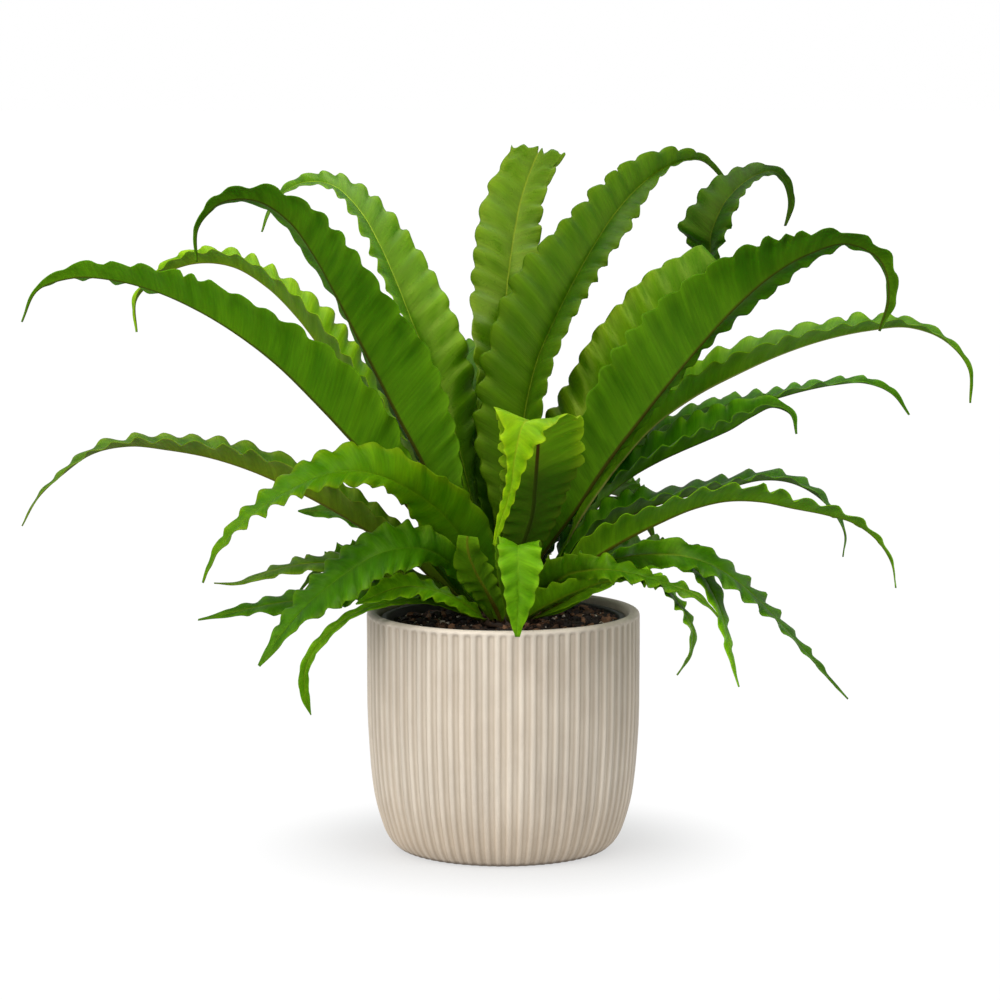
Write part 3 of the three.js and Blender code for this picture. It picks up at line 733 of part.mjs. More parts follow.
    [19.6, 191.7, 119.4, 14.6, 194.6, 121.5, 25, 193.7, 121.5],
    [20.4, 200.6, 107.4, 18.3, 201.9, 108.2, 22.6, 201.5, 108.2],
    [21, 207.5, 95.2, 20.5, 207.8, 95.4, 21.5, 207.7, 95.4],
  ] },
  frond_back_08: { colour: 0x3f7a12, stations: [
    [-6.1, 20.4, 144.9, -7.5, 19.7, 145.3, -4.6, 21.1, 145.3],
    [-14.1, 37.9, 153.4, -17.8, 34.9, 156.1, -9.5, 38.9, 156.1],
    [-22.3, 59.7, 159.1, -28.6, 55.2, 163.7, -14.8, 61.9, 163.7],
    [-30.6, 91.7, 160.7, -33, 90.3, 162.4, -28.1, 92.6, 162.4],
    [-38.9, 112.2, 161.6, -45.6, 108.9, 166.3, -32.1, 115.4, 166.3],
    [-46.9, 128.4, 160.7, -54.2, 125.6, 165.5, -40.1, 132.4, 165.5],
    [-54.5, 144, 157.4, -63.2, 141.4, 162.9, -47, 149.2, 162.9],
    [-61.4, 148.5, 153.7, -75.9, 145.2, 162.1, -49.8, 157.8, 162.1],
    [-67.6, 151.4, 148.2, -79.8, 149.5, 154.7, -58.6, 159.8, 154.7],
    [-73.3, 158.5, 140.5, -82.3, 157.6, 144.8, -67.1, 165, 144.8],
    [-78.4, 168.9, 131, -83.8, 168.6, 133.3, -74.9, 173, 133.3],
    [-82.7, 177.8, 120.7, -85, 177.7, 121.6, -81.3, 179.6, 121.6],
    [-86.3, 185.1, 110.1, -86.8, 185.1, 110.3, -86, 185.5, 110.3],
  ] },
  frond_back_09: { colour: 0x2f6410, stations: [
    [12.6, 11.5, 152.4, 11.2, 12.9, 152.9, 14, 10.1, 152.9],
    [16.8, 15.9, 162.3, 14.9, 16.5, 162.9, 17.4, 14.1, 162.9],
    [21.5, 26.7, 170.6, 19.1, 27.5, 171.5, 22.4, 24.3, 171.5],
    [26.7, 39.3, 177.8, 24, 40.3, 178.9, 27.7, 36.7, 178.9],
    [32.2, 52.3, 184.1, 28.3, 53.9, 185.9, 33.9, 48.5, 185.9],
    [38.1, 62.9, 189.7, 33.5, 65, 192.2, 40.3, 58.5, 192.2],
    [44.1, 69.4, 195, 40.6, 71.2, 197.1, 46.1, 65.9, 197.1],
    [50.3, 76.1, 199.1, 47.6, 77.7, 200.9, 52, 73.5, 200.9],
    [56.5, 82.2, 202.4, 51.5, 85.5, 205.9, 60, 77.4, 205.9],
    [62.6, 88.1, 204.6, 59, 90.8, 207.3, 65.5, 84.7, 207.3],
    [68.5, 90.4, 206.4, 65.6, 92.8, 208.7, 71, 87.6, 208.7],
    [74.1, 91.1, 207.5, 72.9, 92.2, 208.5, 75.3, 90, 208.5],
    [79.3, 91.8, 207.8, 79.1, 92.1, 208.1, 79.6, 91.5, 208.1],
  ] },
  frond_back_10: { colour: 0x2f6410, stations: [
    [-10.9, 17.1, 144.9, -12.4, 15.7, 145.4, -9.4, 18.5, 145.4],
    [-22.2, 27.9, 154.4, -24.8, 22.9, 157.4, -17.4, 30.6, 157.4],
    [-34.1, 38.9, 162.1, -38.7, 31.1, 167.2, -26.4, 43.8, 167.2],
    [-46.1, 49.9, 167.7, -52.9, 40, 174.8, -36.5, 57, 174.8],
    [-58.1, 61, 171.3, -66.6, 50.3, 179.7, -47.7, 69.9, 179.7],
    [-69.8, 72.3, 172.7, -79.5, 61.9, 181.6, -59.8, 82.3, 181.6],
    [-81.1, 83.2, 172.2, -91.4, 73.8, 180.9, -72, 93.9, 180.9],
    [-92, 93.7, 169.9, -102.2, 85.6, 177.8, -84.2, 104.2, 177.8],
    [-102.2, 103.6, 166, -111.1, 97.5, 172.2, -96.4, 112.7, 172.2],
    [-111.6, 112.7, 160.7, -118.3, 108.7, 164.9, -107.8, 119.5, 164.9],
    [-120.2, 120.9, 154.2, -124.3, 118.8, 156.6, -118.1, 125.2, 156.6],
    [-127.8, 128.3, 146.8, -129.6, 127.4, 147.8, -127, 130.1, 147.8],
    [-134.3, 134.6, 138.9, -134.8, 134.4, 139.1, -134.2, 135.1, 139.1],
  ] },
  frond_back_11: { colour: 0x3f7a12, stations: [
    [18.9, 14.9, 144.9, 17.6, 16.6, 145.4, 20.3, 13.2, 145.4],
    [31.9, 25.4, 154.5, 27.4, 28.6, 157.4, 34.1, 20.4, 157.4],
    [45.2, 36.1, 162.2, 38.1, 41.7, 167.3, 49.1, 28.1, 167.3],
    [58.6, 47, 168, 50.2, 54.5, 174.7, 64.2, 37.3, 174.7],
    [72.1, 57.9, 171.8, 63, 67.1, 179.7, 79.2, 47.2, 179.7],
    [85.4, 68.7, 173.6, 76.7, 78.8, 182, 93.5, 58.1, 182],
    [98.3, 79.2, 173.6, 90.4, 89.7, 181.8, 107, 69.3, 181.8],
    [110.8, 89.2, 171.8, 104.1, 99.5, 179.3, 119.4, 80.6, 179.3],
    [122.5, 98.8, 168.5, 117.6, 107.5, 174.5, 130.1, 92.1, 174.5],
    [133.5, 107.7, 163.8, 130.3, 114.2, 167.9, 139.3, 103.2, 167.9],
    [143.6, 115.9, 157.9, 141.9, 119.9, 160.3, 147.2, 113.4, 160.3],
    [152.8, 123.3, 151.2, 152.1, 125, 152.1, 154.3, 122.3, 152.1],
    [160.9, 129.8, 143.9, 160.7, 130.3, 144.1, 161.2, 129.6, 144.1],
  ] },
  frond_back_12: { colour: 0x3f7a12, stations: [
    [-7.3, 10.7, 152.4, -8.7, 9.1, 152.9, -6, 12.3, 152.9],
    [-14.2, 23.1, 176.4, -17.5, 16.4, 178.6, -6.8, 23.9, 178.6],
    [-21.4, 37.9, 198.7, -27.4, 26.6, 203, -8.6, 39.7, 203],
    [-30.5, 51.9, 219, -39, 37.3, 225.5, -14, 54.9, 225.5],
    [-41, 66.9, 236.9, -51.2, 50.9, 245.2, -22.4, 71.1, 245.2],
    [-52.2, 81.7, 252.1, -63.6, 66, 261.6, -33.5, 87.1, 261.6],
    [-64, 97.7, 264.2, -75.9, 83.2, 274.4, -46.3, 104, 274.4],
    [-76.2, 115.2, 273.1, -88, 102.8, 283, -60.6, 122, 283],
    [-88.6, 132.8, 278.8, -98.8, 123.7, 287.2, -76.5, 139.3, 287.2],
    [-100.8, 150.2, 281.4, -108.6, 144.3, 287.6, -92.6, 155.5, 287.6],
    [-112.5, 166.9, 281.2, -117.4, 163.9, 284.8, -108, 170.5, 284.8],
    [-123.5, 182.7, 278.3, -125.7, 181.6, 279.8, -121.8, 184.4, 279.8],
    [-133.6, 197.1, 273.3, -134.2, 196.9, 273.6, -133.2, 197.5, 273.6],
  ] },
};

function frond(name, { colour, stations }) {
  const M = [], A = [], B = [];
  for (const s of stations) {
    M.push(new THREE.Vector3(s[0], s[1], s[2]));
    A.push(new THREE.Vector3(s[3], s[4], s[5]));
    B.push(new THREE.Vector3(s[6], s[7], s[8]));
  }
  // each half is a run of thin plates, one from each station to the next, and the frond is all of them joined
  const n = M.length, h = FROND_THICKNESS / 2, edgeA = [], edgeB = [];
  for (let i = 0; i < n; i++) {
    const T = M[Math.min(i + 1, n - 1)].clone().sub(M[Math.max(i - 1, 0)]).normalize();
    const na = new THREE.Vector3().crossVectors(T, A[i].clone().sub(M[i])),
      nb = new THREE.Vector3().crossVectors(T, B[i].clone().sub(M[i])).negate();
    na.divideScalar(Math.max(na.length(), 1e-6));
    nb.divideScalar(Math.max(nb.length(), 1e-6));
    let nm = na.clone().add(nb);
    if (nm.length() < 0.4) nm = new THREE.Vector3().crossVectors(T, A[i].clone().sub(B[i]));
    nm.divideScalar(Math.max(nm.length(), 1e-6));
    const k = Math.min(1.6, Math.max(1, 1 / Math.max(nm.dot(na.clone().add(nb).multiplyScalar(0.5)), 0.5)));
    const at = (p, v, f) => [p.x + v.x * f, p.y + v.y * f, p.z + v.z * f];
    const middle = [at(M[i], nm, h * k), at(M[i], nm, -h * k)];
    edgeA.push([at(A[i], na, h), at(A[i], na, -h), ...middle]);
    edgeB.push([at(B[i], nb, h), at(B[i], nb, -h), ...middle]);
  }
  const plates = [];
  for (const edge of [edgeA, edgeB])
    for (let i = 0; i + 1 < n; i++) plates.push(wasm.Manifold.hull([...edge[i], ...edge[i + 1]]));
  const bodies = wasm.Manifold.union(plates).decompose();
  bodies.sort((a, b) => b.volume() - a.volume());
  const geometry = geometryOf(bodies[0]);
  return piece(name, geometry, colour, 0.45);
}

const holder = new THREE.Group(), plant = new THREE.Group(), fern = new THREE.Group();
holder.add(pot(), nurseryPot());
plant.add(soil(), crown());
for (const [name, f] of Object.entries(FRONDS)) plant.add(frond(name, f));
fern.add(holder, plant);

export default fern;
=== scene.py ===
import math
import random

import bpy
import numpy as np
from mathutils import Matrix, Vector, noise


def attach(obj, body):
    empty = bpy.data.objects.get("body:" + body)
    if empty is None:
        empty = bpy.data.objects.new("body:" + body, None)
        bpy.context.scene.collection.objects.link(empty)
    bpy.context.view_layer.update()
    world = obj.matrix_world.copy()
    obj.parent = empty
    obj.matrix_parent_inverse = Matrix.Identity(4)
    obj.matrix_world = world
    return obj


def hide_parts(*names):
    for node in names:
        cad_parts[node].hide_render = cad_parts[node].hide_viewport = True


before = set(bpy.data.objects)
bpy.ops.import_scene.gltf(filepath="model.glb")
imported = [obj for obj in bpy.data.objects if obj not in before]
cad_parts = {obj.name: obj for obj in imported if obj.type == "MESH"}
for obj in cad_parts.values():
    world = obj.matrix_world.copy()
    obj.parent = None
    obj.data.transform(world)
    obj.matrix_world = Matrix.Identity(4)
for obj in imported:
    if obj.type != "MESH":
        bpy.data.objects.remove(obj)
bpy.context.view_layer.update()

# A potted crisped-strap fern in a vertically ribbed ceramic pot. Tables are in millimetres, objects in metres.
MM = 0.001


def srgb(r, g, b, a=1.0):
    return tuple((c / 255 / 12.92) if c / 255 <= 0.04045 else ((c / 255 + 0.055) / 1.055) ** 2.4 for c in (r, g, b)) + (a,)


# ------------------------------------------------------------------ camera
cam_data = bpy.data.cameras.new("camera")
cam_data.lens = 150.588
cam_data.sensor_width = 36.0
cam_data.clip_end = 60
camera = bpy.data.objects.new("camera", cam_data)
camera.location = (-0.002, -2.57776, 0.55777)
camera.rotation_euler = (math.radians(82.5), 0, 0)
bpy.context.scene.collection.objects.link(camera)
bpy.context.scene.camera = camera


# ------------------------------------------------------------------ node helpers
class Nodes:
    """A new material with its nodes, and short ways to add and join them."""

    def __init__(self, name):
        self.mat = bpy.data.materials.new(name)
        self.mat.use_nodes = True
        self.tree = self.mat.node_tree
        self.tree.nodes.clear()
        self.out = self.tree.nodes.new("ShaderNodeOutputMaterial")
        self.bsdf = self.tree.nodes.new("ShaderNodeBsdfPrincipled")
        self.link(self.bsdf.outputs[0], self.out.inputs["Surface"])

    def new(self, kind, **values):
        node = self.tree.nodes.new(kind)
        for key, value in values.items():
            setattr(node, key, value)
        return node

    def link(self, a, b):
        self.tree.links.new(a, b)

    def put(self, socket, value):
        if hasattr(value, "is_output"):
            self.link(value, socket)
        else:
            socket.default_value = value

    def attr(self, name):
        node = self.new("ShaderNodeAttribute", attribute_name=name)
        return node.outputs["Fac"]

    def object_coords(self):
        return self.new("ShaderNodeTexCoord").outputs["Object"]

    def noise(self, vector, scale, detail=3.0, rough=0.55, distortion=0.0):
        node = self.new("ShaderNodeTexNoise")
        self.put(node.inputs["Vector"], vector)
        node.inputs["Scale"].default_value = scale
        node.inputs["Detail"].default_value = detail
        node.inputs["Roughness"].default_value = rough
        node.inputs["Distortion"].default_value = distortion
        return node.outputs["Fac"]

    def voronoi(self, vector, scale, feature="F1", out="Distance", randomness=1.0):
        node = self.new("ShaderNodeTexVoronoi", feature=feature)
        self.put(node.inputs["Vector"], vector)
        node.inputs["Scale"].default_value = scale
        node.inputs["Randomness"].default_value = randomness
        return node.outputs[out]

    def math(self, op, a, b=0.0, c=0.0, clamp=False):
        node = self.new("ShaderNodeMath", operation=op, use_clamp=clamp)
        for socket, value in zip(node.inputs, (a, b, c)):
            self.put(socket, value)
        return node.outputs[0]

    def ramp(self, value, a, b, lo=0.0, hi=1.0, smooth=True):
        node = self.new("ShaderNodeMapRange", interpolation_type="SMOOTHSTEP" if smooth else "LINEAR")
        for key, v in zip(("Value", "From Min", "From Max", "To Min", "To Max"), (value, a, b, lo, hi)):
            self.put(node.inputs[key], v)
        return node.outputs[0]

    def mix(self, fac, a, b, blend="MIX"):
        node = self.new("ShaderNodeMix", data_type="RGBA", blend_type=blend)
        node.clamp_factor = True
        self.put(node.inputs[0], fac)
        self.put(node.inputs[6], a)
        self.put(node.inputs[7], b)
        return node.outputs[2]

    def combine(self, x, y, z):
        node = self.new("ShaderNodeCombineXYZ")
        for socket, value in zip(node.inputs, (x, y, z)):
            self.put(socket, value)
        return node.outputs[0]

    def bump(self, height, strength, distance):
        node = self.new("ShaderNodeBump")
        node.inputs["Strength"].default_value = strength
        node.inputs["Distance"].default_value = distance
        self.put(node.inputs["Height"], height)
        self.link(node.outputs[0], self.bsdf.inputs["Normal"])
        return node.outputs[0]

    def set(self, **values):
        for key, value in values.items():
            self.put(self.bsdf.inputs[key.replace("_", " ")], value)
        return self.mat


def add_mesh(name, verts, faces, smooth=True, attrs=None, uv=None):
    mesh = bpy.data.meshes.new(name)
    mesh.from_pydata([tuple(v) for v in verts], [], [tuple(f) for f in faces])
    mesh.validate()
    if smooth:
        mesh.polygons.foreach_set("use_smooth", [True] * len(mesh.polygons))
    for key, values in (attrs or {}).items():
        layer = mesh.attributes.new(key, "FLOAT", "POINT")
        layer.data.foreach_set("value", np.asarray(values, np.float32))
    if uv is not None:
        layer = mesh.uv_layers.new(name="leaf")
        loops = np.empty(len(mesh.loops), np.int32)
        mesh.loops.foreach_get("vertex_index", loops)
        layer.data.foreach_set("uv", np.asarray(uv, np.float32)[loops].ravel())
    mesh.update()
    obj = bpy.data.objects.new(name, mesh)
    bpy.context.scene.collection.objects.link(obj)
    return obj


def hold(obj, node, material):
    """obj rides on the one body and stands in for a CAD node, which it hides."""
    obj.data.materials.clear()
    obj.data.materials.append(material)
    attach(obj, "root")
    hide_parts(node)


# ------------------------------------------------------------------ the fronds
# A station holds the midrib point, one margin point and the other, from the crown to the drip tip. "a" and "b" list
# how far along the frond each crest of a crisped margin stands, where it is known.
FRONDS = {
    "frond_left_long": {"tone": "deep", "ruffle": (2.0, 1.6), "wave": 19, "pleat": 0.35, "brown": (0.2, 0.6), "shade": (1.2, 1.35), "b": [142, 223, 236, 258, 271, 278, 297, 313, 330], "st": [
        (-10.4, 0.2, 152.4, -10.7, 2.4, 152.9, -10.1, -1.9, 152.9),
        (-32.7, -0.5, 177.6, -28.6, 8.3, 180.1, -27.4, -8.2, 183.4),
        (-51.7, -0.9, 204.8, -44.2, 14.3, 208.7, -41.9, -14.2, 214),
        (-72.9, -2, 231.9, -61.1, 13.9, 240.6, -57.5, -12.3, 246.4),
        (-95, -3.1, 257, -77.8, 9.6, 271.8, -72.7, -16.8, 278.8),
        (-117, -4.3, 280.8, -99.8, 9.6, 296.4, -94.3, -18.3, 303.4),
        (-139.2, -5.5, 302.9, -126.9, 15, 316.4, -121.3, -17.6, 324.1),
        (-163, -6.7, 321.6, -157.1, 17.8, 329.6, -149.2, -23.5, 340.7),
        (-187.7, -8, 337, -187.3, 15.7, 339, -178, -23, 355.1),
        (-213.2, -9.3, 348.8, -215.2, 10.4, 346.4, -206.8, -22.9, 363.3),
        (-239.1, -10.7, 356, -240.5, 3, 354.1, -236.6, -19.6, 366.9),
        (-264.8, -12, 357.5, -265.6, -4, 356.2, -264.8, -15.7, 365.9),
        (-286.2, -13.2, 349.9, -286.4, -9.7, 349.4, -287.6, -14.1, 351.5),
        (-295.9, -13.7, 330.6, -295.9, -12.8, 330.5, -296.4, -13.9, 330.7),
    ]},
    "frond_left_rear": {"tone": "young", "ruffle": (1.5, 2.6), "pleat": 0.9, "shade": (1.25, 1.05), "b": [208, 223, 237, 251, 264, 306], "st": [
        (-10, 5.8, 152.4, -10.6, 3.7, 152.9, -9.4, 7.8, 152.9),
        (-27.6, 15.1, 181.1, -25.5, 6.1, 183.8, -24.2, 23.4, 182.3),
        (-43, 23.5, 211, -39.4, 8.9, 214.8, -37.2, 37.1, 212.4),
        (-57.6, 30.1, 237.9, -52.9, 10.4, 242.9, -50, 48.1, 240.4),
        (-75, 37.1, 262.1, -69.8, 13.6, 268.5, -67.1, 58.7, 266.6),
        (-94.4, 45.4, 283.8, -87.2, 21.6, 291.7, -82.7, 64.8, 292.2),
        (-112.8, 53.5, 305.4, -104.3, 29.6, 313.6, -98.5, 71.2, 315.4),
        (-130.1, 61.3, 326.9, -122.2, 38.3, 334.6, -117.9, 79.2, 336.2),
        (-149.5, 69.9, 345.3, -143.8, 49.5, 352.7, -143.4, 88.4, 352.7),
        (-172.3, 80.1, 357.7, -168.8, 63.9, 365.7, -170, 95, 365.6),
        (-197.4, 91.2, 358.8, -197.8, 81.2, 366.5, -199.5, 99.5, 367.1),
        (-220.6, 101.5, 349.3, -222, 95.4, 353, -223.7, 106.4, 353.4),
        (-236.4, 108.6, 333.1, -236.9, 105.6, 333.6, -238.7, 110.7, 333.7),
        (-235.9, 108.3, 313.3, -235.8, 107.6, 313.4, -236.5, 108.9, 313.1),
    ]},
    "frond_left_arching": {"tone": "dark", "ruffle": (1.0, 1.6), "pleat": 0.3, "brown": (0.35, 0.75), "shade": (1.2, 1.35), "b": [100, 111, 193, 215, 231, 258, 272, 288, 307, 320], "st": [
        (-1.9, -3, 159.4, -3.3, -1.6, 159.9, -0.5, -4.4, 159.9),
        (-21.4, -7.7, 187, -22.2, 2.5, 185.1, -14, -13.9, 191.5),
        (-37.4, -11, 215.2, -38.8, 7.3, 212.2, -23.9, -22, 222.7),
        (-50.3, -15.5, 244.5, -52.2, 8.6, 240.8, -27.9, -15.5, 255.7),
        (-64.5, -18, 271.8, -67, 10.8, 267.6, -35.9, -18, 286.9),
        (-77.7, -21.1, 298.5, -80.3, 8.9, 294.6, -46.4, -21.1, 314.1),
        (-90.6, -24.9, 324.4, -93.2, 5.9, 320.8, -63.8, -29.9, 339.2),
        (-102.9, -28.4, 349.4, -106.1, 0.9, 346, -79.9, -43.4, 361.8),
        (-115.6, -32, 373.1, -120.8, -8.1, 368.7, -97.5, -47.6, 385),
        (-130.4, -36.2, 393.9, -134.1, -19, 390.1, -118.5, -50.6, 405.5),
        (-150, -41.9, 406.8, -151.3, -30.9, 403.8, -146.9, -53.2, 416.4),
        (-171.5, -48, 405.5, -171.4, -43.1, 404.2, -173.3, -54.7, 410.8),
        (-184.3, -51.7, 390.8, -184.2, -51.1, 390.7, -186.3, -54.6, 391.6),
        (-185.2, -52, 370.4, -185.3, -51.4, 370.3, -185.7, -52.7, 370.4),
    ]},
    "frond_left_inner": {"tone": "mid", "tint": {"rib_up": srgb(150, 176, 48)}, "ruffle": (1.8, 1.8), "pleat": 0.5, "shade": (1.0, 1.1), "rib": (0.75, 0.85), "gloss": 0.5, "rough": 0.26, "b": [138, 174, 264, 275, 290, 302], "st": [
        (-3.9, 0.7, 159.4, -3.5, -1.2, 159.8, -4.2, 2.6, 159.8),
        (-12.5, 9.7, 189.5, -13.7, 1.1, 190.4, -7.9, 17, 189.6),
        (-20.9, 19.4, 219.2, -22.9, 4.6, 220.6, -16.4, 33.5, 218.5),
        (-28.1, 28.1, 247.2, -30.9, 7.3, 248.8, -18.5, 46.6, 247.6),
        (-36.8, 38.4, 273.8, -38.5, 13.4, 275.8, -17.9, 53.4, 278.9),
        (-46.9, 48.6, 299.3, -48.4, 22.5, 301.1, -23.2, 53.8, 308.5),
        (-57.7, 58.6, 323.8, -61, 32.1, 324.6, -33.4, 63.5, 333.4),
        (-67.7, 68, 347.9, -73.4, 43.3, 347.4, -45.8, 77.4, 356),
        (-78.4, 77.9, 370.9, -83.6, 56.4, 369.5, -61.6, 89.9, 378.5),
        (-91.1, 89.8, 391.8, -94.7, 72.1, 389.9, -80.5, 102.3, 398.9),
        (-108.5, 106, 407, -109.2, 93.5, 405.4, -105.1, 115.7, 413.8),
        (-130.7, 126.7, 407.5, -129.9, 119.4, 406.5, -132.4, 132.4, 411.8),
        (-148.9, 143.6, 394.3, -148.2, 140.5, 394.1, -150.7, 146.1, 395.4),
        (-157.3, 151.5, 374.9, -157.1, 150.7, 374.9, -157.9, 152.1, 374.9),
    ]},
    "frond_centre_upright": {"tone": "young", "ruffle": (1.8, 1.8), "pleat": 0.6, "lobe": 1.3, "brown": (0.4, 0.9), "shade": (0.48, 0.54), "tint": {'upper_light': (0.15, 0.33, 0.001, 1), 'upper_dark': (0.052, 0.165, 0.0005, 1)}, "gloss": 0.5, "rough": 0.26, "torn": 5.0, "slant": 4.0, "rib": (0.3, 0.8), "a": [267], "b": [254, 296], "st": [
        (-0.4, 8.1, 159.4, -1.6, 7.4, 159.7, 0.8, 8.8, 159.7),
        (-0.4, 13.1, 185.4, -3.4, 7.4, 186.2, 4.1, 8.4, 186.1),
        (-0.7, 21.5, 211.3, -6.9, 10, 212.8, 6.7, 10.7, 212.9),
        (-0.7, 28.4, 235.6, -10.8, 10.8, 237.8, 10.4, 11.5, 237.7),
        (-0.6, 35.6, 258.4, -13, 15.9, 260.8, 12, 16, 260.4),
        (-0.1, 43.1, 280.6, -15, 23.1, 283, 14.5, 23, 282.4),
        (0.3, 51.9, 302.1, -17.7, 34.7, 304.2, 17.1, 33.5, 303.5),
        (1.1, 62.5, 322.8, -19.7, 51.1, 324.9, 19.5, 47.6, 323.2),
        (2.4, 72.7, 343, -19.5, 72.7, 344.8, 21.4, 62.7, 342.2),
        (4.7, 82.5, 362.5, -18.2, 82.5, 365.6, 22.7, 77.9, 360.3),
        (7.7, 93.5, 381.2, -15.8, 93.5, 385.1, 23.8, 93.5, 378.5),
        (11.5, 104.2, 399, -10.1, 104.2, 404.6, 25.2, 104.2, 395.4),
        (17.1, 113.6, 415.6, -0.6, 113.6, 422.4, 30.7, 113.6, 410.4),
        (23.8, 122, 430.9, 8.2, 122, 437.7, 38.5, 122, 424.5),
    ]},
    "frond_centre_right": {"tone": "mid", "ruffle": (1.9, 1.7), "pleat": 0.35, "lobe": 2.4, "shade": (0.56, 0.64), "half": 0.8, "a": [204, 282, 292, 310, 328, 342, 370], "b": [119, 205, 232, 290], "st": [
        (7.7, 7.2, 159.4, 6.6, 8.2, 159.7, 8.7, 6.3, 159.7),
        (7.9, 3.1, 190.4, -1.5, 3.1, 190.9, 13.4, -1.2, 190.7),
        (7.8, 2.9, 219.7, -9.2, 2.9, 221.1, 15.6, -9.4, 220.7),
        (10.5, 7.9, 248.7, -16.7, 7.9, 251.7, 20.1, -12.5, 250.1),
        (14.7, 13.8, 276.8, -15.1, 13.8, 282.2, 24.3, -11.3, 277.7),
        (21.5, 21.8, 303.2, -9.2, 21.8, 314.2, 30.5, -4.5, 302.4),
        (32.3, 33.4, 327.3, 0.8, 33.4, 342.3, 40.6, 6.4, 325.6),
        (44.3, 46.3, 350.2, 15.5, 46.3, 365.3, 53.4, 21.1, 347.1),
        (57.1, 60, 371.8, 35.3, 60, 384.6, 66.8, 39, 367.3),
        (71.1, 75.1, 391.8, 54.9, 75.1, 403.8, 80.7, 59.8, 385.3),
        (87.8, 92.9, 408.6, 76.2, 92.9, 421.5, 92.5, 81.5, 403.6),
        (107.7, 114.3, 420.3, 103.1, 114.3, 430.4, 108, 106.4, 419.3),
        (129.1, 137.2, 421.9, 130.3, 137.2, 426, 129, 135.4, 422),
        (144, 153.2, 408.6, 145.8, 153.2, 409.9, 144, 152.6, 408.7),
    ]},
    "frond_right_curled": {"tone": "dark", "ruffle": (1.5, 1.5), "pleat": 0.5, "lobe": 1.4, "wave": 12, "shade": (0.54, 0.8), "st": [
        (9.8, 3.6, 159.4, 9.4, 5.3, 159.8, 10.2, 1.8, 159.8),
        (25.2, 19.2, 189.7, 21.7, 24.9, 190.4, 28.7, 13.6, 188.9),
        (45.3, 37.5, 226.2, 38.5, 48.5, 228, 52, 26.5, 224.4),
        (64.5, 53.6, 259.2, 56.5, 67.6, 262.1, 72.3, 39.6, 256.4),
        (87.1, 72.6, 295.5, 79.3, 88.6, 299.1, 94.8, 56.6, 292),
        (108, 90.1, 323.9, 101, 107.1, 328.3, 115, 74.1, 319.6),
        (125.2, 104.5, 343.9, 119.4, 119.5, 346.6, 130.9, 90.5, 341.9),
        (132.5, 110.7, 357.6, 126, 123.7, 359.3, 136.9, 97.7, 358.6),
        (133.8, 111.7, 365.9, 121.4, 122.7, 368.4, 138.9, 99.7, 366.8),
        (133.7, 111.7, 374.3, 114.1, 120.7, 378.2, 142.1, 99.7, 374.5),
        (137, 114.4, 384.4, 118, 122.4, 388.4, 146.1, 103.4, 383.9),
        (141.6, 118.3, 393.8, 124.6, 126.3, 396.6, 149.5, 108.3, 393.2),
        (148.3, 124, 401.9, 131.2, 130.9, 406, 154.3, 116, 401.1),
        (157.1, 131.3, 408.9, 145.7, 137.3, 414.1, 159.9, 124.3, 407),
        (167.3, 139.9, 413.6, 160.3, 143.9, 419.2, 168.3, 134.9, 411.6),
        (175.5, 146.8, 414.5, 174.4, 149.8, 418.6, 175.7, 143.8, 412.4),
        (182.4, 152.6, 410, 184.8, 154.6, 413.1, 180.7, 150.6, 408.8),
        (186.7, 156.1, 402, 189.4, 157.6, 403.2, 184.9, 154.6, 401.4),
        (187.8, 157.1, 391.5, 190.2, 158.1, 391.4, 186.1, 156.1, 391.5),
        (184.1, 154, 378.6, 184.8, 154.3, 378.6, 183.4, 153.7, 378.6),
    ]},
    "frond_right_inner": {"tone": "young", "ruffle": (2.2, 1.8), "pleat": 1.2, "lobe": 1.2, "shade": (0.99, 1.0), "gloss": 0.5, "rough": 0.26, "tip": (0.72, 0.97, 0.7, srgb(44, 92, 10)), "a": [154, 233, 247], "st": [
        (9.5, -0.7, 159.4, 10, 0.6, 159.7, 8.9, -2, 159.7),
        (14.8, 7.2, 180.6, 11.2, 12.5, 180.7, 17.9, 1.6, 180.6),
        (20.6, 13.1, 201.6, 14.8, 21.7, 202.2, 25.6, 3.9, 201.3),
        (27, 11.7, 222.6, 16.7, 26.1, 224.7, 35.3, -4.2, 221.4),
        (35.3, 16.7, 241.2, 20.5, 31.9, 246.4, 45.1, -2.7, 238.8),
        (45, 22.7, 258.4, 28.7, 36.9, 267.1, 54.8, 1.9, 254.4),
        (56.1, 28.9, 274.1, 39.2, 40.3, 285.4, 65.3, 8.2, 269.3),
        (67.6, 34.9, 288.9, 47.9, 34.9, 303.7, 76.2, 15.2, 284.1),
        (79, 40.7, 303.2, 57.8, 40.7, 319.5, 86.6, 22.8, 298.6),
        (90.2, 46.5, 316.7, 70, 46.5, 333.5, 96.6, 30.8, 312.4),
        (101.7, 52.3, 329.3, 82.5, 52.3, 346.7, 106.4, 40.3, 325.7),
        (113.2, 58.2, 341, 95.6, 58.2, 357.7, 116.4, 49.9, 338.4),
        (124.5, 63.9, 352, 111.2, 63.9, 365.3, 125.9, 59.9, 350.7),
        (135.5, 69.5, 362, 125.3, 69.5, 372.6, 135.7, 68.9, 361.8),
    ]},
    "frond_right_arching": {"tone": "dark", "ruffle": (1.8, 1.3), "pleat": 0.35, "lobe": 2.2, "brown": (0.3, 0.7), "shade": (1.1, 1.16), "a": [205, 240, 256, 269, 279, 285, 298, 317, 348], "b": [270], "st": [
        (6.7, -4, 159.4, 5.2, -4.8, 159.8, 8.1, -3.1, 159.8),
        (26.6, -7, 188.7, 21.2, -11.5, 192.1, 28.2, 6.3, 186),
        (46.5, -19, 217.8, 37.5, -27.7, 224.5, 48.6, -1.5, 214.3),
        (65, -21.9, 245.4, 44.2, -21.9, 261.1, 68.1, 2.1, 240.7),
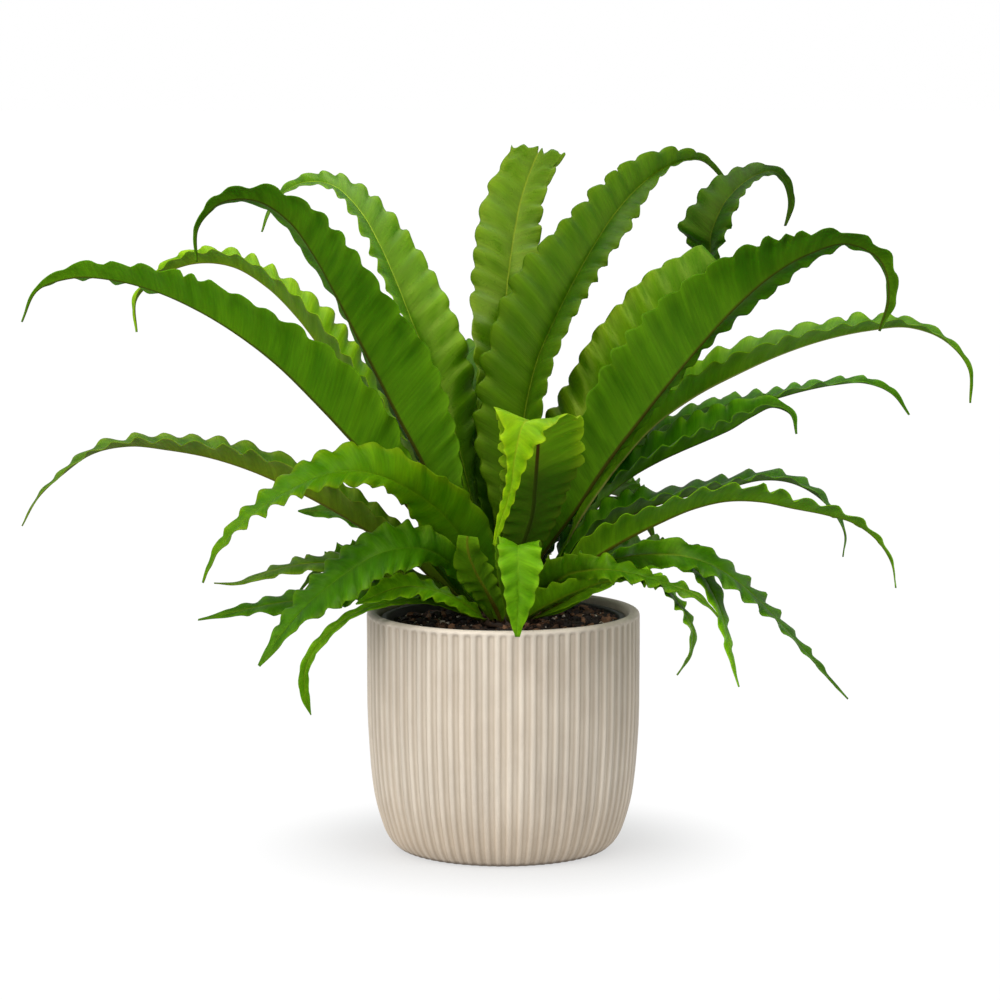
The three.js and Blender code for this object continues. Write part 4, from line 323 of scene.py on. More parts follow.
        (84.3, -23.6, 271.2, 56.4, -23.6, 292.9, 88.2, 5.1, 265.7),
        (103.5, -24.4, 295.8, 73.8, -24.4, 319.9, 107.7, 5.5, 290.3),
        (123.2, -14.2, 318, 95.3, -14.2, 342.2, 127.7, 16.3, 312.6),
        (143.1, -10.2, 339.4, 121.2, -10.2, 360.9, 149.8, 18.2, 331.9),
        (164, -12.1, 358.2, 149.4, -23.3, 377.7, 170.9, 12.2, 349.2),
        (187.1, -14.1, 372.3, 180.3, -29.8, 385.7, 191, 6.3, 365.7),
        (211.5, -16.2, 378.7, 210.6, -28.9, 386.8, 212.7, -1.8, 375.4),
        (231.2, -18, 368.4, 235.9, -23.5, 372.7, 230.7, -9.6, 366.8),
        (236.4, -18.4, 347, 241.5, -18.4, 346.4, 235.6, -14.9, 346.9),
        (230.7, -17.9, 325.4, 231.6, -17.9, 325.1, 230.5, -17, 325.4),
    ]},
    "frond_right_long": {"tone": "mid", "tint": {"rib_low": srgb(140, 146, 70), "rib_base": srgb(128, 122, 62)}, "ruffle": (1.9, 1.3), "pleat": 0.4, "lobe": 1.9, "shade": (1.05, 1.25), "a": [197, 218, 233, 252, 272, 284, 302, 314, 362], "st": [
        (15.1, -4, 152.4, 15.8, -2.6, 152.7, 14.4, -5.4, 152.7),
        (33.8, 2.3, 183.7, 39.9, 8.5, 179.3, 35.5, -0.8, 183.1),
        (52.7, 0.6, 214.8, 45.4, 8.4, 218.8, 49, -6.4, 218.2),
        (72.6, 12.7, 239.9, 61.5, 25.6, 247.8, 64.4, -4, 248.3),
        (94.6, 25.5, 262.4, 83, 40.9, 273.7, 86, 5.3, 273.1),
        (120, 29.6, 280.2, 111.5, 45.6, 294.6, 113.2, 8.4, 292.6),
        (146.4, 20.2, 295.3, 139.1, 36.9, 310.3, 140.2, -1.9, 307.6),
        (173, 16.9, 307.7, 168.7, 35.5, 319.6, 168.3, -5.2, 317.7),
        (200, 19.2, 316.6, 198.3, 36.7, 326, 196.8, -0.6, 324.4),
        (227, 21.6, 322.1, 226.7, 35.9, 330.1, 224.8, 5.3, 328.4),
        (253.4, 23.9, 323.9, 254.7, 34.3, 328.7, 252.4, 12.4, 327.6),
        (276.2, 25.9, 315.3, 278.5, 31.1, 317.1, 275.9, 19.7, 316.3),
        (291.2, 27.2, 297.4, 293.3, 28.2, 298.1, 291.1, 25.4, 297.6),
        (292.3, 27.3, 276.1, 292.9, 27.6, 276, 292.3, 26.7, 276.1),
    ]},
    "frond_right_slender": {"tone": "dark", "ruffle": (2.0, 1.4), "pleat": 0.5, "lobe": 1.3, "shade": (1.7, 1.85), "a": [181, 194, 223, 248, 266, 311], "st": [
        (15.6, 6.9, 152.4, 15.1, 8.3, 152.7, 16.1, 5.5, 152.7),
        (31.3, 19.8, 175.8, 37.4, 27.3, 170.4, 33.2, 15.3, 175.1),
        (47.9, 44.4, 198.5, 53.3, 51, 193.5, 50.4, 38.2, 197.4),
        (64.5, 52.9, 218.9, 57.9, 64.8, 223.3, 59.7, 39.3, 224.5),
        (82.8, 57.3, 235.8, 76, 73.6, 244, 77.6, 38.3, 244.4),
        (103.6, 56.8, 249.1, 98.1, 73.8, 258.6, 99, 37, 258.4),
        (125.4, 62.2, 258.7, 121, 79.6, 269.1, 121.4, 41.8, 268.2),
        (147.4, 67.9, 266.4, 145, 86, 274.4, 144.5, 47.8, 273.8),
        (169.3, 74, 272.5, 168.6, 91.3, 276.7, 167.3, 56, 277.2),
        (190.8, 81.7, 277.8, 190.7, 96, 280.9, 189.3, 66.9, 281.2),
        (212.2, 90.8, 281, 212.3, 100.5, 283.8, 211.2, 80.4, 283),
        (232.9, 99.6, 281.2, 233.7, 104.4, 284.4, 232.4, 93.5, 282),
        (250.7, 107.1, 273.6, 252.8, 108.6, 276, 250.5, 104.5, 274),
        (262.6, 112.2, 259.1, 263.1, 112.5, 259.4, 262.5, 111.5, 259.2),
    ]},
    "frond_right_short": {"tone": "dark", "ruffle": (2.2, 1.4), "pleat": 0.5, "lobe": 1.5, "shade": (2.1, 1.9), "st": [
        (16.5, 1.4, 152.4, 16.6, 2.8, 152.7, 16.4, -0.1, 152.7),
        (28.8, 8, 169.5, 37, 15.1, 163.4, 30.9, 2.9, 168.9),
        (40.7, 15.3, 187.6, 34.3, 26.8, 189.9, 38.3, 6.6, 190.2),
        (53.3, 28.6, 203.4, 49.2, 36.6, 205.7, 51.1, 19.3, 206.3),
        (66.3, 31.6, 217.6, 58.4, 50.3, 224.3, 62, 9.9, 224.4),
        (80.6, 25.9, 229.9, 74.2, 45.4, 238.3, 77.1, 3.2, 237.1),
        (96, 20.1, 239.6, 89.5, 38, 251.5, 92.5, -3, 247.7),
        (111.8, 18.7, 247.1, 105.4, 33, 261.8, 108.3, -3, 255.7),
        (127.6, 23.1, 253.2, 120.8, 31.6, 268.9, 124, 4.2, 261.5),
        (142.8, 29.8, 259.2, 135.4, 37.4, 273.4, 139.2, 14.5, 266.3),
        (156.5, 35.9, 266.7, 150.3, 41.5, 276.6, 153.7, 25.3, 271.3),
        (170.2, 41.6, 271.8, 169.5, 44.6, 278.1, 169.6, 35.1, 273.8),
        (181.4, 45.6, 266.7, 183.9, 46.9, 268.2, 181.4, 42.7, 267.1),
        (185, 47.1, 254.2, 185.7, 47.5, 254.3, 184.9, 46.4, 254.3),
    ]},
    "frond_right_mid_upper": {"tone": "dark", "ruffle": (2.0, 1.4), "pleat": 0.5, "lobe": 1.4, "shade": (1.5, 1.2), "a": [66, 93, 101, 148, 165, 183], "st": [
        (23.1, 5.9, 144.9, 22.9, 7.3, 145.2, 23.4, 4.5, 145.2),
        (33.7, 2.6, 167.4, 29.3, 5.1, 170.2, 31.5, -2.2, 169.6),
        (47.9, -1.9, 187.3, 42.2, 2.3, 193.9, 44.9, -10, 191.9),
        (65, 0.9, 201.5, 58.2, 7.4, 213, 61.4, -10.9, 208.9),
        (84.3, 9.8, 209.8, 79.3, 26.5, 220.1, 81.1, -10.6, 218.3),
        (104, 15.8, 216, 102.6, 36.8, 220.5, 102.1, -6.2, 222.2),
        (123.6, 18.9, 220.5, 123.3, 40.5, 225.2, 122, -3.6, 226.7),
        (142.9, 21.7, 224, 142.4, 42.4, 228, 141, 0.1, 229.5),
        (161.5, 24.3, 227.8, 161.9, 42.5, 231.3, 160, 5.3, 232.4),
        (179.6, 26.8, 226.2, 181.9, 41.7, 229.2, 179, 11.2, 229.9),
        (195.6, 29.1, 218.4, 198.3, 39.4, 220, 195.2, 18.2, 220.4),
        (207.8, 30.8, 206.5, 209.9, 36.8, 206.9, 207.4, 24.4, 207.4),
        (215.2, 31.8, 192.4, 216.3, 34.5, 192.2, 215, 29.1, 192.8),
        (214.2, 31.7, 178, 213.7, 32, 178.1, 214.2, 31, 178.1),
    ]},
    "frond_right_mid_lower": {"tone": "mid", "ruffle": (1.9, 1.4), "pleat": 0.5, "lobe": 1.4, "shade": (1.4, 1.5), "a": [66, 81, 95, 164], "st": [
        (23.4, 0.3, 144.9, 23.2, -1.9, 145.4, 23.6, 2.5, 145.4),
        (38.8, -5.1, 166, 34, -8.5, 172.4, 35.1, -0.4, 169.9),
        (56.7, -12.6, 183.6, 49.6, -19, 196.9, 51.5, -5.9, 192.1),
        (76.5, -18.2, 196.7, 70.2, -28, 209.8, 72.4, -5.2, 203.8),
        (96.8, -23.1, 207.7, 91.8, -39.7, 219.4, 94.3, -5.1, 212.2),
        (117, -28.6, 217, 113.3, -46.9, 227.8, 115.8, -9.2, 220.5),
        (137.6, -34.1, 222.4, 135.6, -52.8, 233.8, 138, -14.2, 226.2),
        (157.9, -39.5, 222.6, 158, -57.3, 233.6, 159.8, -20.2, 224.9),
        (177.3, -44.7, 219.2, 177.4, -60.9, 227.8, 178.9, -27.3, 218.8),
        (196, -49.7, 216.1, 196, -62.9, 223.2, 197.1, -35.4, 214.4),
        (213.4, -54.4, 211.4, 214.1, -63.5, 216.1, 214.2, -44.4, 209.9),
        (227.2, -58.1, 201.6, 228.3, -63.4, 203.9, 227.7, -52.3, 200.7),
        (236.1, -60.5, 187.8, 236.8, -62.8, 188.5, 236.3, -57.9, 187.4),
        (239, -61.2, 172.4, 238.4, -61.6, 172.5, 239.1, -60.6, 172.4),
    ]},
    "frond_right_drooping": {"tone": "deep", "ruffle": (2.3, 2.3), "lobe": 1.6, "grow": (0.04, 0.22), "shade": (0.9, 0.9), "a": [116, 138, 164], "st": [
        (22.2, -5.1, 144.9, 21.5, -7.1, 145.4, 23, -3.2, 145.4),
        (37.2, -13.4, 162.6, 35.3, -19.4, 165.7, 39.1, -7.4, 159.4),
        (53.2, -26.4, 178, 51.3, -34.6, 182.8, 55.1, -18.2, 173.2),
        (71.2, -46.5, 189, 69.8, -57.1, 195.5, 72.6, -35.9, 182.4),
        (90.6, -61.4, 193.4, 90.3, -66.8, 202.9, 90.9, -55.8, 184.6),
        (109.6, -72, 193.2, 111.7, -61.4, 201.2, 107.8, -83.4, 187.5),
        (127, -78.8, 188.4, 131.3, -61.5, 192.6, 123.2, -96.5, 185.1),
        (142.3, -79.7, 178.4, 146.1, -62.3, 179.4, 137.5, -96.5, 176.1),
        (155.5, -81.2, 166.7, 158.5, -65.6, 166.4, 151.6, -96.4, 166.1),
        (166.9, -85.2, 154.6, 169.8, -72.5, 154.3, 164.6, -97.9, 155.4),
        (177.4, -90.7, 143, 179.9, -82.1, 143.3, 175.9, -99.7, 143.7),
        (187.6, -96.2, 132, 189.8, -91.5, 132.8, 186.8, -101.4, 132.6),
        (197.2, -101.2, 121.4, 198.1, -99.2, 121.8, 196.8, -103.5, 121.7),
        (206.7, -106.3, 112, 206.9, -105.8, 112.1, 206.6, -106.9, 112.1),
    ]},
    "frond_front_right_pale": {"tone": "mid", "ruffle": (2.8, 2.8), "lobe": 2.0, "wave": 14, "grow": (0.02, 0.12), "shade": (0.78, 0.9), "a": [43, 57, 71, 91, 125], "st": [
        (15.7, -14.1, 144.9, 14, -15.4, 145.4, 17.4, -12.7, 145.4),
        (22.2, -20.6, 157.3, 14.2, -24.8, 163.3, 25.3, -15.1, 154.3),
        (29.5, -29.3, 169, 20.8, -35.1, 180, 33.6, -20.4, 163.1),
        (39.5, -43.1, 177.8, 35.1, -43.1, 190, 41.6, -33.3, 170.7),
        (50.3, -61, 183.2, 49.2, -63.9, 194.1, 51, -56.7, 177.3),
        (61.1, -75, 185.7, 62, -63.9, 192.4, 60.4, -86.7, 181.1),
        (71.6, -85.9, 186, 72.9, -67.8, 188.5, 70.3, -103.9, 183.3),
        (81.5, -96.2, 185.3, 83.1, -78.7, 186.7, 79.8, -113.6, 183.7),
        (90.8, -105.5, 183.7, 92.2, -89.9, 183.7, 89.1, -121, 182.7),
        (99.7, -114.2, 182, 100.9, -101.4, 182.1, 98.2, -126.7, 180.6),
        (108.3, -121.5, 180.1, 109.5, -112.8, 181.1, 106.5, -129.5, 177.6),
        (116, -125.4, 176.8, 117.1, -120.4, 177.3, 114.5, -130.1, 175.6),
        (122.2, -128.4, 171.7, 122.8, -126.2, 171.8, 121.4, -130.4, 171.3),
        (127.1, -130.5, 165.7, 127.3, -130, 165.7, 126.9, -131.1, 165.6),
    ]},
    "frond_right_hanging": {"tone": "mid", "ruffle": (2.0, 2.0), "shade": (1.9, 1.7), "a": [143, 160], "b": [134], "st": [
        (19.6, -10.1, 144.9, 18.3, -11.8, 145.4, 20.9, -8.3, 145.4),
        (34.8, -21.1, 155.9, 36.1, -25.2, 153.7, 36.9, -19.1, 151.2),
        (50.4, -31.4, 167.2, 52.1, -38.4, 163.3, 52.2, -24.1, 161.7),
        (65.8, -34.5, 175.9, 67.2, -40.8, 172.3, 66.9, -27.1, 172),
        (80.4, -36.6, 181.4, 78.6, -40.7, 187.9, 81.6, -32.2, 177.3),
        (94.6, -45.9, 185.8, 94.2, -37.7, 190.9, 94.7, -54.8, 183.7),
        (108.4, -55.4, 186.5, 110.4, -43, 191.1, 107, -68.9, 185.6),
        (119.5, -65.4, 181.4, 124.5, -53.7, 184, 116.4, -78.2, 180.8),
        (126.3, -76, 171.8, 132, -66, 172.9, 122.3, -87.1, 171.9),
        (131, -84.6, 161.1, 134.6, -75.7, 160.9, 127.7, -93.7, 161.5),
        (134.2, -91.3, 150.2, 136.4, -85, 149.6, 131.1, -97.3, 150.5),
        (136.5, -95, 139, 138.1, -91.4, 138.7, 134, -98, 139),
        (139, -96.8, 128.1, 139.7, -95.2, 128, 137.9, -98.1, 128.1),
        (141.7, -98.8, 118, 141.9, -98.4, 118, 141.4, -99.1, 118),
    ]},
    "frond_front_right_hanging": {"tone": "mid", "ruffle": (2.4, 2.4), "lobe": 1.5, "wave": 12, "grow": (0.02, 0.12), "shade": (1.1, 1.1), "a": [40, 51, 121, 171], "st": [
        (10.9, -16.9, 144.9, 8.9, -17.8, 145.4, 12.9, -16.1, 145.4),
        (23.8, -31.5, 155.3, 16.9, -31.5, 165.1, 24.7, -26.2, 153.2),
        (38.1, -42, 164.4, 32.8, -41.9, 172.8, 39.3, -35.2, 161.7),
        (52.2, -46.7, 171, 49.7, -50.4, 178.2, 52.7, -38.7, 169.1),
        (64.4, -59.8, 176.7, 62.7, -64, 184.3, 64.8, -54.9, 174.6),
        (76.1, -74.6, 180.7, 76, -65.6, 185.2, 76, -84.3, 179.5),
        (87.3, -88.9, 181.9, 89.1, -75.2, 185.2, 86.2, -103.3, 181.4),
        (96.7, -101.1, 178.6, 99.6, -87.8, 179.4, 94.8, -114.9, 179.1),
        (103.7, -111, 171.9, 106.1, -99.2, 171.5, 101.3, -122.9, 172.4),
        (108.9, -122.2, 164.6, 111.2, -112.7, 164.1, 106.6, -131.8, 165.1),
        (111.9, -129.9, 156.3, 114.2, -123.5, 155.6, 110.2, -136.5, 157.2),
        (111.2, -132.5, 147.2, 113.1, -129.2, 146.2, 110.2, -136.1, 148),
        (107.8, -131.4, 138.4, 108.4, -130.1, 137.8, 107.4, -132.7, 138.8),
        (103.2, -126.3, 130.1, 103.4, -125.9, 129.9, 103.1, -126.7, 130.2),
    ]},
    "frond_front_left_arching": {"tone": "bright", "ruffle": (2.3, 2.1), "pleat": 0.5, "rib": (0.05, 0.6), "grow": (0.05, 0.25), "shade": (0.52, 0.57), "base": (0.13, 0.29, 0.72, srgb(42, 78, 8)), "gloss": 0.1, "tint": {'upper_light': (0.172, 0.385, 0.0015, 1), 'upper_dark': (0.063, 0.222, 0.0005, 1)}, "a": [135, 168, 195, 225], "b": [54, 74, 79, 121, 227], "st": [
        (-7.6, -6.3, 152.4, -9, -4.6, 152.9, -6.3, -8.1, 152.9),
        (-15.4, -12.4, 175.5, -23.8, -12.4, 171.8, -3.6, -12.4, 180.7),
        (-25.4, -20.2, 197.2, -40.9, -20.2, 186.9, -9.4, -20.2, 207.9),
        (-39, -30.8, 215.5, -50.6, -21.1, 201.6, -26, -34.3, 230.2),
        (-55.5, -43.7, 229.8, -60.9, -36.3, 220.2, -46.9, -49.6, 244.6),
        (-73.4, -57.7, 240.2, -75.2, -73.4, 235.6, -67.5, -47, 256.4),
        (-91.8, -72.1, 245.6, -91, -95.2, 239.5, -92.4, -53.4, 259.8),
        (-109.5, -85.9, 244, -106.1, -108.3, 239.5, -114.5, -66, 253.7),
        (-125.6, -98.5, 238.2, -122.1, -118.5, 236, -131, -80.1, 244.6),
        (-140.1, -109.8, 230.7, -137.1, -126.4, 229.7, -144.7, -94.2, 234.5),
        (-153, -119.9, 222.1, -150.6, -131.6, 221.7, -157, -109.1, 224.6),
        (-163.6, -128.2, 211.6, -162, -135.4, 211.7, -167.2, -122, 213.4),
        (-171.9, -134.7, 200, -171.1, -137.9, 200.1, -173.7, -131.9, 200.5),
        (-177.1, -138.7, 187.3, -176.9, -139.7, 187.4, -177.7, -137.9, 187.4),
    ]},
    "frond_left_low": {"tone": "olive", "ruffle": (1.8, 2.0), "wave": 17, "pleat": 0.4, "shade": (1.07, 1.14), "base": (0.28, 0.42, 0.45, srgb(24, 50, 4)), "b": [152, 176, 193, 208, 223, 240, 258], "st": [
        (-16.7, 7.7, 144.9, -17.2, 5.9, 145.3, -16.2, 9.5, 145.3),
        (-38.9, 3.9, 163.8, -36.2, -1.9, 168.2, -35.3, 7.8, 168.2),
        (-58.9, -1.3, 183.5, -54.7, -11.2, 191, -53.4, 5.2, 191.3),
        (-83.6, -4.1, 199.5, -77.3, -18.1, 211, -75.3, 3.6, 212.4),
        (-108.1, -5.8, 214.6, -101.6, -23.6, 227.4, -100, 6.6, 228.4),
        (-132.7, -7.5, 227.7, -126.9, -26.7, 240.4, -126.1, 7.1, 241.3),
        (-157.4, -9.2, 238.7, -152.8, -29.8, 250.4, -153.2, 7.9, 250.9),
        (-182.3, -11, 246.7, -179.1, -31.5, 256, -180.6, 7.3, 256.1),
        (-207, -12.7, 251.4, -204.8, -31.2, 258.5, -207.1, 4.3, 258.2),
        (-231.1, -14.4, 253.9, -229.7, -29.8, 258.6, -232.3, 0.2, 258),
        (-253.3, -15.9, 249.4, -252.6, -26.8, 251.5, -255.9, -5.7, 251.5),
        (-271.7, -17.2, 236.8, -271.1, -23.6, 237.6, -273.7, -11.2, 237.7),
        (-287.2, -18.3, 222.1, -286.9, -21.1, 222.4, -288.2, -15.7, 222.3),
        (-297.2, -19, 204.7, -297.1, -19.7, 204.8, -297.4, -18.3, 204.7),
    ]},
    "frond_left_small": {"tone": "dark", "shade": (1.5, 1.5), "b": [118], "st": [
        (-14.4, 12.8, 144.9, -15.5, 11, 145.4, -13.3, 14.5, 145.4),
        (-26.8, 15.5, 154.8, -24.2, 10, 159, -23.9, 20.4, 158),
        (-39.1, 17.7, 165.6, -40.5, 7.1, 164.9, -35.1, 25.5, 170.9),
        (-51.6, 19.2, 175.8, -53.2, 6.1, 174.8, -49.1, 31.6, 178.4),
        (-63.8, 20.6, 184.8, -65.4, 6.1, 183.6, -61.1, 34.5, 187.8),
        (-75.3, 23, 192, -76.8, 8.5, 190.8, -72.7, 36.8, 195.1),
        (-86.3, 25.9, 198.2, -87.8, 13.2, 196.8, -84.1, 38.1, 200.9),
        (-96.9, 28.8, 204, -98.3, 18.4, 202, -95.2, 38.8, 206.8),
        (-108, 31.8, 207, -108.4, 25.1, 204.1, -107.6, 38.1, 210.3),
        (-119, 34.7, 207, -118.9, 34.7, 203.1, -119.3, 37.5, 209.2),
        (-129.4, 37.5, 206.5, -129.4, 37.5, 206, -129.4, 37.8, 206.7),
    ]},
    "frond_front_left_broad": {"tone": "bright2", "ruffle": (2.3, 2.3), "pleat": 0.5, "rib": (0.12, 0.6), "grow": (0.04, 0.2), "shade": (0.64, 0.66), "a": [74, 95, 134], "b": [100, 172], "st": [
        (-6.5, -16.1, 144.9, -7.8, -15.5, 145.2, -5.3, -16.8, 145.2),
        (-16.3, -19.8, 161.4, -19, -15, 159, -12.4, -23.2, 164.3),
        (-27.5, -20.9, 177.2, -31.5, -12.8, 172.3, -21.9, -26.8, 183.3),
        (-41.7, -30.8, 189.6, -44.4, -30.2, 183.1, -37, -31.2, 200.9),
        (-56.9, -48.7, 195.1, -56.6, -66.5, 184.2, -57.1, -31.9, 207.8),
        (-71.5, -64.5, 195.1, -67, -83.3, 184.6, -76.5, -47.3, 207.9),
        (-84.5, -76.7, 190.6, -77.1, -96.2, 181.6, -91.7, -56.9, 199.3),
        (-96.1, -87.2, 184.2, -86.6, -104.1, 174.3, -103.5, -67.6, 190.7),
        (-106.7, -96.8, 177.2, -97.6, -111.4, 168.7, -113.6, -79.4, 182.3),
        (-116.4, -105.5, 169.7, -109.2, -118.8, 164.9, -123.1, -91.7, 173.9),
        (-124.7, -113, 161.4, -120.1, -123.2, 159.6, -130.6, -103.8, 164.5),
        (-132.1, -119.6, 152.8, -128.8, -125.9, 151.5, -136.6, -114.8, 155.5),
        (-139, -125.8, 144.6, -136.5, -127.5, 143.1, -141.1, -123.6, 145.8),
        (-144.9, -131.2, 136.4, -144.2, -131.7, 136, -145.6, -130.5, 136.7),
    ]},
    "frond_left_pointed": {"tone": "deep", "ruffle": (2.0, 2.0), "shade": (0.92, 0.92), "st": [
        (-16.8, -3.4, 144.9, -16.3, -5.3, 145.3, -17.3, -1.5, 145.3),
        (-31.6, -9.7, 152, -30.7, -14.4, 155.3, -30.6, -5.5, 154.4),
        (-45.4, -17.6, 158.5, -44.4, -25.4, 164.2, -44.6, -9.8, 161.9),
        (-59.1, -21.9, 163.1, -59.6, -32, 159.4, -58.7, -12.2, 167.4),
        (-73.6, -20, 164.4, -73.6, -32.2, 159.8, -73.6, -8.2, 169.7),
        (-88.2, -26.9, 165.4, -87.2, -41.5, 159.9, -89.2, -12.7, 171.7),
        (-102.2, -34.1, 165.1, -100.7, -49, 159.6, -103.8, -19.2, 170.7),
        (-115.6, -40.4, 163.7, -113.4, -53.8, 157, -117.6, -25.8, 168.1),
        (-128.6, -45.8, 162, -126.7, -57, 155.2, -130.2, -32.9, 165.9),
        (-141.2, -50.5, 160.7, -139.6, -60.2, 156, -142.5, -39.9, 163.7),
        (-153.1, -54.8, 158.9, -152, -62.1, 156.7, -154.3, -47.6, 161.2),
        (-164.5, -59, 156.9, -163.7, -62.9, 155, -165.4, -55.4, 159.4),
        (-175.3, -62.9, 155.1, -175, -64.6, 154.3, -175.7, -61.4, 156.2),
        (-185.6, -66.6, 153.6, -185.5, -67, 153.4, -185.6, -66.2, 153.9),
    ]},
    "frond_left_wavy": {"tone": "olive", "ruffle": (2.0, 2.0), "shade": (0.9, 0.9), "a": [127], "b": [113, 119, 133], "st": [
        (-17.5, 2.1, 144.9, -17.5, 0.3, 145.3, -17.5, 4, 145.3),
        (-30.6, -0.4, 154.5, -29.7, -4.4, 156.7, -29.1, 2.8, 156.7),
        (-43.6, -4.9, 163.7, -44.6, -11.6, 161.8, -42, 0.5, 167.9),
        (-56.9, -2.8, 170.7, -57.9, -11.3, 168.1, -55.9, 5.4, 173.8),
        (-70.5, -4.4, 175.7, -71.1, -14.8, 172.4, -69.8, 5.8, 179.7),
        (-84.3, -6.8, 178.5, -84.5, -19.1, 174.6, -84, 5.1, 183.3),
        (-98, -9.5, 179.8, -97.8, -22.4, 176.4, -98.1, 2.7, 184.8),
        (-111.2, -11.8, 180.3, -110.6, -24.2, 177.4, -111.8, 0.1, 184.3),
        (-124, -13.6, 180, -123, -24.1, 176.4, -124.9, -2.6, 182.4),
        (-136.2, -15.1, 178, -134.6, -23.4, 174.8, -137.1, -5.7, 178.5),
        (-147.5, -16.5, 174.5, -146, -22.3, 172.4, -148.5, -10.1, 175.4),
        (-158.2, -17.8, 170.7, -157.4, -21.2, 169.4, -158.8, -14.1, 171.2),
        (-168.7, -19.1, 168.6, -168.6, -20.6, 168, -168.9, -17.5, 168.9),
        (-178.8, -20.3, 169.3, -178.8, -20.7, 169.5, -178.8, -19.9, 169.4),
    ]},
    "frond_left_hanging": {"tone": "mid", "ruffle": (1.3, 1.3), "lobe": 1.3, "wave": 12, "grow": (0.04, 0.2), "shade": (1.3, 1.3), "a": [146], "b": [156], "st": [
        (-14.6, -8.5, 144.9, -13.5, -10.4, 145.4, -15.7, -6.7, 145.4),
        (-27.5, -15.1, 151.5, -28, -16.3, 150.4, -27.1, -13.9, 152.7),
        (-39.6, -22.2, 156.6, -39.9, -24.6, 155.7, -39.3, -19.9, 157.6),
        (-51.7, -30.4, 159.5, -51.8, -33.3, 158.4, -51.6, -27.5, 160.8),
        (-64.2, -38.3, 160.4, -64, -41.8, 159.1, -64.4, -34.9, 162),
        (-76.9, -44.3, 159.2, -76.3, -48.1, 157.8, -77.6, -40.6, 160.8),
        (-89, -48.4, 155.8, -88, -52.9, 154.6, -90.2, -44.2, 157.6),
        (-99.4, -51.8, 149.8, -97.8, -55.9, 148.6, -101.3, -48, 151.4),
        (-108.2, -55.1, 142.1, -106.1, -58.2, 140.6, -110.5, -52.3, 143.8),
        (-115.5, -58.4, 133.6, -113.1, -60.4, 132.4, -118.2, -57, 135.2),
        (-120.4, -60.9, 124, -117.9, -60.9, 123.3, -123.6, -60.9, 125),
        (-121.5, -61.4, 113.6, -118.8, -61.4, 113.7, -124.9, -61.4, 113.4),
        (-120.3, -60.8, 103.2, -118, -60.8, 103.8, -122.8, -60.8, 102.6),
        (-117.5, -59.4, 93.6, -117.4, -59.4, 93.7, -117.7, -59.4, 93.6),
    ]},
    "frond_front_folded": {"tone": "bright", "ruffle": (1.9, 1.9), "pleat": 0.5, "lobe": 1.9, "wave": 9, "brown": (0.45, 0.9), "rib": (0.4, 1.0), "shade": (0.98, 1.7), "base": (0.38, 0.52, 0.85, srgb(24, 50, 4)), "st": [
        (2.5, -5, 159.4, 0.5, -4.9, 159.9, 4.6, -5.1, 159.9),
        (6.5, -13.5, 178.5, 0.1, -10.7, 176.9, 13.6, -10.7, 178.1),
        (12.6, -24.1, 195.6, -0, -18.3, 191.7, 25.9, -17.3, 194.6),
        (17.6, -34.1, 213.6, -0.2, -26.1, 208.2, 34.9, -25.1, 214.3),
        (19.4, -43, 232.1, -0.8, -34, 226.6, 41, -32, 231.9),
        (20.5, -50, 248.3, -0.8, -41, 244.8, 48.1, -39, 248.8),
        (21.1, -56, 261.3, -1.4, -48, 259.1, 47.4, -46, 262.6),
        (20.4, -62, 270.5, -2, -56, 269.8, 48.4, -54, 272.1),
        (16.7, -70, 275.7, -3.8, -67, 279.6, 42.7, -65, 278.2),
        (12.4, -77, 275.3, -4.4, -77, 284.3, 29.3, -76, 274.5),
        (10, -81, 269.7, -0.8, -83, 271.7, 25, -83, 268.1),
        (8.2, -83, 262, -0.2, -85, 262.3, 19, -85, 260.5),
        (6.4, -84, 252.5, 2.2, -85, 253.2, 14.2, -85, 252),
        (5.2, -84.5, 241.6, 1.6, -85.5, 241.8, 10, -85.5, 241.2),
        (2.8, -84, 229.5, -0.8, -84, 230.1, 5.8, -84, 228.2),
        (-1.4, -83, 217.2, -3.8, -83, 217.8, 1, -83, 216),
        (-5.6, -82, 201.8, -6.2, -82, 202.4, -4.7, -82, 201.2),
    ]},
    "frond_front_overhanging": {"tone": "green", "ruffle": (2.1, 2.1), "wave": 10, "pleat": 0.9, "lobe": 1.4, "grow": (0.3, 0.45), "shade": (0.64, 0.82), "st": [
        (4.3, -18.5, 144.9, 2.1, -18.6, 145.4, 6.5, -18.3, 145.4),
        (4.8, -34.3, 164.9, -1.3, -33.3, 164.1, 11.6, -33.3, 164.1),
        (6.2, -51.1, 179.7, -3.5, -49.1, 178.2, 17.2, -49.1, 178.2),
        (7.7, -66, 191, -4.4, -64, 190.1, 21.1, -64, 190.1),
        (8.2, -80, 199.1, -3.8, -79, 200.2, 22.1, -79, 199),
        (8.8, -90, 202.4, -3.2, -90, 206.6, 22, -90, 203.6),
        (8.8, -97, 199.1, -3.2, -98, 201.7, 22.6, -98, 199.9),
        (8.8, -100, 191.1, -2.6, -102, 192, 23.1, -102, 192),
        (8.8, -101.5, 182.2, -0.2, -104.5, 182.7, 20.7, -104.5, 182.7),
        (8.8, -102, 173.2, 1, -105, 173.7, 18.9, -105, 173.7),
        (8.8, -102.5, 164.8, 2.2, -104.5, 165.2, 15.9, -104.5, 165.2),
        (8.2, -102.5, 156.9, 4.6, -103.5, 157.1, 12.4, -103.5, 157.1),
        (8.2, -103, 149.2, 7, -103, 149.4, 9.7, -103, 149.2),
    ]},
    "frond_front_small": {"tone": "mid", "ruffle": (1.9, 1.9), "lobe": 1.7, "wave": 10, "grow": (0.04, 0.2), "shade": (0.85, 1.0), "a": [38, 58], "b": [68], "st": [
        (-1.3, -18, 144.9, -2.7, -17.7, 145.2, 0.1, -18.3, 145.2),
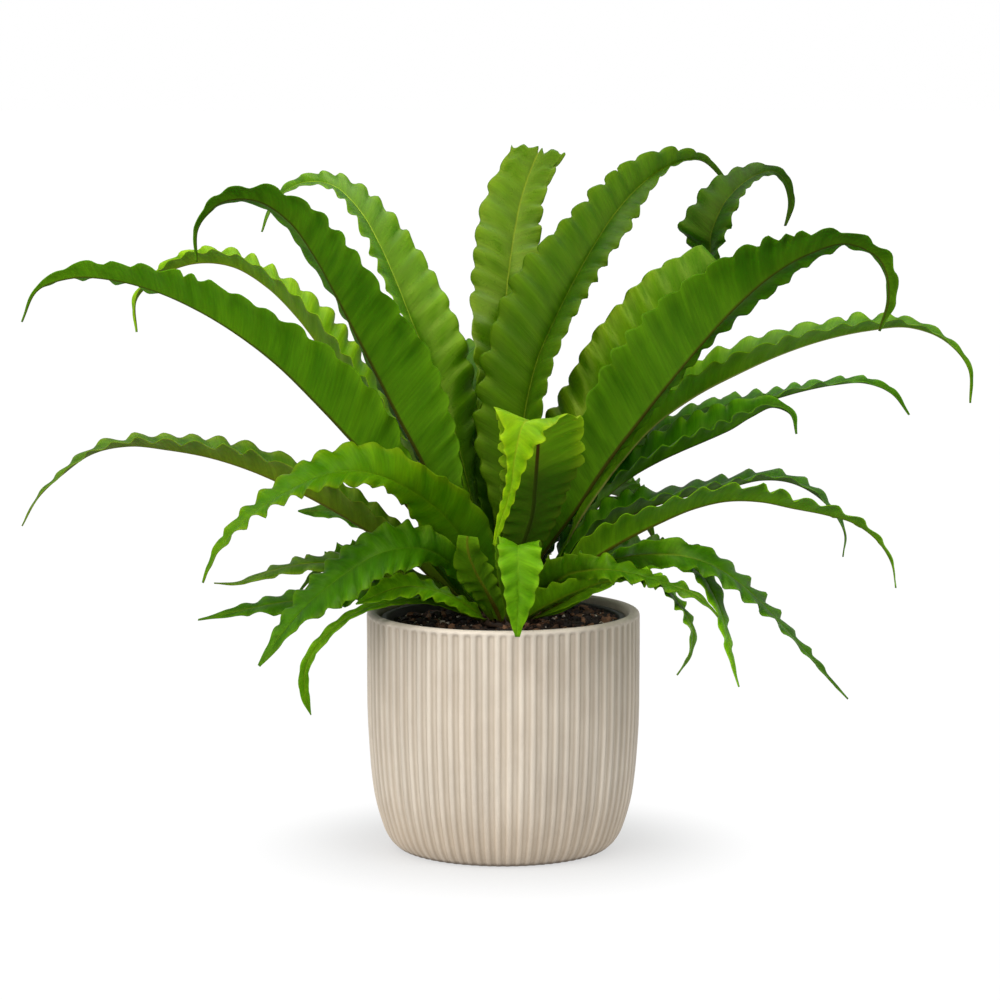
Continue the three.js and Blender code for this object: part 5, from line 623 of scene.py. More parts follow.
        (-4.5, -22.3, 153, -10, -16.1, 149.9, 2.2, -17.8, 155.1),
        (-8.2, -29.2, 161.4, -15.1, -19.1, 156.8, -0.9, -19.5, 163.2),
        (-12, -36.2, 169.6, -20.2, -24.2, 164.2, -4.4, -23.9, 171.1),
        (-15.8, -41.7, 177.2, -26.1, -27.3, 170.6, -6.5, -26.6, 179),
        (-18.8, -45.7, 184.4, -29.4, -33, 179.4, -9.6, -32, 185),
        (-21, -48.5, 191.1, -30.2, -39.9, 188.8, -12.7, -39.2, 190.8),
        (-22, -50, 197.3, -28.6, -48.5, 197.1, -14.7, -50, 197.3),
        (-21.9, -50.6, 202.8, -27, -50.6, 203.4, -15.7, -50.6, 202),
    ]},
    "frond_front_left_low": {"tone": "mid", "ruffle": (2.2, 2.2), "lobe": 1.9, "wave": 11, "grow": (0.03, 0.15), "shade": (1.55, 1.55), "a": [10], "b": [58, 68], "st": [
        (-11.1, -12.9, 144.9, -9.6, -14.3, 145.4, -12.5, -11.5, 145.4),
        (-20, -18.9, 153.5, -22.8, -23.9, 150.1, -18, -12.8, 155.6),
        (-28.9, -24.1, 159.9, -31, -33.7, 156.7, -28.4, -13.4, 159.6),
        (-37.8, -29.2, 164.6, -39.4, -42.5, 160.9, -37.3, -14.8, 164.6),
        (-46.9, -34.7, 168.1, -47.9, -48.3, 163.9, -46.3, -20.3, 170.1),
        (-56.4, -41.1, 170.3, -55.9, -53.5, 165.7, -56.9, -29.4, 176.3),
        (-65.9, -48, 170.2, -64.3, -58.6, 166, -67.9, -39.1, 176.9),
        (-74.4, -54.2, 168, -72.5, -61.1, 164.6, -77.1, -49.4, 173.6),
        (-82.3, -60, 165.6, -81.2, -63.5, 163.8, -83.7, -57.5, 168.4),
        (-89.5, -65.2, 163.2, -89.4, -65.6, 163.1, -89.7, -65, 163.5),
    ]},
    "frond_back_01": {"tone": "mid", "st": [
        (3.8, 9, 159.4, 2.1, 9.1, 159.8, 5.4, 8.8, 159.8),
        (3.5, 20.4, 184.2, -2.6, 16.8, 185.6, 9.6, 16.8, 185.6),
        (3.1, 30.5, 208, -7.1, 24.8, 210.9, 13.3, 24.8, 210.9),
        (3, 43, 229.8, -13.7, 34.4, 235.6, 19.7, 34.4, 235.6),
        (3, 57.3, 249.3, -16.2, 48.3, 257.3, 22.2, 48.3, 257.3),
        (3, 73.2, 266.1, -17.1, 65.2, 275.7, 23.1, 65.2, 275.7),
        (3, 91.8, 279.8, -16.7, 85.3, 290.3, 22.7, 85.3, 290.3),
        (3, 111.5, 290.2, -15.3, 107, 300.7, 21.3, 107, 300.7),
        (3, 131.8, 297.2, -11.9, 129.5, 306.2, 17.9, 129.5, 306.2),
        (3, 152.1, 300.9, -7.7, 151.4, 307.6, 13.7, 151.4, 307.6),
        (3, 171.8, 301.5, -3.3, 172.1, 305.4, 9.3, 172.1, 305.4),
        (3, 190.5, 299.2, 0.4, 190.8, 300.8, 5.6, 190.8, 300.8),
        (3, 207.5, 294.5, 2.4, 207.6, 294.8, 3.6, 207.6, 294.8),
    ]},
    "frond_back_02": {"tone": "deep", "st": [
        (-3.3, 5, 159.4, -3.9, 3.7, 159.7, -2.7, 6.2, 159.7),
        (-5, 25.1, 184.8, -9.1, 21.3, 186.3, 0.5, 23.7, 186.3),
        (-6.2, 42.3, 209, -15, 34.7, 212.8, 5, 39.7, 212.8),
        (-10.2, 58, 231.1, -24.5, 46.6, 238.1, 7.9, 54.6, 238.1),
        (-14.9, 75, 250.4, -31.7, 62.8, 259.5, 5.6, 72.1, 259.5),
        (-20, 94.3, 266.4, -37.8, 82.9, 276.9, 1.1, 92.6, 276.9),
        (-25.4, 116, 278.7, -43.3, 106.3, 289.9, -5.1, 115.8, 289.9),
        (-31, 138.5, 287.5, -48, 131, 298.4, -12.6, 139.8, 298.4),
        (-36.7, 161.1, 292.6, -50.8, 156.3, 301.9, -21.9, 163.5, 301.9),
        (-42.2, 183.3, 294.2, -52.6, 180.8, 300.9, -31.9, 185.9, 300.9),
        (-47.5, 204.5, 292.6, -53.7, 203.6, 296.5, -41.6, 206.6, 296.5),
        (-52.4, 224.3, 288, -55.1, 224.1, 289.6, -50, 225.4, 289.6),
        (-56.9, 242.1, 281.1, -57.5, 242.1, 281.4, -56.3, 242.4, 281.4),
    ]},
    "frond_back_03": {"tone": "deep", "st": [
        (2.4, 15.5, 152.4, 0.5, 15.4, 152.8, 4.4, 15.6, 152.8),
        (4.1, 30.7, 173.4, -3.1, 27.9, 176.3, 10.8, 27, 176.3),
        (6.2, 48.1, 191.7, -6, 44.1, 197.4, 17.7, 42.5, 197.4),
        (7.8, 70, 206.4, -9.2, 65.7, 215.2, 24, 63.4, 215.2),
        (9.3, 92.6, 217.6, -10.2, 89.3, 228.7, 28.2, 86.6, 228.7),
        (10.9, 115.1, 225.3, -9.3, 113.4, 237.5, 30.7, 110.6, 237.5),
        (12.5, 137.7, 229.4, -7.3, 137.9, 241.6, 32.1, 135.2, 241.6),
        (14, 159.9, 229.8, -4.1, 161.9, 241.2, 32.3, 159.4, 241.2),
        (15.5, 181.2, 227, 0.8, 184.2, 236.1, 30.5, 182.1, 236.1),
        (16.9, 200.9, 221.2, 6.4, 204, 227.5, 27.7, 202.6, 227.5),
        (18.2, 218.8, 213, 12, 221.2, 216.4, 24.6, 220.3, 216.4),
        (19.3, 234.5, 202.8, 16.7, 235.7, 204.1, 21.9, 235.3, 204.1),
        (20.2, 247.8, 191.3, 19.6, 248.2, 191.5, 20.8, 248.1, 191.5),
    ]},
    "frond_back_04": {"tone": "mid", "st": [
        (-3, 14.1, 152.4, -4.7, 13.3, 152.8, -1.2, 15, 152.8),
        (-6.1, 33.4, 169.8, -12, 29.2, 172.9, 1, 32.2, 172.9),
        (-9.1, 54.2, 184.5, -19, 48, 190.3, 2.6, 53, 190.3),
        (-13.1, 72.9, 196.5, -27.2, 65.4, 205.2, 2.7, 72.4, 205.2),
        (-18, 92.9, 205.1, -35.2, 85.5, 216.1, 0.7, 93.8, 216.1),
        (-22.9, 114.3, 210, -41.3, 108.3, 221.9, -3.8, 117, 221.9),
        (-27.8, 135.4, 211.5, -46.2, 131.3, 223.3, -9.4, 139.8, 223.3),
        (-32.5, 155.9, 209.7, -50, 153.7, 220.5, -15.9, 161.5, 220.5),
        (-37, 175.1, 205.1, -51.5, 174.6, 213.6, -23.7, 181, 213.6),
        (-41, 192.7, 197.8, -51.6, 193.2, 203.6, -31.7, 197.8, 203.6),
        (-44.7, 208.4, 188.5, -51, 209.2, 191.6, -39.3, 211.9, 191.6),
        (-47.8, 222, 177.5, -50.5, 222.5, 178.7, -45.6, 223.6, 178.7),
        (-50.4, 233.3, 165.6, -51, 233.4, 165.8, -49.9, 233.7, 165.8),
    ]},
    "frond_back_05": {"tone": "dark", "st": [
        (7.9, 14.6, 152.4, 6.8, 15, 152.7, 9.1, 14.1, 152.7),
        (15.9, 25, 169.8, 11.9, 25.3, 171.6, 18.6, 22, 171.6),
        (24.5, 28.8, 185.6, 18.2, 29.6, 188.8, 29, 24.3, 188.8),
        (33.4, 40.6, 197.2, 25, 42.4, 202, 40, 34.9, 202),
        (42.7, 67.5, 203.6, 25.7, 72.6, 214.2, 57.1, 57.2, 214.2),
        (51.9, 83.6, 208.2, 35.1, 90.4, 219.4, 67.5, 74.5, 219.4),
        (61.2, 113.6, 207.6, 45.2, 121.9, 218.9, 77.6, 106.1, 218.9),
        (70.2, 138.6, 204.5, 56, 147.7, 214.8, 86.1, 133, 214.8),
        (78.5, 156.7, 199.3, 67.5, 165.3, 207.4, 92, 153.3, 207.4),
        (86, 172.1, 191.9, 78.5, 179, 197.3, 96, 170.4, 197.3),
        (92.7, 185.8, 182.4, 88.4, 190.2, 185.3, 98.8, 185.2, 185.3),
        (98.4, 197.5, 171.4, 96.7, 199.5, 172.5, 101, 197.4, 172.5),
        (103.1, 207.2, 159.6, 102.7, 207.7, 159.8, 103.7, 207.2, 159.8),
    ]},
    "frond_back_06": {"tone": "dark", "st": [
        (-0.8, 22.1, 144.9, -2.7, 21.8, 145.3, 1.1, 22.5, 145.3),
        (-4.5, 39.8, 155, -9.8, 37.4, 158.3, 1.3, 39.5, 158.2),
        (-8.3, 56.2, 162.7, -17.3, 52.9, 168.4, 1.2, 56.4, 168.4),
        (-12.2, 69.5, 168, -22.2, 66.7, 174.5, -1.8, 70.7, 174.4),
        (-15.9, 80.7, 170.7, -31.5, 77.7, 180.6, -0.3, 83.8, 180.6),
        (-19.6, 93.3, 170.2, -32.9, 91.9, 178.5, -6.7, 97.1, 178.5),
        (-23, 111.3, 166.2, -38, 111.1, 175, -9.1, 116.8, 175),
        (-26.2, 128.3, 159.9, -41.7, 129.3, 168.4, -12.3, 135, 168.4),
        (-29.3, 155.2, 149.9, -42.2, 156.9, 156.4, -17.9, 161.7, 156.4),
        (-31.9, 177.4, 138.7, -41.4, 179.2, 142.9, -23.9, 182.6, 142.9),
        (-34.2, 193.4, 126.8, -39.8, 194.8, 129, -29.6, 196.8, 129),
        (-36, 202.8, 114.9, -38.4, 203.5, 115.7, -34.1, 204.4, 115.7),
        (-37.5, 210.3, 102.7, -38, 210.4, 102.8, -37, 210.6, 102.8),
    ]},
    "frond_back_07": {"tone": "olive", "st": [
        (4.8, 22.4, 144.9, 2.8, 22.6, 145.4, 6.8, 22.2, 145.4),
        (6.5, 42.5, 153.5, 0.4, 41.7, 157, 12.3, 40.7, 157),
        (8.2, 63.7, 159.3, -1.8, 63.1, 165.4, 18, 61.4, 165.4),
        (9.9, 84, 162.6, -3, 84.4, 170.6, 22.8, 82.2, 170.6),
        (11.6, 102.4, 163.2, -4.3, 104.3, 173.2, 27.6, 101.5, 173.2),
        (13.3, 120.1, 161.2, -3.2, 123.6, 171.4, 30.1, 120.7, 171.4),
        (14.8, 137.2, 156.6, -1.3, 142, 166.3, 31.5, 139.1, 166.3),
        (16.2, 153.3, 149.7, 1.5, 159, 158.2, 31.8, 156.3, 158.2),
        (17.5, 168, 141, 5.6, 173.5, 147.3, 30.3, 171.3, 147.3),
        (18.6, 180.8, 130.8, 10.1, 185.3, 134.8, 27.8, 183.8, 134.8),
        (19.6, 191.7, 119.4, 14.6, 194.6, 121.5, 25, 193.7, 121.5),
        (20.4, 200.6, 107.4, 18.3, 201.9, 108.2, 22.6, 201.5, 108.2),
        (21, 207.5, 95.2, 20.5, 207.8, 95.4, 21.5, 207.7, 95.4),
    ]},
    "frond_back_08": {"tone": "deep", "st": [
        (-6.1, 20.4, 144.9, -7.8, 19.5, 145.3, -4.4, 21.2, 145.3),
        (-14.1, 37.9, 153.4, -18.4, 34.4, 156.5, -8.7, 39.1, 156.5),
        (-22.3, 59.7, 159.1, -29.7, 54.4, 164.5, -13.6, 62.3, 164.5),
        (-30.6, 91.7, 160.7, -37.7, 87.5, 165.8, -23, 94.6, 165.8),
        (-38.9, 112.2, 161.6, -51.3, 106.2, 170.3, -26.4, 118.2, 170.3),
        (-46.9, 128.4, 160.7, -61.7, 122.6, 170.5, -33.1, 136.4, 170.5),
        (-54.5, 144, 157.4, -69.7, 139.4, 167, -41.4, 153.1, 167),
        (-61.4, 148.5, 153.7, -75.9, 145.2, 162.1, -49.8, 157.8, 162.1),
        (-67.6, 151.4, 148.2, -79.8, 149.5, 154.7, -58.6, 159.8, 154.7),
        (-73.3, 158.5, 140.5, -82.3, 157.6, 144.8, -67.1, 165, 144.8),
        (-78.4, 168.9, 131, -83.8, 168.6, 133.3, -74.9, 173, 133.3),
        (-82.7, 177.8, 120.7, -85, 177.7, 121.6, -81.3, 179.6, 121.6),
        (-86.3, 185.1, 110.1, -86.8, 185.1, 110.3, -86, 185.5, 110.3),
    ]},
    "frond_back_09": {"tone": "dark", "st": [
        (12.6, 11.5, 152.4, 11.1, 13, 152.9, 14, 10, 152.9),
        (16.8, 15.9, 162.3, 11, 17.7, 164.2, 18.5, 10.8, 164),
        (21.5, 26.7, 170.6, 13.3, 29.4, 173.6, 24.1, 19.5, 173.3),
        (26.7, 39.3, 177.8, 17.8, 42.5, 181.6, 29.9, 31.5, 181.2),
        (32.2, 52.3, 184.1, 22, 56.5, 189, 36.4, 43.1, 188.6),
        (38.1, 62.9, 189.7, 28.9, 67.2, 194.7, 42.5, 54.2, 194.6),
        (44.1, 69.4, 195, 36, 73.6, 199.8, 48.6, 61.5, 199.8),
        (50.3, 76.1, 199.1, 42.5, 80.7, 204.2, 55.2, 68.6, 204.2),
        (56.5, 82.2, 202.4, 49.1, 87.1, 207.6, 61.7, 75.1, 207.6),
        (62.6, 88.1, 204.6, 57.4, 92, 208.6, 66.7, 83.1, 208.6),
        (68.5, 90.4, 206.4, 65.5, 92.9, 208.8, 71.2, 87.5, 208.8),
        (74.1, 91.1, 207.5, 72.9, 92.2, 208.5, 75.3, 90, 208.5),
        (79.3, 91.8, 207.8, 79.1, 92.1, 208.1, 79.6, 91.5, 208.1),
    ]},
    "frond_back_10": {"tone": "dark", "st": [
        (-10.9, 17.1, 144.9, -12.5, 15.6, 145.4, -9.3, 18.5, 145.4),
        (-22.2, 27.9, 154.4, -24.8, 22.8, 157.4, -17.3, 30.7, 157.4),
        (-34.1, 38.9, 162.1, -38.9, 30.9, 167.4, -26.2, 44, 167.4),
        (-46.1, 49.9, 167.7, -52.9, 40, 174.8, -36.5, 57, 174.8),
        (-58.1, 61, 171.3, -66.6, 50.3, 179.7, -47.7, 69.9, 179.7),
        (-69.8, 72.3, 172.7, -79.5, 61.9, 181.6, -59.8, 82.3, 181.6),
        (-81.1, 83.2, 172.2, -91.4, 73.8, 180.9, -72, 93.9, 180.9),
        (-92, 93.7, 169.9, -102.2, 85.6, 177.8, -84.2, 104.2, 177.8),
        (-102.2, 103.6, 166, -111.1, 97.5, 172.2, -96.4, 112.7, 172.2),
        (-111.6, 112.7, 160.7, -118.3, 108.7, 164.9, -107.8, 119.5, 164.9),
        (-120.2, 120.9, 154.2, -124.3, 118.8, 156.6, -118.1, 125.2, 156.6),
        (-127.8, 128.3, 146.8, -129.6, 127.4, 147.8, -127, 130.1, 147.8),
        (-134.3, 134.6, 138.9, -134.8, 134.4, 139.1, -134.2, 135.1, 139.1),
    ]},
    "frond_back_11": {"tone": "deep", "st": [
        (18.9, 14.9, 144.9, 17.6, 16.6, 145.4, 20.3, 13.2, 145.4),
        (31.9, 25.4, 154.5, 27.4, 28.6, 157.4, 34.1, 20.4, 157.4),
        (45.2, 36.1, 162.2, 38.1, 41.7, 167.3, 49.1, 28.1, 167.3),
        (58.6, 47, 168, 50.2, 54.5, 174.7, 64.2, 37.3, 174.7),
        (72.1, 57.9, 171.8, 63, 67.1, 179.7, 79.2, 47.2, 179.7),
        (85.4, 68.7, 173.6, 76.7, 78.8, 182, 93.5, 58.1, 182),
        (98.3, 79.2, 173.6, 90.4, 89.7, 181.8, 107, 69.3, 181.8),
        (110.8, 89.2, 171.8, 104.1, 99.5, 179.3, 119.4, 80.6, 179.3),
        (122.5, 98.8, 168.5, 117.6, 107.5, 174.5, 130.1, 92.1, 174.5),
        (133.5, 107.7, 163.8, 130.3, 114.2, 167.9, 139.3, 103.2, 167.9),
        (143.6, 115.9, 157.9, 141.9, 119.9, 160.3, 147.2, 113.4, 160.3),
        (152.8, 123.3, 151.2, 152.1, 125, 152.1, 154.3, 122.3, 152.1),
        (160.9, 129.8, 143.9, 160.7, 130.3, 144.1, 161.2, 129.6, 144.1),
    ]},
    "frond_back_12": {"tone": "deep", "st": [
        (-7.3, 10.7, 152.4, -8.7, 9.1, 152.9, -5.9, 12.3, 152.9),
        (-14.2, 23.1, 176.4, -17.7, 16.1, 178.7, -6.4, 24, 178.7),
        (-21.4, 37.9, 198.7, -27.6, 26.3, 203.1, -8.3, 39.8, 203.1),
        (-30.5, 51.9, 219, -39, 37.3, 225.5, -14, 54.9, 225.5),
        (-41, 66.9, 236.9, -51.2, 50.9, 245.2, -22.4, 71.1, 245.2),
        (-52.2, 81.7, 252.1, -63.6, 66, 261.6, -33.5, 87.1, 261.6),
        (-64, 97.7, 264.2, -75.9, 83.2, 274.4, -46.3, 104, 274.4),
        (-76.2, 115.2, 273.1, -88, 102.8, 283, -60.6, 122, 283),
        (-88.6, 132.8, 278.8, -98.8, 123.7, 287.2, -76.5, 139.3, 287.2),
        (-100.8, 150.2, 281.4, -108.6, 144.3, 287.6, -92.6, 155.5, 287.6),
        (-112.5, 166.9, 281.2, -117.4, 163.9, 284.8, -108, 170.5, 284.8),
        (-123.5, 182.7, 278.3, -125.7, 181.6, 279.8, -121.8, 184.4, 279.8),
        (-133.6, 197.1, 273.3, -134.2, 196.9, 273.6, -133.2, 197.5, 273.6),
    ]},
}

# tone: upper light, upper dark, under light, under dark, rib above, rib below at the base, rib below further on
TONES = {
    "deep": dict(upper_light=srgb(66, 113, 4), upper_dark=srgb(32, 74, 1), under_light=srgb(68, 108, 5), under_dark=srgb(41, 81, 2),
                 edge=srgb(90, 133, 9), rib_up=srgb(86, 102, 14), rib_base=srgb(47, 27, 6), rib_low=srgb(56, 67, 7)),
    "mid": dict(upper_light=srgb(86, 129, 7), upper_dark=srgb(49, 94, 2), under_light=srgb(86, 123, 10), under_dark=srgb(55, 94, 4),
                edge=srgb(113, 150, 14), rib_up=srgb(105, 118, 20), rib_base=srgb(62, 37, 9), rib_low=srgb(83, 91, 13)),
    "young": dict(upper_light=srgb(113, 148, 12), upper_dark=srgb(70, 113, 4), under_light=srgb(105, 134, 15), under_dark=srgb(71, 108, 7),
                  edge=srgb(132, 161, 19), rib_up=srgb(132, 138, 25), rib_base=srgb(81, 55, 13), rib_low=srgb(105, 111, 18)),
    "bright": dict(upper_light=srgb(132, 166, 7), upper_dark=srgb(83, 129, 2), under_light=srgb(94, 123, 13), under_dark=srgb(62, 96, 5),
                   edge=srgb(152, 176, 16), rib_up=srgb(132, 148, 22), rib_base=srgb(58, 35, 10), rib_low=srgb(85, 92, 15)),
    "green": dict(upper_light=srgb(116, 176, 12), upper_dark=srgb(70, 132, 4), under_light=srgb(92, 130, 14), under_dark=srgb(60, 98, 6),
                  edge=srgb(140, 190, 24), rib_up=srgb(96, 140, 20), rib_base=srgb(62, 42, 14), rib_low=srgb(84, 104, 20)),
    "bright2": dict(upper_light=srgb(79, 136, 4), upper_dark=srgb(36, 89, 1), under_light=srgb(86, 119, 13), under_dark=srgb(53, 89, 4),
                    edge=srgb(109, 151, 14), rib_up=srgb(90, 118, 18), rib_base=srgb(55, 32, 8), rib_low=srgb(77, 86, 14)),
    "dark": dict(upper_light=srgb(53, 97, 4), upper_dark=srgb(24, 62, 1), under_light=srgb(62, 99, 5), under_dark=srgb(32, 67, 1),
                 edge=srgb(83, 123, 10), rib_up=srgb(75, 87, 14), rib_base=srgb(38, 20, 5), rib_low=srgb(47, 50, 7)),
    "olive": dict(upper_light=srgb(83, 118, 12), upper_dark=srgb(47, 82, 4), under_light=srgb(102, 121, 20), under_dark=srgb(70, 94, 11),
                  edge=srgb(118, 136, 27), rib_up=srgb(103, 109, 25), rib_base=srgb(70, 40, 13), rib_low=srgb(92, 92, 22)),
}
COT = 0.46  # pleats run from the midrib to the margin at about 65 degrees


def cubic(S, P, s):
    """Smooth curve through the points P at S, read at s."""
    P = np.asarray(P, float)
    h = np.diff(S)
    d = np.diff(P, axis=0) / h[:, None]
    m = np.empty_like(P)
    m[0], m[-1] = d[0], d[-1]
    m[1:-1] = (d[:-1] * h[1:, None] + d[1:] * h[:-1, None]) / (h[1:] + h[:-1])[:, None]
    i = np.clip(np.searchsorted(S, s, side="right") - 1, 0, len(S) - 2)
    t = ((s - S[i]) / h[i])[:, None]
    H = h[i][:, None]
    t2, t3 = t * t, t * t * t
    return (2 * t3 - 3 * t2 + 1) * P[i] + (t3 - 2 * t2 + t) * H * m[i] + (3 * t2 - 2 * t3) * P[i + 1] + (t3 - t2) * H * m[i + 1]


def unit(v):
    return v / np.maximum(np.linalg.norm(v, axis=-1, keepdims=True), 1e-9)


def step(x, a, b):
    t = np.clip((x - a) / (b - a), 0, 1)
    return t * t * (3 - 2 * t)


def crests(known, length, wave, rng):
    """Crest places along a margin: the known ones, with gaps filled and both ends carried on."""
    known = sorted(known)
    if not known:
        known = [length * 0.5 + rng.uniform(-4, 4)]
    out = [known[0]]
    for k in known[1:]:
        gap = k - out[-1]
        if gap < 6:
            continue
        n = max(1, round(gap / wave))
        if gap < wave * 1.55:
            n = 1
        a = out[-1]
        for j in range(1, n + 1):
            out.append(a + gap * j / n + (rng.uniform(-1.2, 1.2) if j < n else 0))
    while out[0] > -wave:
        out.insert(0, out[0] - wave * rng.uniform(0.85, 1.25))
    while out[-1] < length + 2 * wave:
        out.append(out[-1] + wave * rng.uniform(0.8, 1.25))
    return np.array(out)


def wobble(s, rng, step_mm, lo, hi):
    """A smooth random value along s."""
    knots = np.arange(-step_mm, s[-1] + 3 * step_mm, step_mm)
    v = rng.uniform(lo, hi, len(knots))
    i = np.clip(np.searchsorted(knots, s, side="right") - 1, 0, len(knots) - 2)
    t = (s - knots[i]) / step_mm
    t = t * t * (3 - 2 * t)
    return v[i] * (1 - t) + v[i + 1] * t


HALF = [0.0, 0.022, 0.05, 0.09, 0.15, 0.23, 0.32, 0.42, 0.52, 0.62, 0.71, 0.79, 0.86, 0.92, 0.965, 1.0]
ROW_MM = 1.7


def frond_mesh(name, f, seed):
    rng = np.random.default_rng(seed)
    st = np.array(f["st"], float)
    M0, A0, B0 = st[:, 0:3], st[:, 3:6], st[:, 6:9]
    S = np.r_[0, np.cumsum(np.linalg.norm(np.diff(M0, axis=0), axis=1))]
    L = S[-1]
    rows = int(L / ROW_MM) + 2
    s = np.linspace(0, L, rows)
    M = cubic(S, M0, s)
    T = unit(np.gradient(M, axis=0))
    hA, hB = cubic(S, A0 - M0, s), cubic(S, B0 - M0, s)
    wA, wB = np.linalg.norm(hA, axis=1), np.linalg.norm(hB, axis=1)
    # the face that looks up where the frond leaves the crown
    far = M0[np.argmax(np.linalg.norm(M0[:, :2] - M0[0, :2], axis=1)), :2] - np.array(CROWN[:2])
    u = np.array([far[0], far[1], 0.0]) / np.linalg.norm(far)
    up = -T[:, 2:3] * u + (T @ u)[:, None] * np.array([0, 0, 1.0])
    nA, nB = unit(np.cross(T, hA)), -unit(np.cross(T, hB))
    weight = (wA + wB)[:, None]
    sign = 1.0 if ((nA + nB) * up * weight).sum() > 0 else -1.0
    nA, nB = nA * sign, nB * sign
    ruffle, pleat, lobe, wave = f["ruffle"], f["pleat"], f["lobe"], f["wave"]
    grow = step(s, f["grow"][0] * L, f["grow"][1] * L)
    tip = 1 - 0.5 * step(s, 0.8 * L, L)
    fields = []
    for key, h, w, n in (("a", hA, wA, nA), ("b", hB, wB, nB)):
        c = crests(f.get(key, []), L, wave, rng)
        idx = np.arange(len(c))
        big = wobble(s, rng, 17, 0.35, 1.35)
        varied = wobble(s, rng, 14, 0.35, 1.45)
        second = wobble(s, rng, 31, -2.2, 2.2)
        bend = wobble(s, rng, 46, -0.03, 0.055)
        scale = np.minimum(1, w / 15.0) ** 0.8
        out = unit(h)
        cols = []
        for t in HALF:
            se = s + (1 - t) * w * COT
            ph = 2 * np.pi * np.interp(se, c, idx)
            ph = ph - 0.5 * np.sin(ph)  # broad round crests with narrower hollows between them
            amp = ruffle[0 if key == "a" else 1] * big * grow * tip * scale
            g = 0.2 * t + 0.8 * t ** 3
            lift = amp * (g * np.sin(ph + 0.6) + 0.24 * t ** 4 * np.sin(2 * ph + second))
            lift = lift + pleat * grow * scale * (t ** 0.75) * (1 - 0.55 * t) * np.sin(ph + 0.25 * second)
            arch = w * (f["arch"] + bend) * 4 * (t - t * t) * step(s, 0, 0.2 * L)
            width = w * t
            # a crest stands out in the plane of the leaf as a round lobe, with a smaller notch or lobe beside it here and there
            pop = lobe * varied * scale * tip * grow * t ** 4 * (np.cos(ph) + 0.28 * np.cos(2 * ph + 1.3 * second) - 0.1)
            P = M + out * (width + pop)[:, None] + n * (lift + arch)[:, None]
            wave_at = np.sin(ph + 0.6) * g * grow
            cols.append((P, wave_at, se, t, w * t))
        fields.append(cols)
    left = fields[0][::-1]
    right = fields[1][1:]
    cols = left + right
    sides = [-c[3] for c in left] + [c[3] for c in right]
    P = np.stack([c[0] for c in cols], 1)
    lift = np.stack([c[1] for c in cols], 1)
    vein = np.stack([c[2] + (0 if sd <= 0 else 700) for c, sd in zip(cols, sides)], 1)
    dist = np.stack([c[4] for c in cols], 1)
    across = np.tile(np.array(sides), (rows, 1))
    # a torn end: the last stretch ends at a different length from vein to vein
    if f["torn"]:
        rag = rng.uniform(-1, 0.4, len(cols)) * f["torn"]
        rag = 0.5 * rag + 0.25 * (np.roll(rag, 1) + np.roll(rag, -1))
        rag = rag + f["slant"] * np.array(sides)
        P = P + T[:, None, :] * (step(s, 0.86 * L, L)[:, None] * rag[None, :])[..., None]
    # normals of the middle surface
    ds = np.gradient(P, axis=0)
    dc = np.gradient(P, axis=1)
    N = unit(np.cross(ds, dc))
    mid = len(left) - 1
    if (N[:, mid] * (nA + nB)).sum() < 0:
        N = -N
    rib_r = np.minimum(1.25, 0.4 + 0.05 * (wA + wB))[:, None] * (1.15 - 0.5 * (s / L))[:, None]
    rib = np.exp(-(dist / rib_r) ** 2)
    th = 0.17 + 0.17 * np.exp(-(dist / 6.0) ** 2)
    keel = f["keel"] * rib * (1.35 - 1.15 * step(s, 0, 0.75 * L))[:, None]
    groove = -0.32 * rib * (1 - 0.7 * step(s, 0, 0.8 * L))[:, None]
    top = P + N * (th + groove)[..., None]
    low = P - N * (th + keel)[..., None]
    nc = P.shape[1]
    n = rows * nc
    verts = np.concatenate([top.reshape(-1, 3), low.reshape(-1, 3)])
    gid = np.arange(n).reshape(rows, nc)
    q = np.stack([gid[:-1, :-1], gid[:-1, 1:], gid[1:, 1:], gid[1:, :-1]], -1).reshape(-1, 4)
    faces = [q, q[:, ::-1] + n]
    for a, b in ((gid[:, 0], 1), (gid[:, -1], -1)):
        e = np.stack([a[:-1], a[1:], a[1:] + n, a[:-1] + n], -1)
        faces.append(e if b > 0 else e[:, ::-1])
    for a, b in ((gid[0, :], -1), (gid[-1, :], 1)):
        e = np.stack([a[:-1], a[1:], a[1:] + n, a[:-1] + n], -1)
        faces.append(e if b > 0 else e[:, ::-1])
    faces = np.concatenate(faces)
    # faces point out
    a, b, c = (verts[faces[:, i]] for i in (0, 1, 2))
    d = verts[faces[:, 3]]
    vol = np.einsum("ij,ij->i", a, np.cross(b, c)).sum() + np.einsum("ij,ij->i", a, np.cross(c, d)).sum()
    if vol < 0:
        faces = faces[:, ::-1]
    two = lambda x: np.concatenate([x.ravel(), x.ravel()])
    along = np.tile((s / L)[:, None], (1, nc))
    attrs = {
        "side": np.r_[np.zeros(n), np.ones(n)],
        "lift": two(lift), "vein": two(vein), "across": two(np.abs(across)), "hand": two(across > 0), "along": two(along), "rib": two(rib),
    }
    uv = np.stack([two(along), two(across * 0.5 + 0.5)], -1)
    obj = add_mesh(name, verts * MM, faces, attrs=attrs, uv=uv)
    return obj


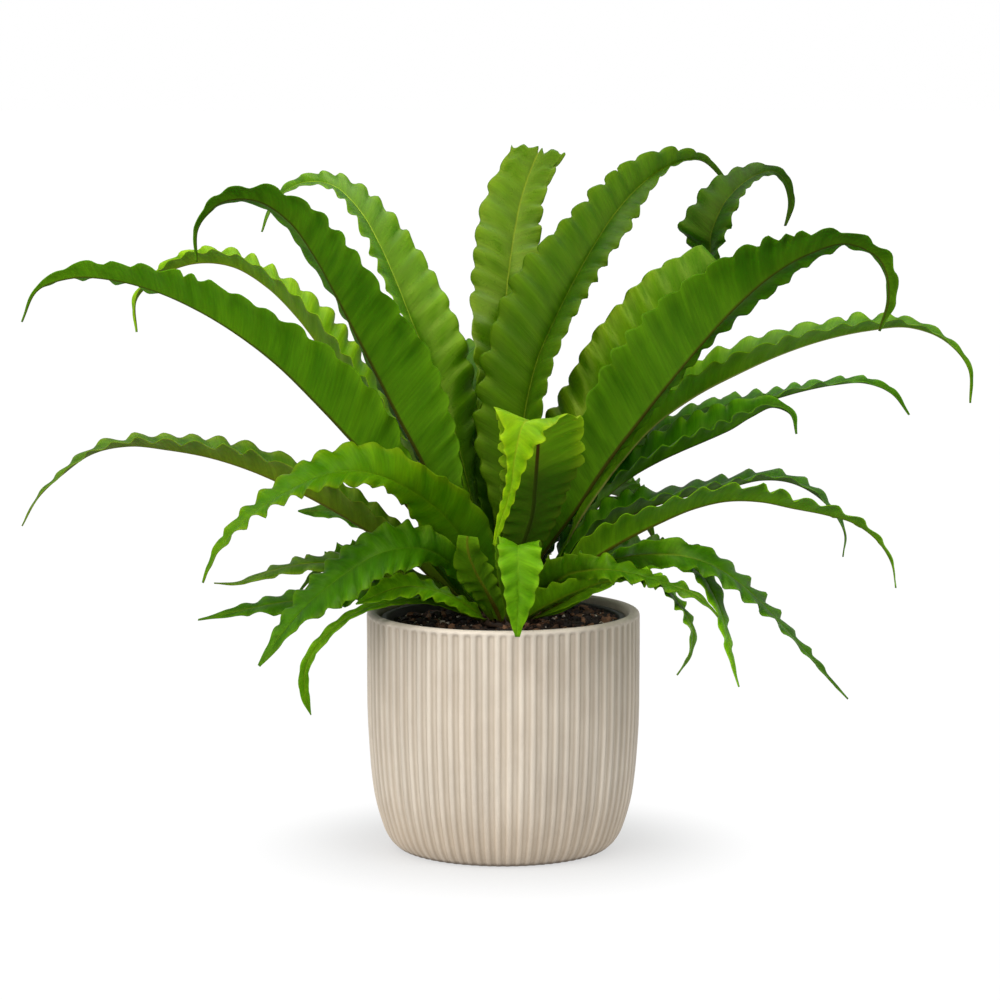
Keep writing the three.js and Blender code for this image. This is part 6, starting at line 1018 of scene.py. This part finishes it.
def leaf_material(name, tone, seed, f):
    t = dict(TONES[tone])
    t.update(f["tint"])
    # painted light and shade: each face's colours are scaled per frond, partly for the frond's own green and partly for
    # how much light reaches it among the others
    for face, much in (("upper", f["shade"][0]), ("under", f["shade"][1])):
        for part in ("_light", "_dark"):
            t[face + part] = tuple(min(1.0, c * much) for c in t[face + part][:3]) + (1.0,)
    t["edge"] = tuple(min(1.0, c * f["shade"][0]) for c in t["edge"][:3]) + (1.0,)
    m = Nodes(name)
    side, lift, vein = m.attr("side"), m.attr("lift"), m.attr("vein")
    across, along, rib = m.attr("across"), m.attr("along"), m.attr("rib")
    where = m.new("ShaderNodeMapping")
    m.put(where.inputs["Vector"], m.object_coords())
    where.inputs["Location"].default_value = (seed * 0.37, seed * 0.11, 0)
    broad = m.noise(where.outputs[0], 16, 3, 0.5)
    fine = m.noise(where.outputs[0], 160, 4, 0.6)
    streak = m.noise(m.combine(m.math("MULTIPLY", vein, 0.62), m.math("MULTIPLY", across, 1.6), seed * 3.1), 1.0, 3, 0.6)
    broadstreak = m.noise(m.combine(m.math("MULTIPLY", vein, 0.13), m.math("MULTIPLY", across, 0.8), seed * 1.7), 1.0, 2, 0.5)
    # light and dark of each face: broad patches of tone, painted light and shade along the pleats that run with the
    # side veins, and painted light on the crests of the ruffles with painted shade in the hollows
    patch = m.math("ADD", m.math("MULTIPLY", m.ramp(broad, 0.32, 0.68), 0.45), m.math("MULTIPLY", m.ramp(broadstreak, 0.34, 0.66), 0.55))
    crest_painted_light_up = m.ramp(lift, -0.8, 0.9)
    crest_painted_light_low = m.ramp(lift, 0.8, -0.9)
    f_up = m.math("ADD", m.math("MULTIPLY", patch, 0.62), m.math("MULTIPLY", m.math("SUBTRACT", crest_painted_light_up, 0.35), 0.45), clamp=True)
    f_low = m.math("ADD", m.math("MULTIPLY", patch, 0.62), m.math("MULTIPLY", m.math("SUBTRACT", crest_painted_light_low, 0.35), 0.40), clamp=True)
    upper = m.mix(f_up, t["upper_dark"], t["upper_light"])
    under = m.mix(f_low, t["under_dark"], t["under_light"])
    # the margin is a little lighter
    edge = m.ramp(across, 0.72, 1.0, 0.0, f.get("edge", 0.35))
    upper = m.mix(edge, upper, t["edge"])
    under = m.mix(m.math("MULTIPLY", edge, 0.8), under, t["edge"])
    # side veins
    hair = m.noise(m.combine(m.math("MULTIPLY", vein, 2.1), m.math("MULTIPLY", across, 1.2), seed * 5.3), 1.0, 2, 0.5)
    thin = m.math("MULTIPLY", m.ramp(streak, 0.30, 0.72, 0.86, 1.12), m.ramp(hair, 0.3, 0.7, 0.93, 1.06))
    grey = m.combine(thin, thin, thin)
    upper = m.mix(0.9, upper, grey, "MULTIPLY")
    under = m.mix(0.9, under, grey, "MULTIPLY")
    # midrib: pale above, brown below near the crown and green further on
    rib_low = m.mix(m.ramp(along, f["brown"][0], f["brown"][1]), t["rib_base"], t["rib_low"])
    upper = m.mix(m.ramp(rib, 0.45, 0.9, 0.0, f["rib"][0]), upper, t["rib_up"])
    under = m.mix(m.ramp(rib, 0.25, 0.8, 0.0, f["rib"][1]), under, rib_low)
    colour = m.mix(side, upper, under)
    # the stalk end is darker and browner
    base = f["base"]
    colour = m.mix(m.ramp(along, 0.0, 0.06, 0.7, 0.0), colour, srgb(58, 54, 16))
    # painted shade: some fronds darken towards the base, down among the other fronds
    colour = m.mix(m.ramp(along, base[0], base[1], base[2], 0.0), colour, base[3])
    tip = f["tip"]
    colour = m.mix(m.ramp(along, tip[0], tip[1], 0.0, tip[2]), colour, tip[3])
    # painted shade: one half of a frond can be darkened against the extra light that half catches
    colour = m.mix(m.math("MULTIPLY", m.attr("hand"), 1 - f["half"]), colour, (0.0, 0.0, 0.0, 1.0))
    height = m.math("ADD", m.math("MULTIPLY", streak, 0.8), m.math("ADD", m.math("MULTIPLY", fine, 0.3), m.math("MULTIPLY", hair, 0.3)))
    m.bump(height, 0.42, 0.0006)
    rough = m.ramp(fine, 0.3, 0.8, f["rough"], f["rough"] + 0.14)
    rough = m.math("ADD", rough, m.math("MULTIPLY", side, 0.34))  # the lower face is duller
    m.set(Base_Color=colour, Roughness=rough)
    b = m.bsdf.inputs
    b["Subsurface Weight"].default_value = 0.12
    b["Subsurface Radius"].default_value = (0.35, 1.0, 0.12)
    b["Subsurface Scale"].default_value = 0.003
    b["Specular IOR Level"].default_value = f["gloss"]
    b["Specular Tint"].default_value = (0.85, 1.0, 0.15, 1.0)
    return m.mat


CROWN = (3.0, 2.0)
DEFAULT = dict(grow=(0.07, 0.34), rough=0.34, slant=0.0, ruffle=(2.6, 2.6), pleat=0.5, lobe=1.15, wave=15.5, arch=0.05, keel=0.9, brown=(0.12, 0.5), rib=(0.4, 0.85), gloss=0.22, shade=(1.0, 1.0), tint={}, half=1.0, torn=0.0,
               base=(0.0, 0.1, 0.0, srgb(60, 90, 16)), tip=(0.9, 1.0, 0.0, srgb(60, 104, 14)))
for i, (name, f) in enumerate(FRONDS.items()):
    full = dict(DEFAULT)
    full.update(f)
    piece = frond_mesh(name.replace("frond_", "leaf_"), full, 100 + i)
    hold(piece, name, leaf_material("leaf_%02d" % i, full["tone"], i + 1, full))


# ------------------------------------------------------------------ the ribbed pot
POT_HEIGHT, RIBS, RIB_TOP, WALL, FLOOR = 149.4, 72, 145.8, 6.9, 7.0
PROFILE = [
    (0.0, 63.6), (0.35, 64.9), (1.2, 66.4), (3.4, 69.2), (6.6, 71.8), (11, 74.2), (16, 76.0), (21, 77.6), (26, 79.0), (33, 80.6),
    (41, 81.8), (51, 82.9), (63, 83.8), (77, 84.6), (91, 85.0), (112, 85.1), (150, 85.1),
]


def smooth_profile(z):
    zs, rs = zip(*PROFILE)
    return float(np.interp(z, zs, rs))


def pot_rows():
    """(z, r, how deep the flutes are there) from the middle of the foot, up the outside, over the rim and down inside."""
    rows = [(0.9, 20.0, 0), (0.9, 56.0, 0), (0.5, 57.5, 0), (0.0, 58.6, 0), (0.0, 62.2, 0.0)]
    zz = np.concatenate([[0.0, 0.25, 0.7, 1.4, 2.4, 3.6, 5.0, 6.8, 9, 11.5], np.linspace(14, 138, 40), np.linspace(139.5, RIB_TOP + 1.0, 18)])
    # a softened reading of the profile, so no ring of it shows as a crease
    for z in zz:
        r = sum(smooth_profile(max(0, z + d)) * w for d, w in ((-1.6, 0.2), (-0.8, 0.2), (0, 0.2), (0.8, 0.2), (1.6, 0.2))) if z > 2 else smooth_profile(z)
        rows.append((float(z), r, 1.0))
    top = POT_HEIGHT
    for a in (10, 28, 46, 64, 82, 100, 118, 136, 154, 172):
        t = math.radians(a)
        c, half_w = 85.1 - WALL / 2, WALL / 2
        rows.append((top - 2.5 + 2.5 * math.sin(t), c + half_w * math.cos(t), 1.0 if a < 20 else 0.0))
    inner = [140, 132, 120, 100, 80, 60, 40, 25, 14]
    for z in inner:
        rows.append((z, smooth_profile(z) - WALL, 0.0))
    rows += [(9.5, 64.0, 0.0), (FLOOR + 0.6, 60.0, 0.0), (FLOOR, 56.0, 0.0), (FLOOR, 20.0, 0.0)]
    return rows


def flute(x):
    """Depth of the flutes, 0 on a rib and 1 in the middle of a flute; x is 0 on the rib and 0.5 in the flute."""
    y = np.clip((np.abs(x) - 0.06) / 0.34, 0, 1)
    return y * y * (3 - 2 * y)


def pot_mesh():
    per = 12
    n = RIBS * per
    ang = -math.pi / 2 + math.pi / RIBS + 2 * math.pi * np.arange(n) / n  # a rib starts the turn, so a flute faces the front
    x = (np.arange(n) % per) / per
    x = np.where(x > 0.5, x - 1, x)
    deep = flute(x)
    rows = pot_rows()
    verts, ribs, lines, own = [], [], [], []
    rng = np.random.default_rng(5)
    each = rng.uniform(-1, 1, RIBS + 1)
    each[-1] = each[0]
    vary = np.interp(np.arange(n) / per, np.arange(RIBS + 1), each)
    for z, r, d in rows:
        low = np.clip((z - 0.2) / 5.0, 0, 1) ** 0.7
        arch_top = RIB_TOP + 2.2 - 0.4 * (2 * np.abs(np.abs(x) - 0.5)) ** 2  # each flute runs out softly under the rim
        fade = np.clip((arch_top - z) / 3.0, 0, 1)
        fade = fade * fade * (3 - 2 * fade)
        depth = d * 1.45 * deep * (0.55 + 0.45 * low) * fade * (1 if z > 0.1 else 0.75)
        wob = 0.10 * np.sin(3 * ang + z * 0.02) + 0.05 * np.sin(11 * ang + z * 0.11)
        rr = r - depth + (wob if d else 0)
        verts.append(np.stack([rr * np.cos(ang), rr * np.sin(ang), np.full(n, z)], -1))
        ribs.append(deep * fade ** 1.4 * d)
        # the mask for the painted shadow lines down the sides of each rib
        lines.append(np.exp(-((np.abs(x) - 0.30) / 0.075) ** 2) * fade ** 2 * d)
        own.append(vary * d)
    V = np.concatenate(verts)
    R = np.concatenate(ribs)
    k = len(rows)
    gid = np.arange(k * n).reshape(k, n)
    nxt = np.roll(gid, -1, axis=1)
    faces = np.stack([gid[:-1], nxt[:-1], nxt[1:], gid[1:]], -1).reshape(-1, 4).tolist()
    c0, c1 = len(V), len(V) + 1
    V = np.concatenate([V, [[0, 0, rows[0][0]], [0, 0, rows[-1][0]]]])
    R = np.r_[R, 0, 0]
    lines, own = (np.r_[np.concatenate(a), 0, 0] for a in (lines, own))
    faces += [(int(nxt[0, j]), int(gid[0, j]), c0) for j in range(n)]
    faces += [(int(gid[-1, j]), int(nxt[-1, j]), c1) for j in range(n)]
    return add_mesh("pot_ribbed", V * MM, faces, attrs={"flute": R, "line": lines, "own": own})


def pot_material():
    m = Nodes("ceramic_beige")
    p = m.object_coords()
    fl = m.attr("flute")
    sep = m.new("ShaderNodeSeparateXYZ")
    m.link(p, sep.inputs[0])
    z = sep.outputs["Z"]
    cloud = m.noise(p, 28, 4, 0.6)
    speck = m.noise(p, 420, 3, 0.7)
    stretch = m.new("ShaderNodeMapping")
    m.link(p, stretch.inputs["Vector"])
    stretch.inputs["Scale"].default_value = (1, 1, 0.12)
    runs = m.noise(stretch.outputs[0], 130, 3, 0.55)
    grain = m.noise(p, 1500, 2, 0.6)
    ridge = m.mix(m.ramp(cloud, 0.3, 0.7), POT_RIDGE_LIT_A, POT_RIDGE_LIT_B)
    valley = m.mix(m.ramp(cloud, 0.3, 0.7), POT_FLUTE_SHADED_A, POT_FLUTE_SHADED_B)
    # painted light and shade on the relief: the ribs are lighter than the flutes, each rib has a painted shadow line
    # down its sides, and the middle of a flute is lighter again
    base = m.mix(m.ramp(fl, 0.12, 0.72), ridge, valley)
    base = m.mix(m.math("MULTIPLY", m.attr("line"), 0.55), base, POT_SIDE_SHADOW)
    each = m.ramp(m.attr("own"), -1.0, 1.0, 0.90, 1.06, smooth=False)
    base = m.mix(1.0, base, m.combine(each, each, each), "MULTIPLY")
    thin = m.new("ShaderNodeMapping")
    m.link(p, thin.inputs["Vector"])
    thin.inputs["Scale"].default_value = (1, 1, 0.03)
    tone = m.ramp(m.math("ADD", m.math("MULTIPLY", runs, 0.6), m.math("MULTIPLY", m.noise(thin.outputs[0], 720, 2, 0.6), 0.4)), 0.32, 0.68, 0.90, 1.07)
    base = m.mix(0.8, base, m.combine(tone, tone, tone), "MULTIPLY")
    dots = m.ramp(speck, 0.62, 0.80, 0.0, 0.16)
    base = m.mix(dots, base, srgb(150, 128, 104))
    # painted shade: the lower part is darker and a little warmer
    base = m.mix(m.ramp(z, 0.055, 0.0, 0.0, 0.42), base, srgb(184, 162, 136))
    # painted shadow: a dark band at the foot, where the pot meets the floor
    base = m.mix(m.ramp(z, 0.0034, 0.0008, 0.0, 0.85), base, srgb(104, 87, 70))
    # painted shade: the top of the rim is toned down
    base = m.mix(m.ramp(z, 0.1462, 0.1490, 0.0, 0.35), base, srgb(196, 183, 166))
    h = m.math("ADD", m.math("MULTIPLY", speck, 0.5), m.math("ADD", m.math("MULTIPLY", grain, 0.25), m.math("MULTIPLY", runs, 0.7)))
    m.bump(h, 0.28, 0.0005)
    m.set(Base_Color=base, Roughness=m.ramp(m.math("ADD", cloud, m.math("MULTIPLY", speck, 0.3)), 0.4, 0.9, 0.40, 0.56))
    m.bsdf.inputs["Specular IOR Level"].default_value = 0.42
    m.bsdf.inputs["Coat Weight"].default_value = 0.10
    m.bsdf.inputs["Coat Roughness"].default_value = 0.30
    return m.mat


# painted light and shade: lit ridge colours, shaded flute colours and a shadow colour for the rib sides
POT_RIDGE_LIT_A, POT_RIDGE_LIT_B = srgb(200, 188, 172), srgb(207, 196, 180)
POT_FLUTE_SHADED_A, POT_FLUTE_SHADED_B = srgb(189, 176, 158), srgb(197, 185, 168)
POT_SIDE_SHADOW = srgb(160, 145, 126)
hold(pot_mesh(), "outer_pot", pot_material())


# ------------------------------------------------------------------ the nursery pot
def liner_mesh():
    z0, h, r0, r1, wall = 7.3, 137.9, 55.0, 73.6, 1.3
    top = z0 + h
    radius = lambda z: r0 + (r1 - r0) * (z - z0) / h
    prof = [(z0, 24.0), (z0, 48.0), (z0, 53.2), (z0 + 0.5, 54.4), (z0 + 1.6, radius(z0 + 1.6)), (z0 + 10, radius(z0 + 10)), (z0 + 60, radius(z0 + 60)), (top - 12, radius(top - 12)), (top - 8.0, radius(top - 8.0)),
            (top - 7.4, r1 + 1.6), (top - 7.0, r1 + 2.6), (top - 5.6, r1 + 2.8), (top - 3, r1 + 2.8), (top - 1.0, r1 + 2.8), (top - 0.35, r1 + 2.5), (top, r1 + 1.7),
            (top, r1 - 0.2), (top - 0.35, r1 - 1.0), (top - 1.0, r1 - wall), (top - 8, radius(top - 8) - wall), (top - 60, radius(top - 60) - wall),
            (z0 + 8, radius(z0 + 8) - wall), (z0 + 2.6, 53.0), (z0 + 1.5, 51.5), (z0 + wall, 48.0), (z0 + wall, 24.0)]
    n = 192
    ang = 2 * math.pi * np.arange(n) / n
    V = np.concatenate([np.stack([r * np.cos(ang) * (1 + 0.0012 * np.sin(2 * ang + 1)), r * np.sin(ang) * (1 + 0.0012 * np.sin(2 * ang + 1)), np.full(n, z)], -1) for z, r in prof])
    k = len(prof)
    gid = np.arange(k * n).reshape(k, n)
    nxt = np.roll(gid, -1, axis=1)
    faces = np.stack([gid[:-1], nxt[:-1], nxt[1:], gid[1:]], -1).reshape(-1, 4).tolist()
    # the floor between the walls, with the drain holes in it: two plates joined round each hole
    c0, c1 = len(V), len(V) + 1
    V = np.concatenate([V, [[0, 0, prof[0][0]], [0, 0, prof[-1][0]]]])
    faces += [(int(nxt[0, j]), int(gid[0, j]), c0) for j in range(n)]
    faces += [(int(gid[-1, j]), int(nxt[-1, j]), c1) for j in range(n)]
    obj = add_mesh("liner_pot", V * MM, faces)
    cutters = []
    for i in range(8):
        a = 2 * math.pi * i / 8
        bpy.ops.mesh.primitive_cylinder_add(vertices=32, radius=4.5 * MM, depth=8 * MM, location=(38 * math.cos(a) * MM, 38 * math.sin(a) * MM, 8.3 * MM))
        cutters.append(bpy.context.active_object)
    bpy.ops.object.select_all(action="DESELECT")
    for c in cutters:
        c.select_set(True)
    bpy.context.view_layer.objects.active = cutters[0]
    bpy.ops.object.join()
    cutter = bpy.context.active_object
    mod = obj.modifiers.new("drains", "BOOLEAN")
    mod.operation, mod.solver, mod.object = "DIFFERENCE", "EXACT", cutter
    dg = bpy.context.evaluated_depsgraph_get()
    done = bpy.data.meshes.new_from_object(obj.evaluated_get(dg))
    obj.modifiers.clear()
    old = obj.data
    obj.data = done
    bpy.data.meshes.remove(old)
    bpy.data.objects.remove(cutter)
    done.polygons.foreach_set("use_smooth", [True] * len(done.polygons))
    done.set_sharp_from_angle(angle=math.radians(50))
    return obj


def liner_material():
    m = Nodes("plastic_dark")
    p = m.object_coords()
    dust = m.noise(p, 60, 4, 0.6)
    scuff = m.noise(p, 900, 2, 0.6)
    col = m.mix(m.ramp(dust, 0.35, 0.75), srgb(34, 34, 36), srgb(74, 72, 70))
    m.bump(scuff, 0.2, 0.0003)
    m.set(Base_Color=col, Roughness=m.ramp(dust, 0.3, 0.8, 0.42, 0.62))
    return m.mat


hold(liner_mesh(), "nursery_pot", liner_material())


# ------------------------------------------------------------------ the potting mix
SOIL_TOP = 140.0


def chunk(rng, size, flat):
    """An irregular little block: a cube's corners and edge midpoints pushed about."""
    pts = []
    for x in (-1, 0, 1):
        for y in (-1, 0, 1):
            for z in (-1, 0, 1):
                if (x, y, z) != (0, 0, 0):
                    v = np.array([x, y, z], float)
                    v *= (1.0, 0.86, 0.74)[int(abs(x) + abs(y) + abs(z)) - 1]
                    pts.append(v + rng.uniform(-0.2, 0.2, 3))
    pts = np.array(pts) * np.array([1.0, rng.uniform(0.45, 0.85), flat]) * size
    return pts


CHUNK_KEYS = [(x, y, z) for x in (-1, 0, 1) for y in (-1, 0, 1) for z in (-1, 0, 1) if (x, y, z) != (0, 0, 0)]
CHUNK_INDEX = {k: i for i, k in enumerate(CHUNK_KEYS)}
CHUNK_FACES = []
for axis in range(3):
    for sgn in (-1, 1):
        o = [a for a in range(3) if a != axis]
        for i in (-1, 0):
            for j in (-1, 0):
                quad = []
                for di, dj in ((0, 0), (1, 0), (1, 1), (0, 1)):
                    k = [0, 0, 0]
                    k[axis] = sgn
                    k[o[0]], k[o[1]] = i + di, j + dj
                    quad.append(CHUNK_INDEX[tuple(k)])
                if (sgn > 0) == (axis == 1):
                    quad = quad[::-1]
                CHUNK_FACES.append(quad)


def soil_level(x, y):
    """The mix lies a little higher towards the right and the back."""
    p = Vector((x * 0.09, y * 0.09, 1.7))
    t = max(0.0, min(1.0, (0.85 * x + 0.5 * y + 10) / 70))
    return SOIL_TOP - 0.4 + 4.0 * t * t * (3 - 2 * t) + 1.2 * noise.noise(p) + 1.0 * noise.noise(p * 3.1)


def soil_mesh():
    rng = np.random.default_rng(7)
    low, edge = 9.3, 71.0
    nr, na = 66, 300
    ang = 2 * math.pi * np.arange(na) / na
    verts, kind = [], []
    radii = np.linspace(2.0, edge, nr)
    for r in radii:
        for a in ang:
            x, y = r * math.cos(a), r * math.sin(a)
            p = Vector((x * 0.09, y * 0.09, 1.7))
            z = soil_level(x, y) + 0.8 * noise.noise(p * 7.3) - 0.6 * max(0.0, (r - 66) / 5.0) ** 2
            verts.append((x, y, z))
    top_n = len(verts)
    for r, z in ((70.3, 120.0), (60.0, 46.0), (53.6, 14.0), (51.0, low), (20.0, low)):
        for a in ang:
            verts.append((r * math.cos(a), r * math.sin(a), z))
    rings = nr + 5
    gid = np.arange(rings * na).reshape(rings, na)
    nxt = np.roll(gid, -1, axis=1)
    faces = np.stack([nxt[:-1], gid[:-1], gid[1:], nxt[1:]], -1).reshape(-1, 4).tolist()
    verts += [(0, 0, SOIL_TOP - 0.5), (0, 0, low)]
    c0, c1 = rings * na, rings * na + 1
    faces += [(int(gid[0, j]), int(nxt[0, j]), c0) for j in range(na)]
    faces += [(int(nxt[-1, j]), int(gid[-1, j]), c1) for j in range(na)]
    kind = [0.0] * len(verts)
    shade = list(rng.uniform(0, 1, len(verts)))
    # bark chips, crumbs and pale grit on top
    for group, count, sizes, flats in ((1.0, 560, (1.3, 3.6), (0.22, 0.5)), (0.6, 1300, (0.6, 1.6), (0.5, 0.9)), (2.0, 260, (0.55, 1.4), (0.5, 0.9))):
        for _ in range(count):
            r = math.sqrt(rng.uniform(14 ** 2, 70 ** 2))
            a = rng.uniform(0, 2 * math.pi)
            size = rng.uniform(*sizes) * (0.8 if r > 66 else 1.0)
            r = min(r, 71.5 - size)
            pts = chunk(rng, size, rng.uniform(*flats))
            R = Matrix.Rotation(rng.uniform(0, 6.28), 3, "Z") @ Matrix.Rotation(rng.normal(0, 0.45), 3, "X") @ Matrix.Rotation(rng.normal(0, 0.35), 3, "Y")
            x, y = r * math.cos(a), r * math.sin(a)
            z = soil_level(x, y) + 0.3 * size
            base = len(verts)
            sh = rng.uniform(0, 1)
            for q in pts:
                v = R @ Vector(q)
                verts.append((x + v.x, y + v.y, z + v.z))
                kind.append(group)
                shade.append(sh)
            faces += [tuple(base + i for i in f) for f in CHUNK_FACES]
    obj = add_mesh("mix_bark", np.array(verts) * MM, faces, attrs={"kind": kind, "shade": shade})
    obj.data.set_sharp_from_angle(angle=math.radians(38))
    return obj


def soil_material():
    m = Nodes("bark_mix")
    p = m.object_coords()
    kind, shade = m.attr("kind"), m.attr("shade")
    n1 = m.noise(p, 260, 5, 0.65)
    n2 = m.noise(p, 1200, 3, 0.6)
    dark = m.mix(m.ramp(n1, 0.3, 0.7), srgb(18, 12, 9), srgb(44, 30, 22))
    chip = m.mix(m.ramp(shade, 0.45, 1.0), srgb(34, 22, 15), srgb(136, 96, 66))
    chip = m.mix(m.ramp(n1, 0.35, 0.75, 0.0, 0.6), chip, srgb(26, 17, 12))
    pale = m.mix(m.ramp(n2, 0.3, 0.7), srgb(196, 180, 158), srgb(232, 224, 208))
    col = m.mix(m.ramp(kind, 0.4, 0.9), dark, chip)
    col = m.mix(m.ramp(kind, 1.4, 1.8), col, pale)
    h = m.math("ADD", n1, m.math("MULTIPLY", n2, 0.5))
    m.bump(h, 0.6, 0.0008)
    m.set(Base_Color=col, Roughness=m.ramp(n2, 0.2, 0.9, 0.68, 0.95))
    return m.mat


hold(soil_mesh(), "potting_mix", soil_material())


# ------------------------------------------------------------------ the rootstock crown
def crown_mesh():
    rng = np.random.default_rng(21)
    prof = [(0, 17.6), (1.2, 18.4), (3.2, 18.2), (5, 16.8), (7, 14.6), (9, 12.8), (11.5, 10.8), (14, 8.8), (17, 6.2), (20, 3.4), (21.6, 1.6)]
    n = 120
    ang = 2 * math.pi * np.arange(n) / n
    z0 = SOIL_TOP + 0.3
    verts, kind = [], []
    for h, r in prof:
        for a in ang:
            d = 0.9 * noise.noise(Vector((math.cos(a) * 2.2, math.sin(a) * 2.2, h * 0.22))) + 0.5 * noise.noise(Vector((math.cos(a) * 7, math.sin(a) * 7, h * 0.6)))
            rr = r + d * min(1, r / 6)
            verts.append((3 + rr * math.cos(a), 2 + rr * math.sin(a), z0 + h))
    k = len(prof)
    gid = np.arange(k * n).reshape(k, n)
    nxt = np.roll(gid, -1, axis=1)
    faces = np.stack([gid[:-1], nxt[:-1], nxt[1:], gid[1:]], -1).reshape(-1, 4).tolist()
    verts += [(3, 2, z0), (3, 2, z0 + 22)]
    faces += [(int(nxt[0, j]), int(gid[0, j]), k * n) for j in range(n)]
    faces += [(int(gid[-1, j]), int(nxt[-1, j]), k * n + 1) for j in range(n)]
    kind = [0.0] * len(verts)
    # papery scales that stand up and out
    for _ in range(230):
        h = rng.uniform(0.5, 19)
        r = float(np.interp(h, *zip(*prof)))
        a = rng.uniform(0, 2 * math.pi)
        length, width = rng.uniform(4, 8.5), rng.uniform(1.0, 2.0)
        lean = rng.uniform(0.15, 0.75)
        u = np.array([math.cos(a), math.sin(a), 0])
        sd = np.array([-math.sin(a), math.cos(a), 0])
        d = u * math.sin(lean) + np.array([0, 0, math.cos(lean)])
        nn = u * math.cos(lean) - np.array([0, 0, math.sin(lean)])
        base = np.array([3, 2, z0 + h]) + u * (r - 0.5)
        i0 = len(verts)
        shape = ((0, 0.8), (0.3, 1.0), (0.65, 0.62), (1.0, 0.06))
        for t, w in shape:
            c = base + d * length * t + nn * (0.9 * t * t)
            for sgn, q in ((-1, 0.12), (0, 0.32), (1, 0.12), (0, -0.1)):
                p = c + sd * sgn * width * w + nn * q
                verts.append(tuple(p))
                kind.append(0.4 + 0.6 * t)
        for s_ in range(3):
            for j in range(4):
                a0, a1 = i0 + s_ * 4 + j, i0 + s_ * 4 + (j + 1) % 4
                faces.append((a0, a1, a1 + 4, a0 + 4))
        faces.append((i0 + 3, i0 + 2, i0 + 1, i0))
        faces.append((i0 + 12, i0 + 13, i0 + 14, i0 + 15))
    return add_mesh("crown_scales", np.array(verts) * MM, faces, attrs={"scale": kind})


def crown_material():
    m = Nodes("rootstock_brown")
    p = m.object_coords()
    n1 = m.noise(p, 300, 4, 0.6)
    col = m.mix(m.ramp(n1, 0.3, 0.7), srgb(38, 26, 16), srgb(80, 56, 34))
    col = m.mix(m.ramp(m.attr("scale"), 0.5, 1.0, 0.0, 0.6), col, srgb(118, 84, 50))
    m.bump(n1, 0.5, 0.0006)
    m.set(Base_Color=col, Roughness=m.ramp(n1, 0.2, 0.8, 0.6, 0.85))
    return m.mat


hold(crown_mesh(), "rootstock_crown", crown_material())


# ------------------------------------------------------------------ floor, world and lights
def stage_and_light():
    bpy.ops.mesh.primitive_plane_add(size=24, location=(0, 0, 0))
    floor = bpy.context.active_object
    floor.name = "floor"
    m = Nodes("floor_white")
    p = m.object_coords()
    length = m.new("ShaderNodeVectorMath", operation="LENGTH")
    m.link(p, length.inputs[0])
    # painted shadow: the floor's glow is turned down near the pot as a soft contact shadow, over a diffuse part there
    # that takes the real shadow; further out it is an evenly lit sweep
    light = m.ramp(length.outputs["Value"], 0.065, 0.172, 0.58, 1.0)
    dull = m.ramp(length.outputs["Value"], 0.065, 0.165, 0.215, 0.0)
    seen = m.new("ShaderNodeLightPath").outputs["Is Camera Ray"]
    glow = m.math("ADD", m.math("MULTIPLY", seen, 1.0 - FLOOR_GLOW), FLOOR_GLOW)
    m.set(Base_Color=m.combine(dull, dull, dull), Emission_Color=(1, 1, 1, 1), Emission_Strength=m.math("MULTIPLY", light, glow))
    m.bsdf.inputs["Roughness"].default_value = 0.6
    m.bsdf.inputs["Specular IOR Level"].default_value = 0.1
    floor.data.materials.append(m.mat)

    world = bpy.data.worlds.new("studio")
    bpy.context.scene.world = world
    world.use_nodes = True
    tree = world.node_tree
    tree.nodes.clear()
    out = tree.nodes.new("ShaderNodeOutputWorld")
    seen, lit = tree.nodes.new("ShaderNodeBackground"), tree.nodes.new("ShaderNodeBackground")
    seen.inputs["Color"].default_value = (1, 1, 1, 1)
    seen.inputs["Strength"].default_value = 1.0
    lit.inputs["Color"].default_value = (1, 1, 1, 1)
    lit.inputs["Strength"].default_value = WORLD
    pick, path = tree.nodes.new("ShaderNodeMixShader"), tree.nodes.new("ShaderNodeLightPath")
    tree.links.new(path.outputs["Is Camera Ray"], pick.inputs[0])
    tree.links.new(lit.outputs[0], pick.inputs[1])
    tree.links.new(seen.outputs[0], pick.inputs[2])
    tree.links.new(pick.outputs[0], out.inputs[0])

    for name, at, target, size, watts, tint in LIGHTS:
        data = bpy.data.lights.new(name, "AREA")
        data.shape = "RECTANGLE"
        data.size, data.size_y = size
        data.energy = watts
        data.color = tint
        lamp = bpy.data.objects.new(name, data)
        lamp.location = at
        lamp.rotation_euler = (Vector(target) - Vector(at)).to_track_quat("-Z", "Y").to_euler()
        bpy.context.scene.collection.objects.link(lamp)

    view = bpy.context.scene.view_settings
    view.view_transform = "Standard"
    view.look = "None"
    view.exposure = 0
    view.gamma = 1


FLOOR_GLOW = 0.6
WORLD = 0.36
LIGHTS = [
    ("key", (-1.0, -1.4, 1.7), (0, 0, 0.2), (2.4, 2.4), 38, (1.0, 0.99, 0.97)),
    ("top", (0.0, -0.1, 2.1), (0, 0, 0.1), (2.6, 2.6), 44, (1.0, 1.0, 1.0)),
    ("fill", (1.6, -1.3, 1.2), (0, 0, 0.2), (1.6, 1.6), 23, (0.97, 0.985, 1.0)),
    ("side", (-1.9, -1.0, 0.6), (0, 0, 0.12), (1.2, 1.2), 16, (1.0, 0.99, 0.98)),
    ("low", (-1.0, -2.0, 0.35), (0, 0, 0.08), (1.4, 0.5), 5, (1.0, 0.99, 0.98)),
]
stage_and_light()
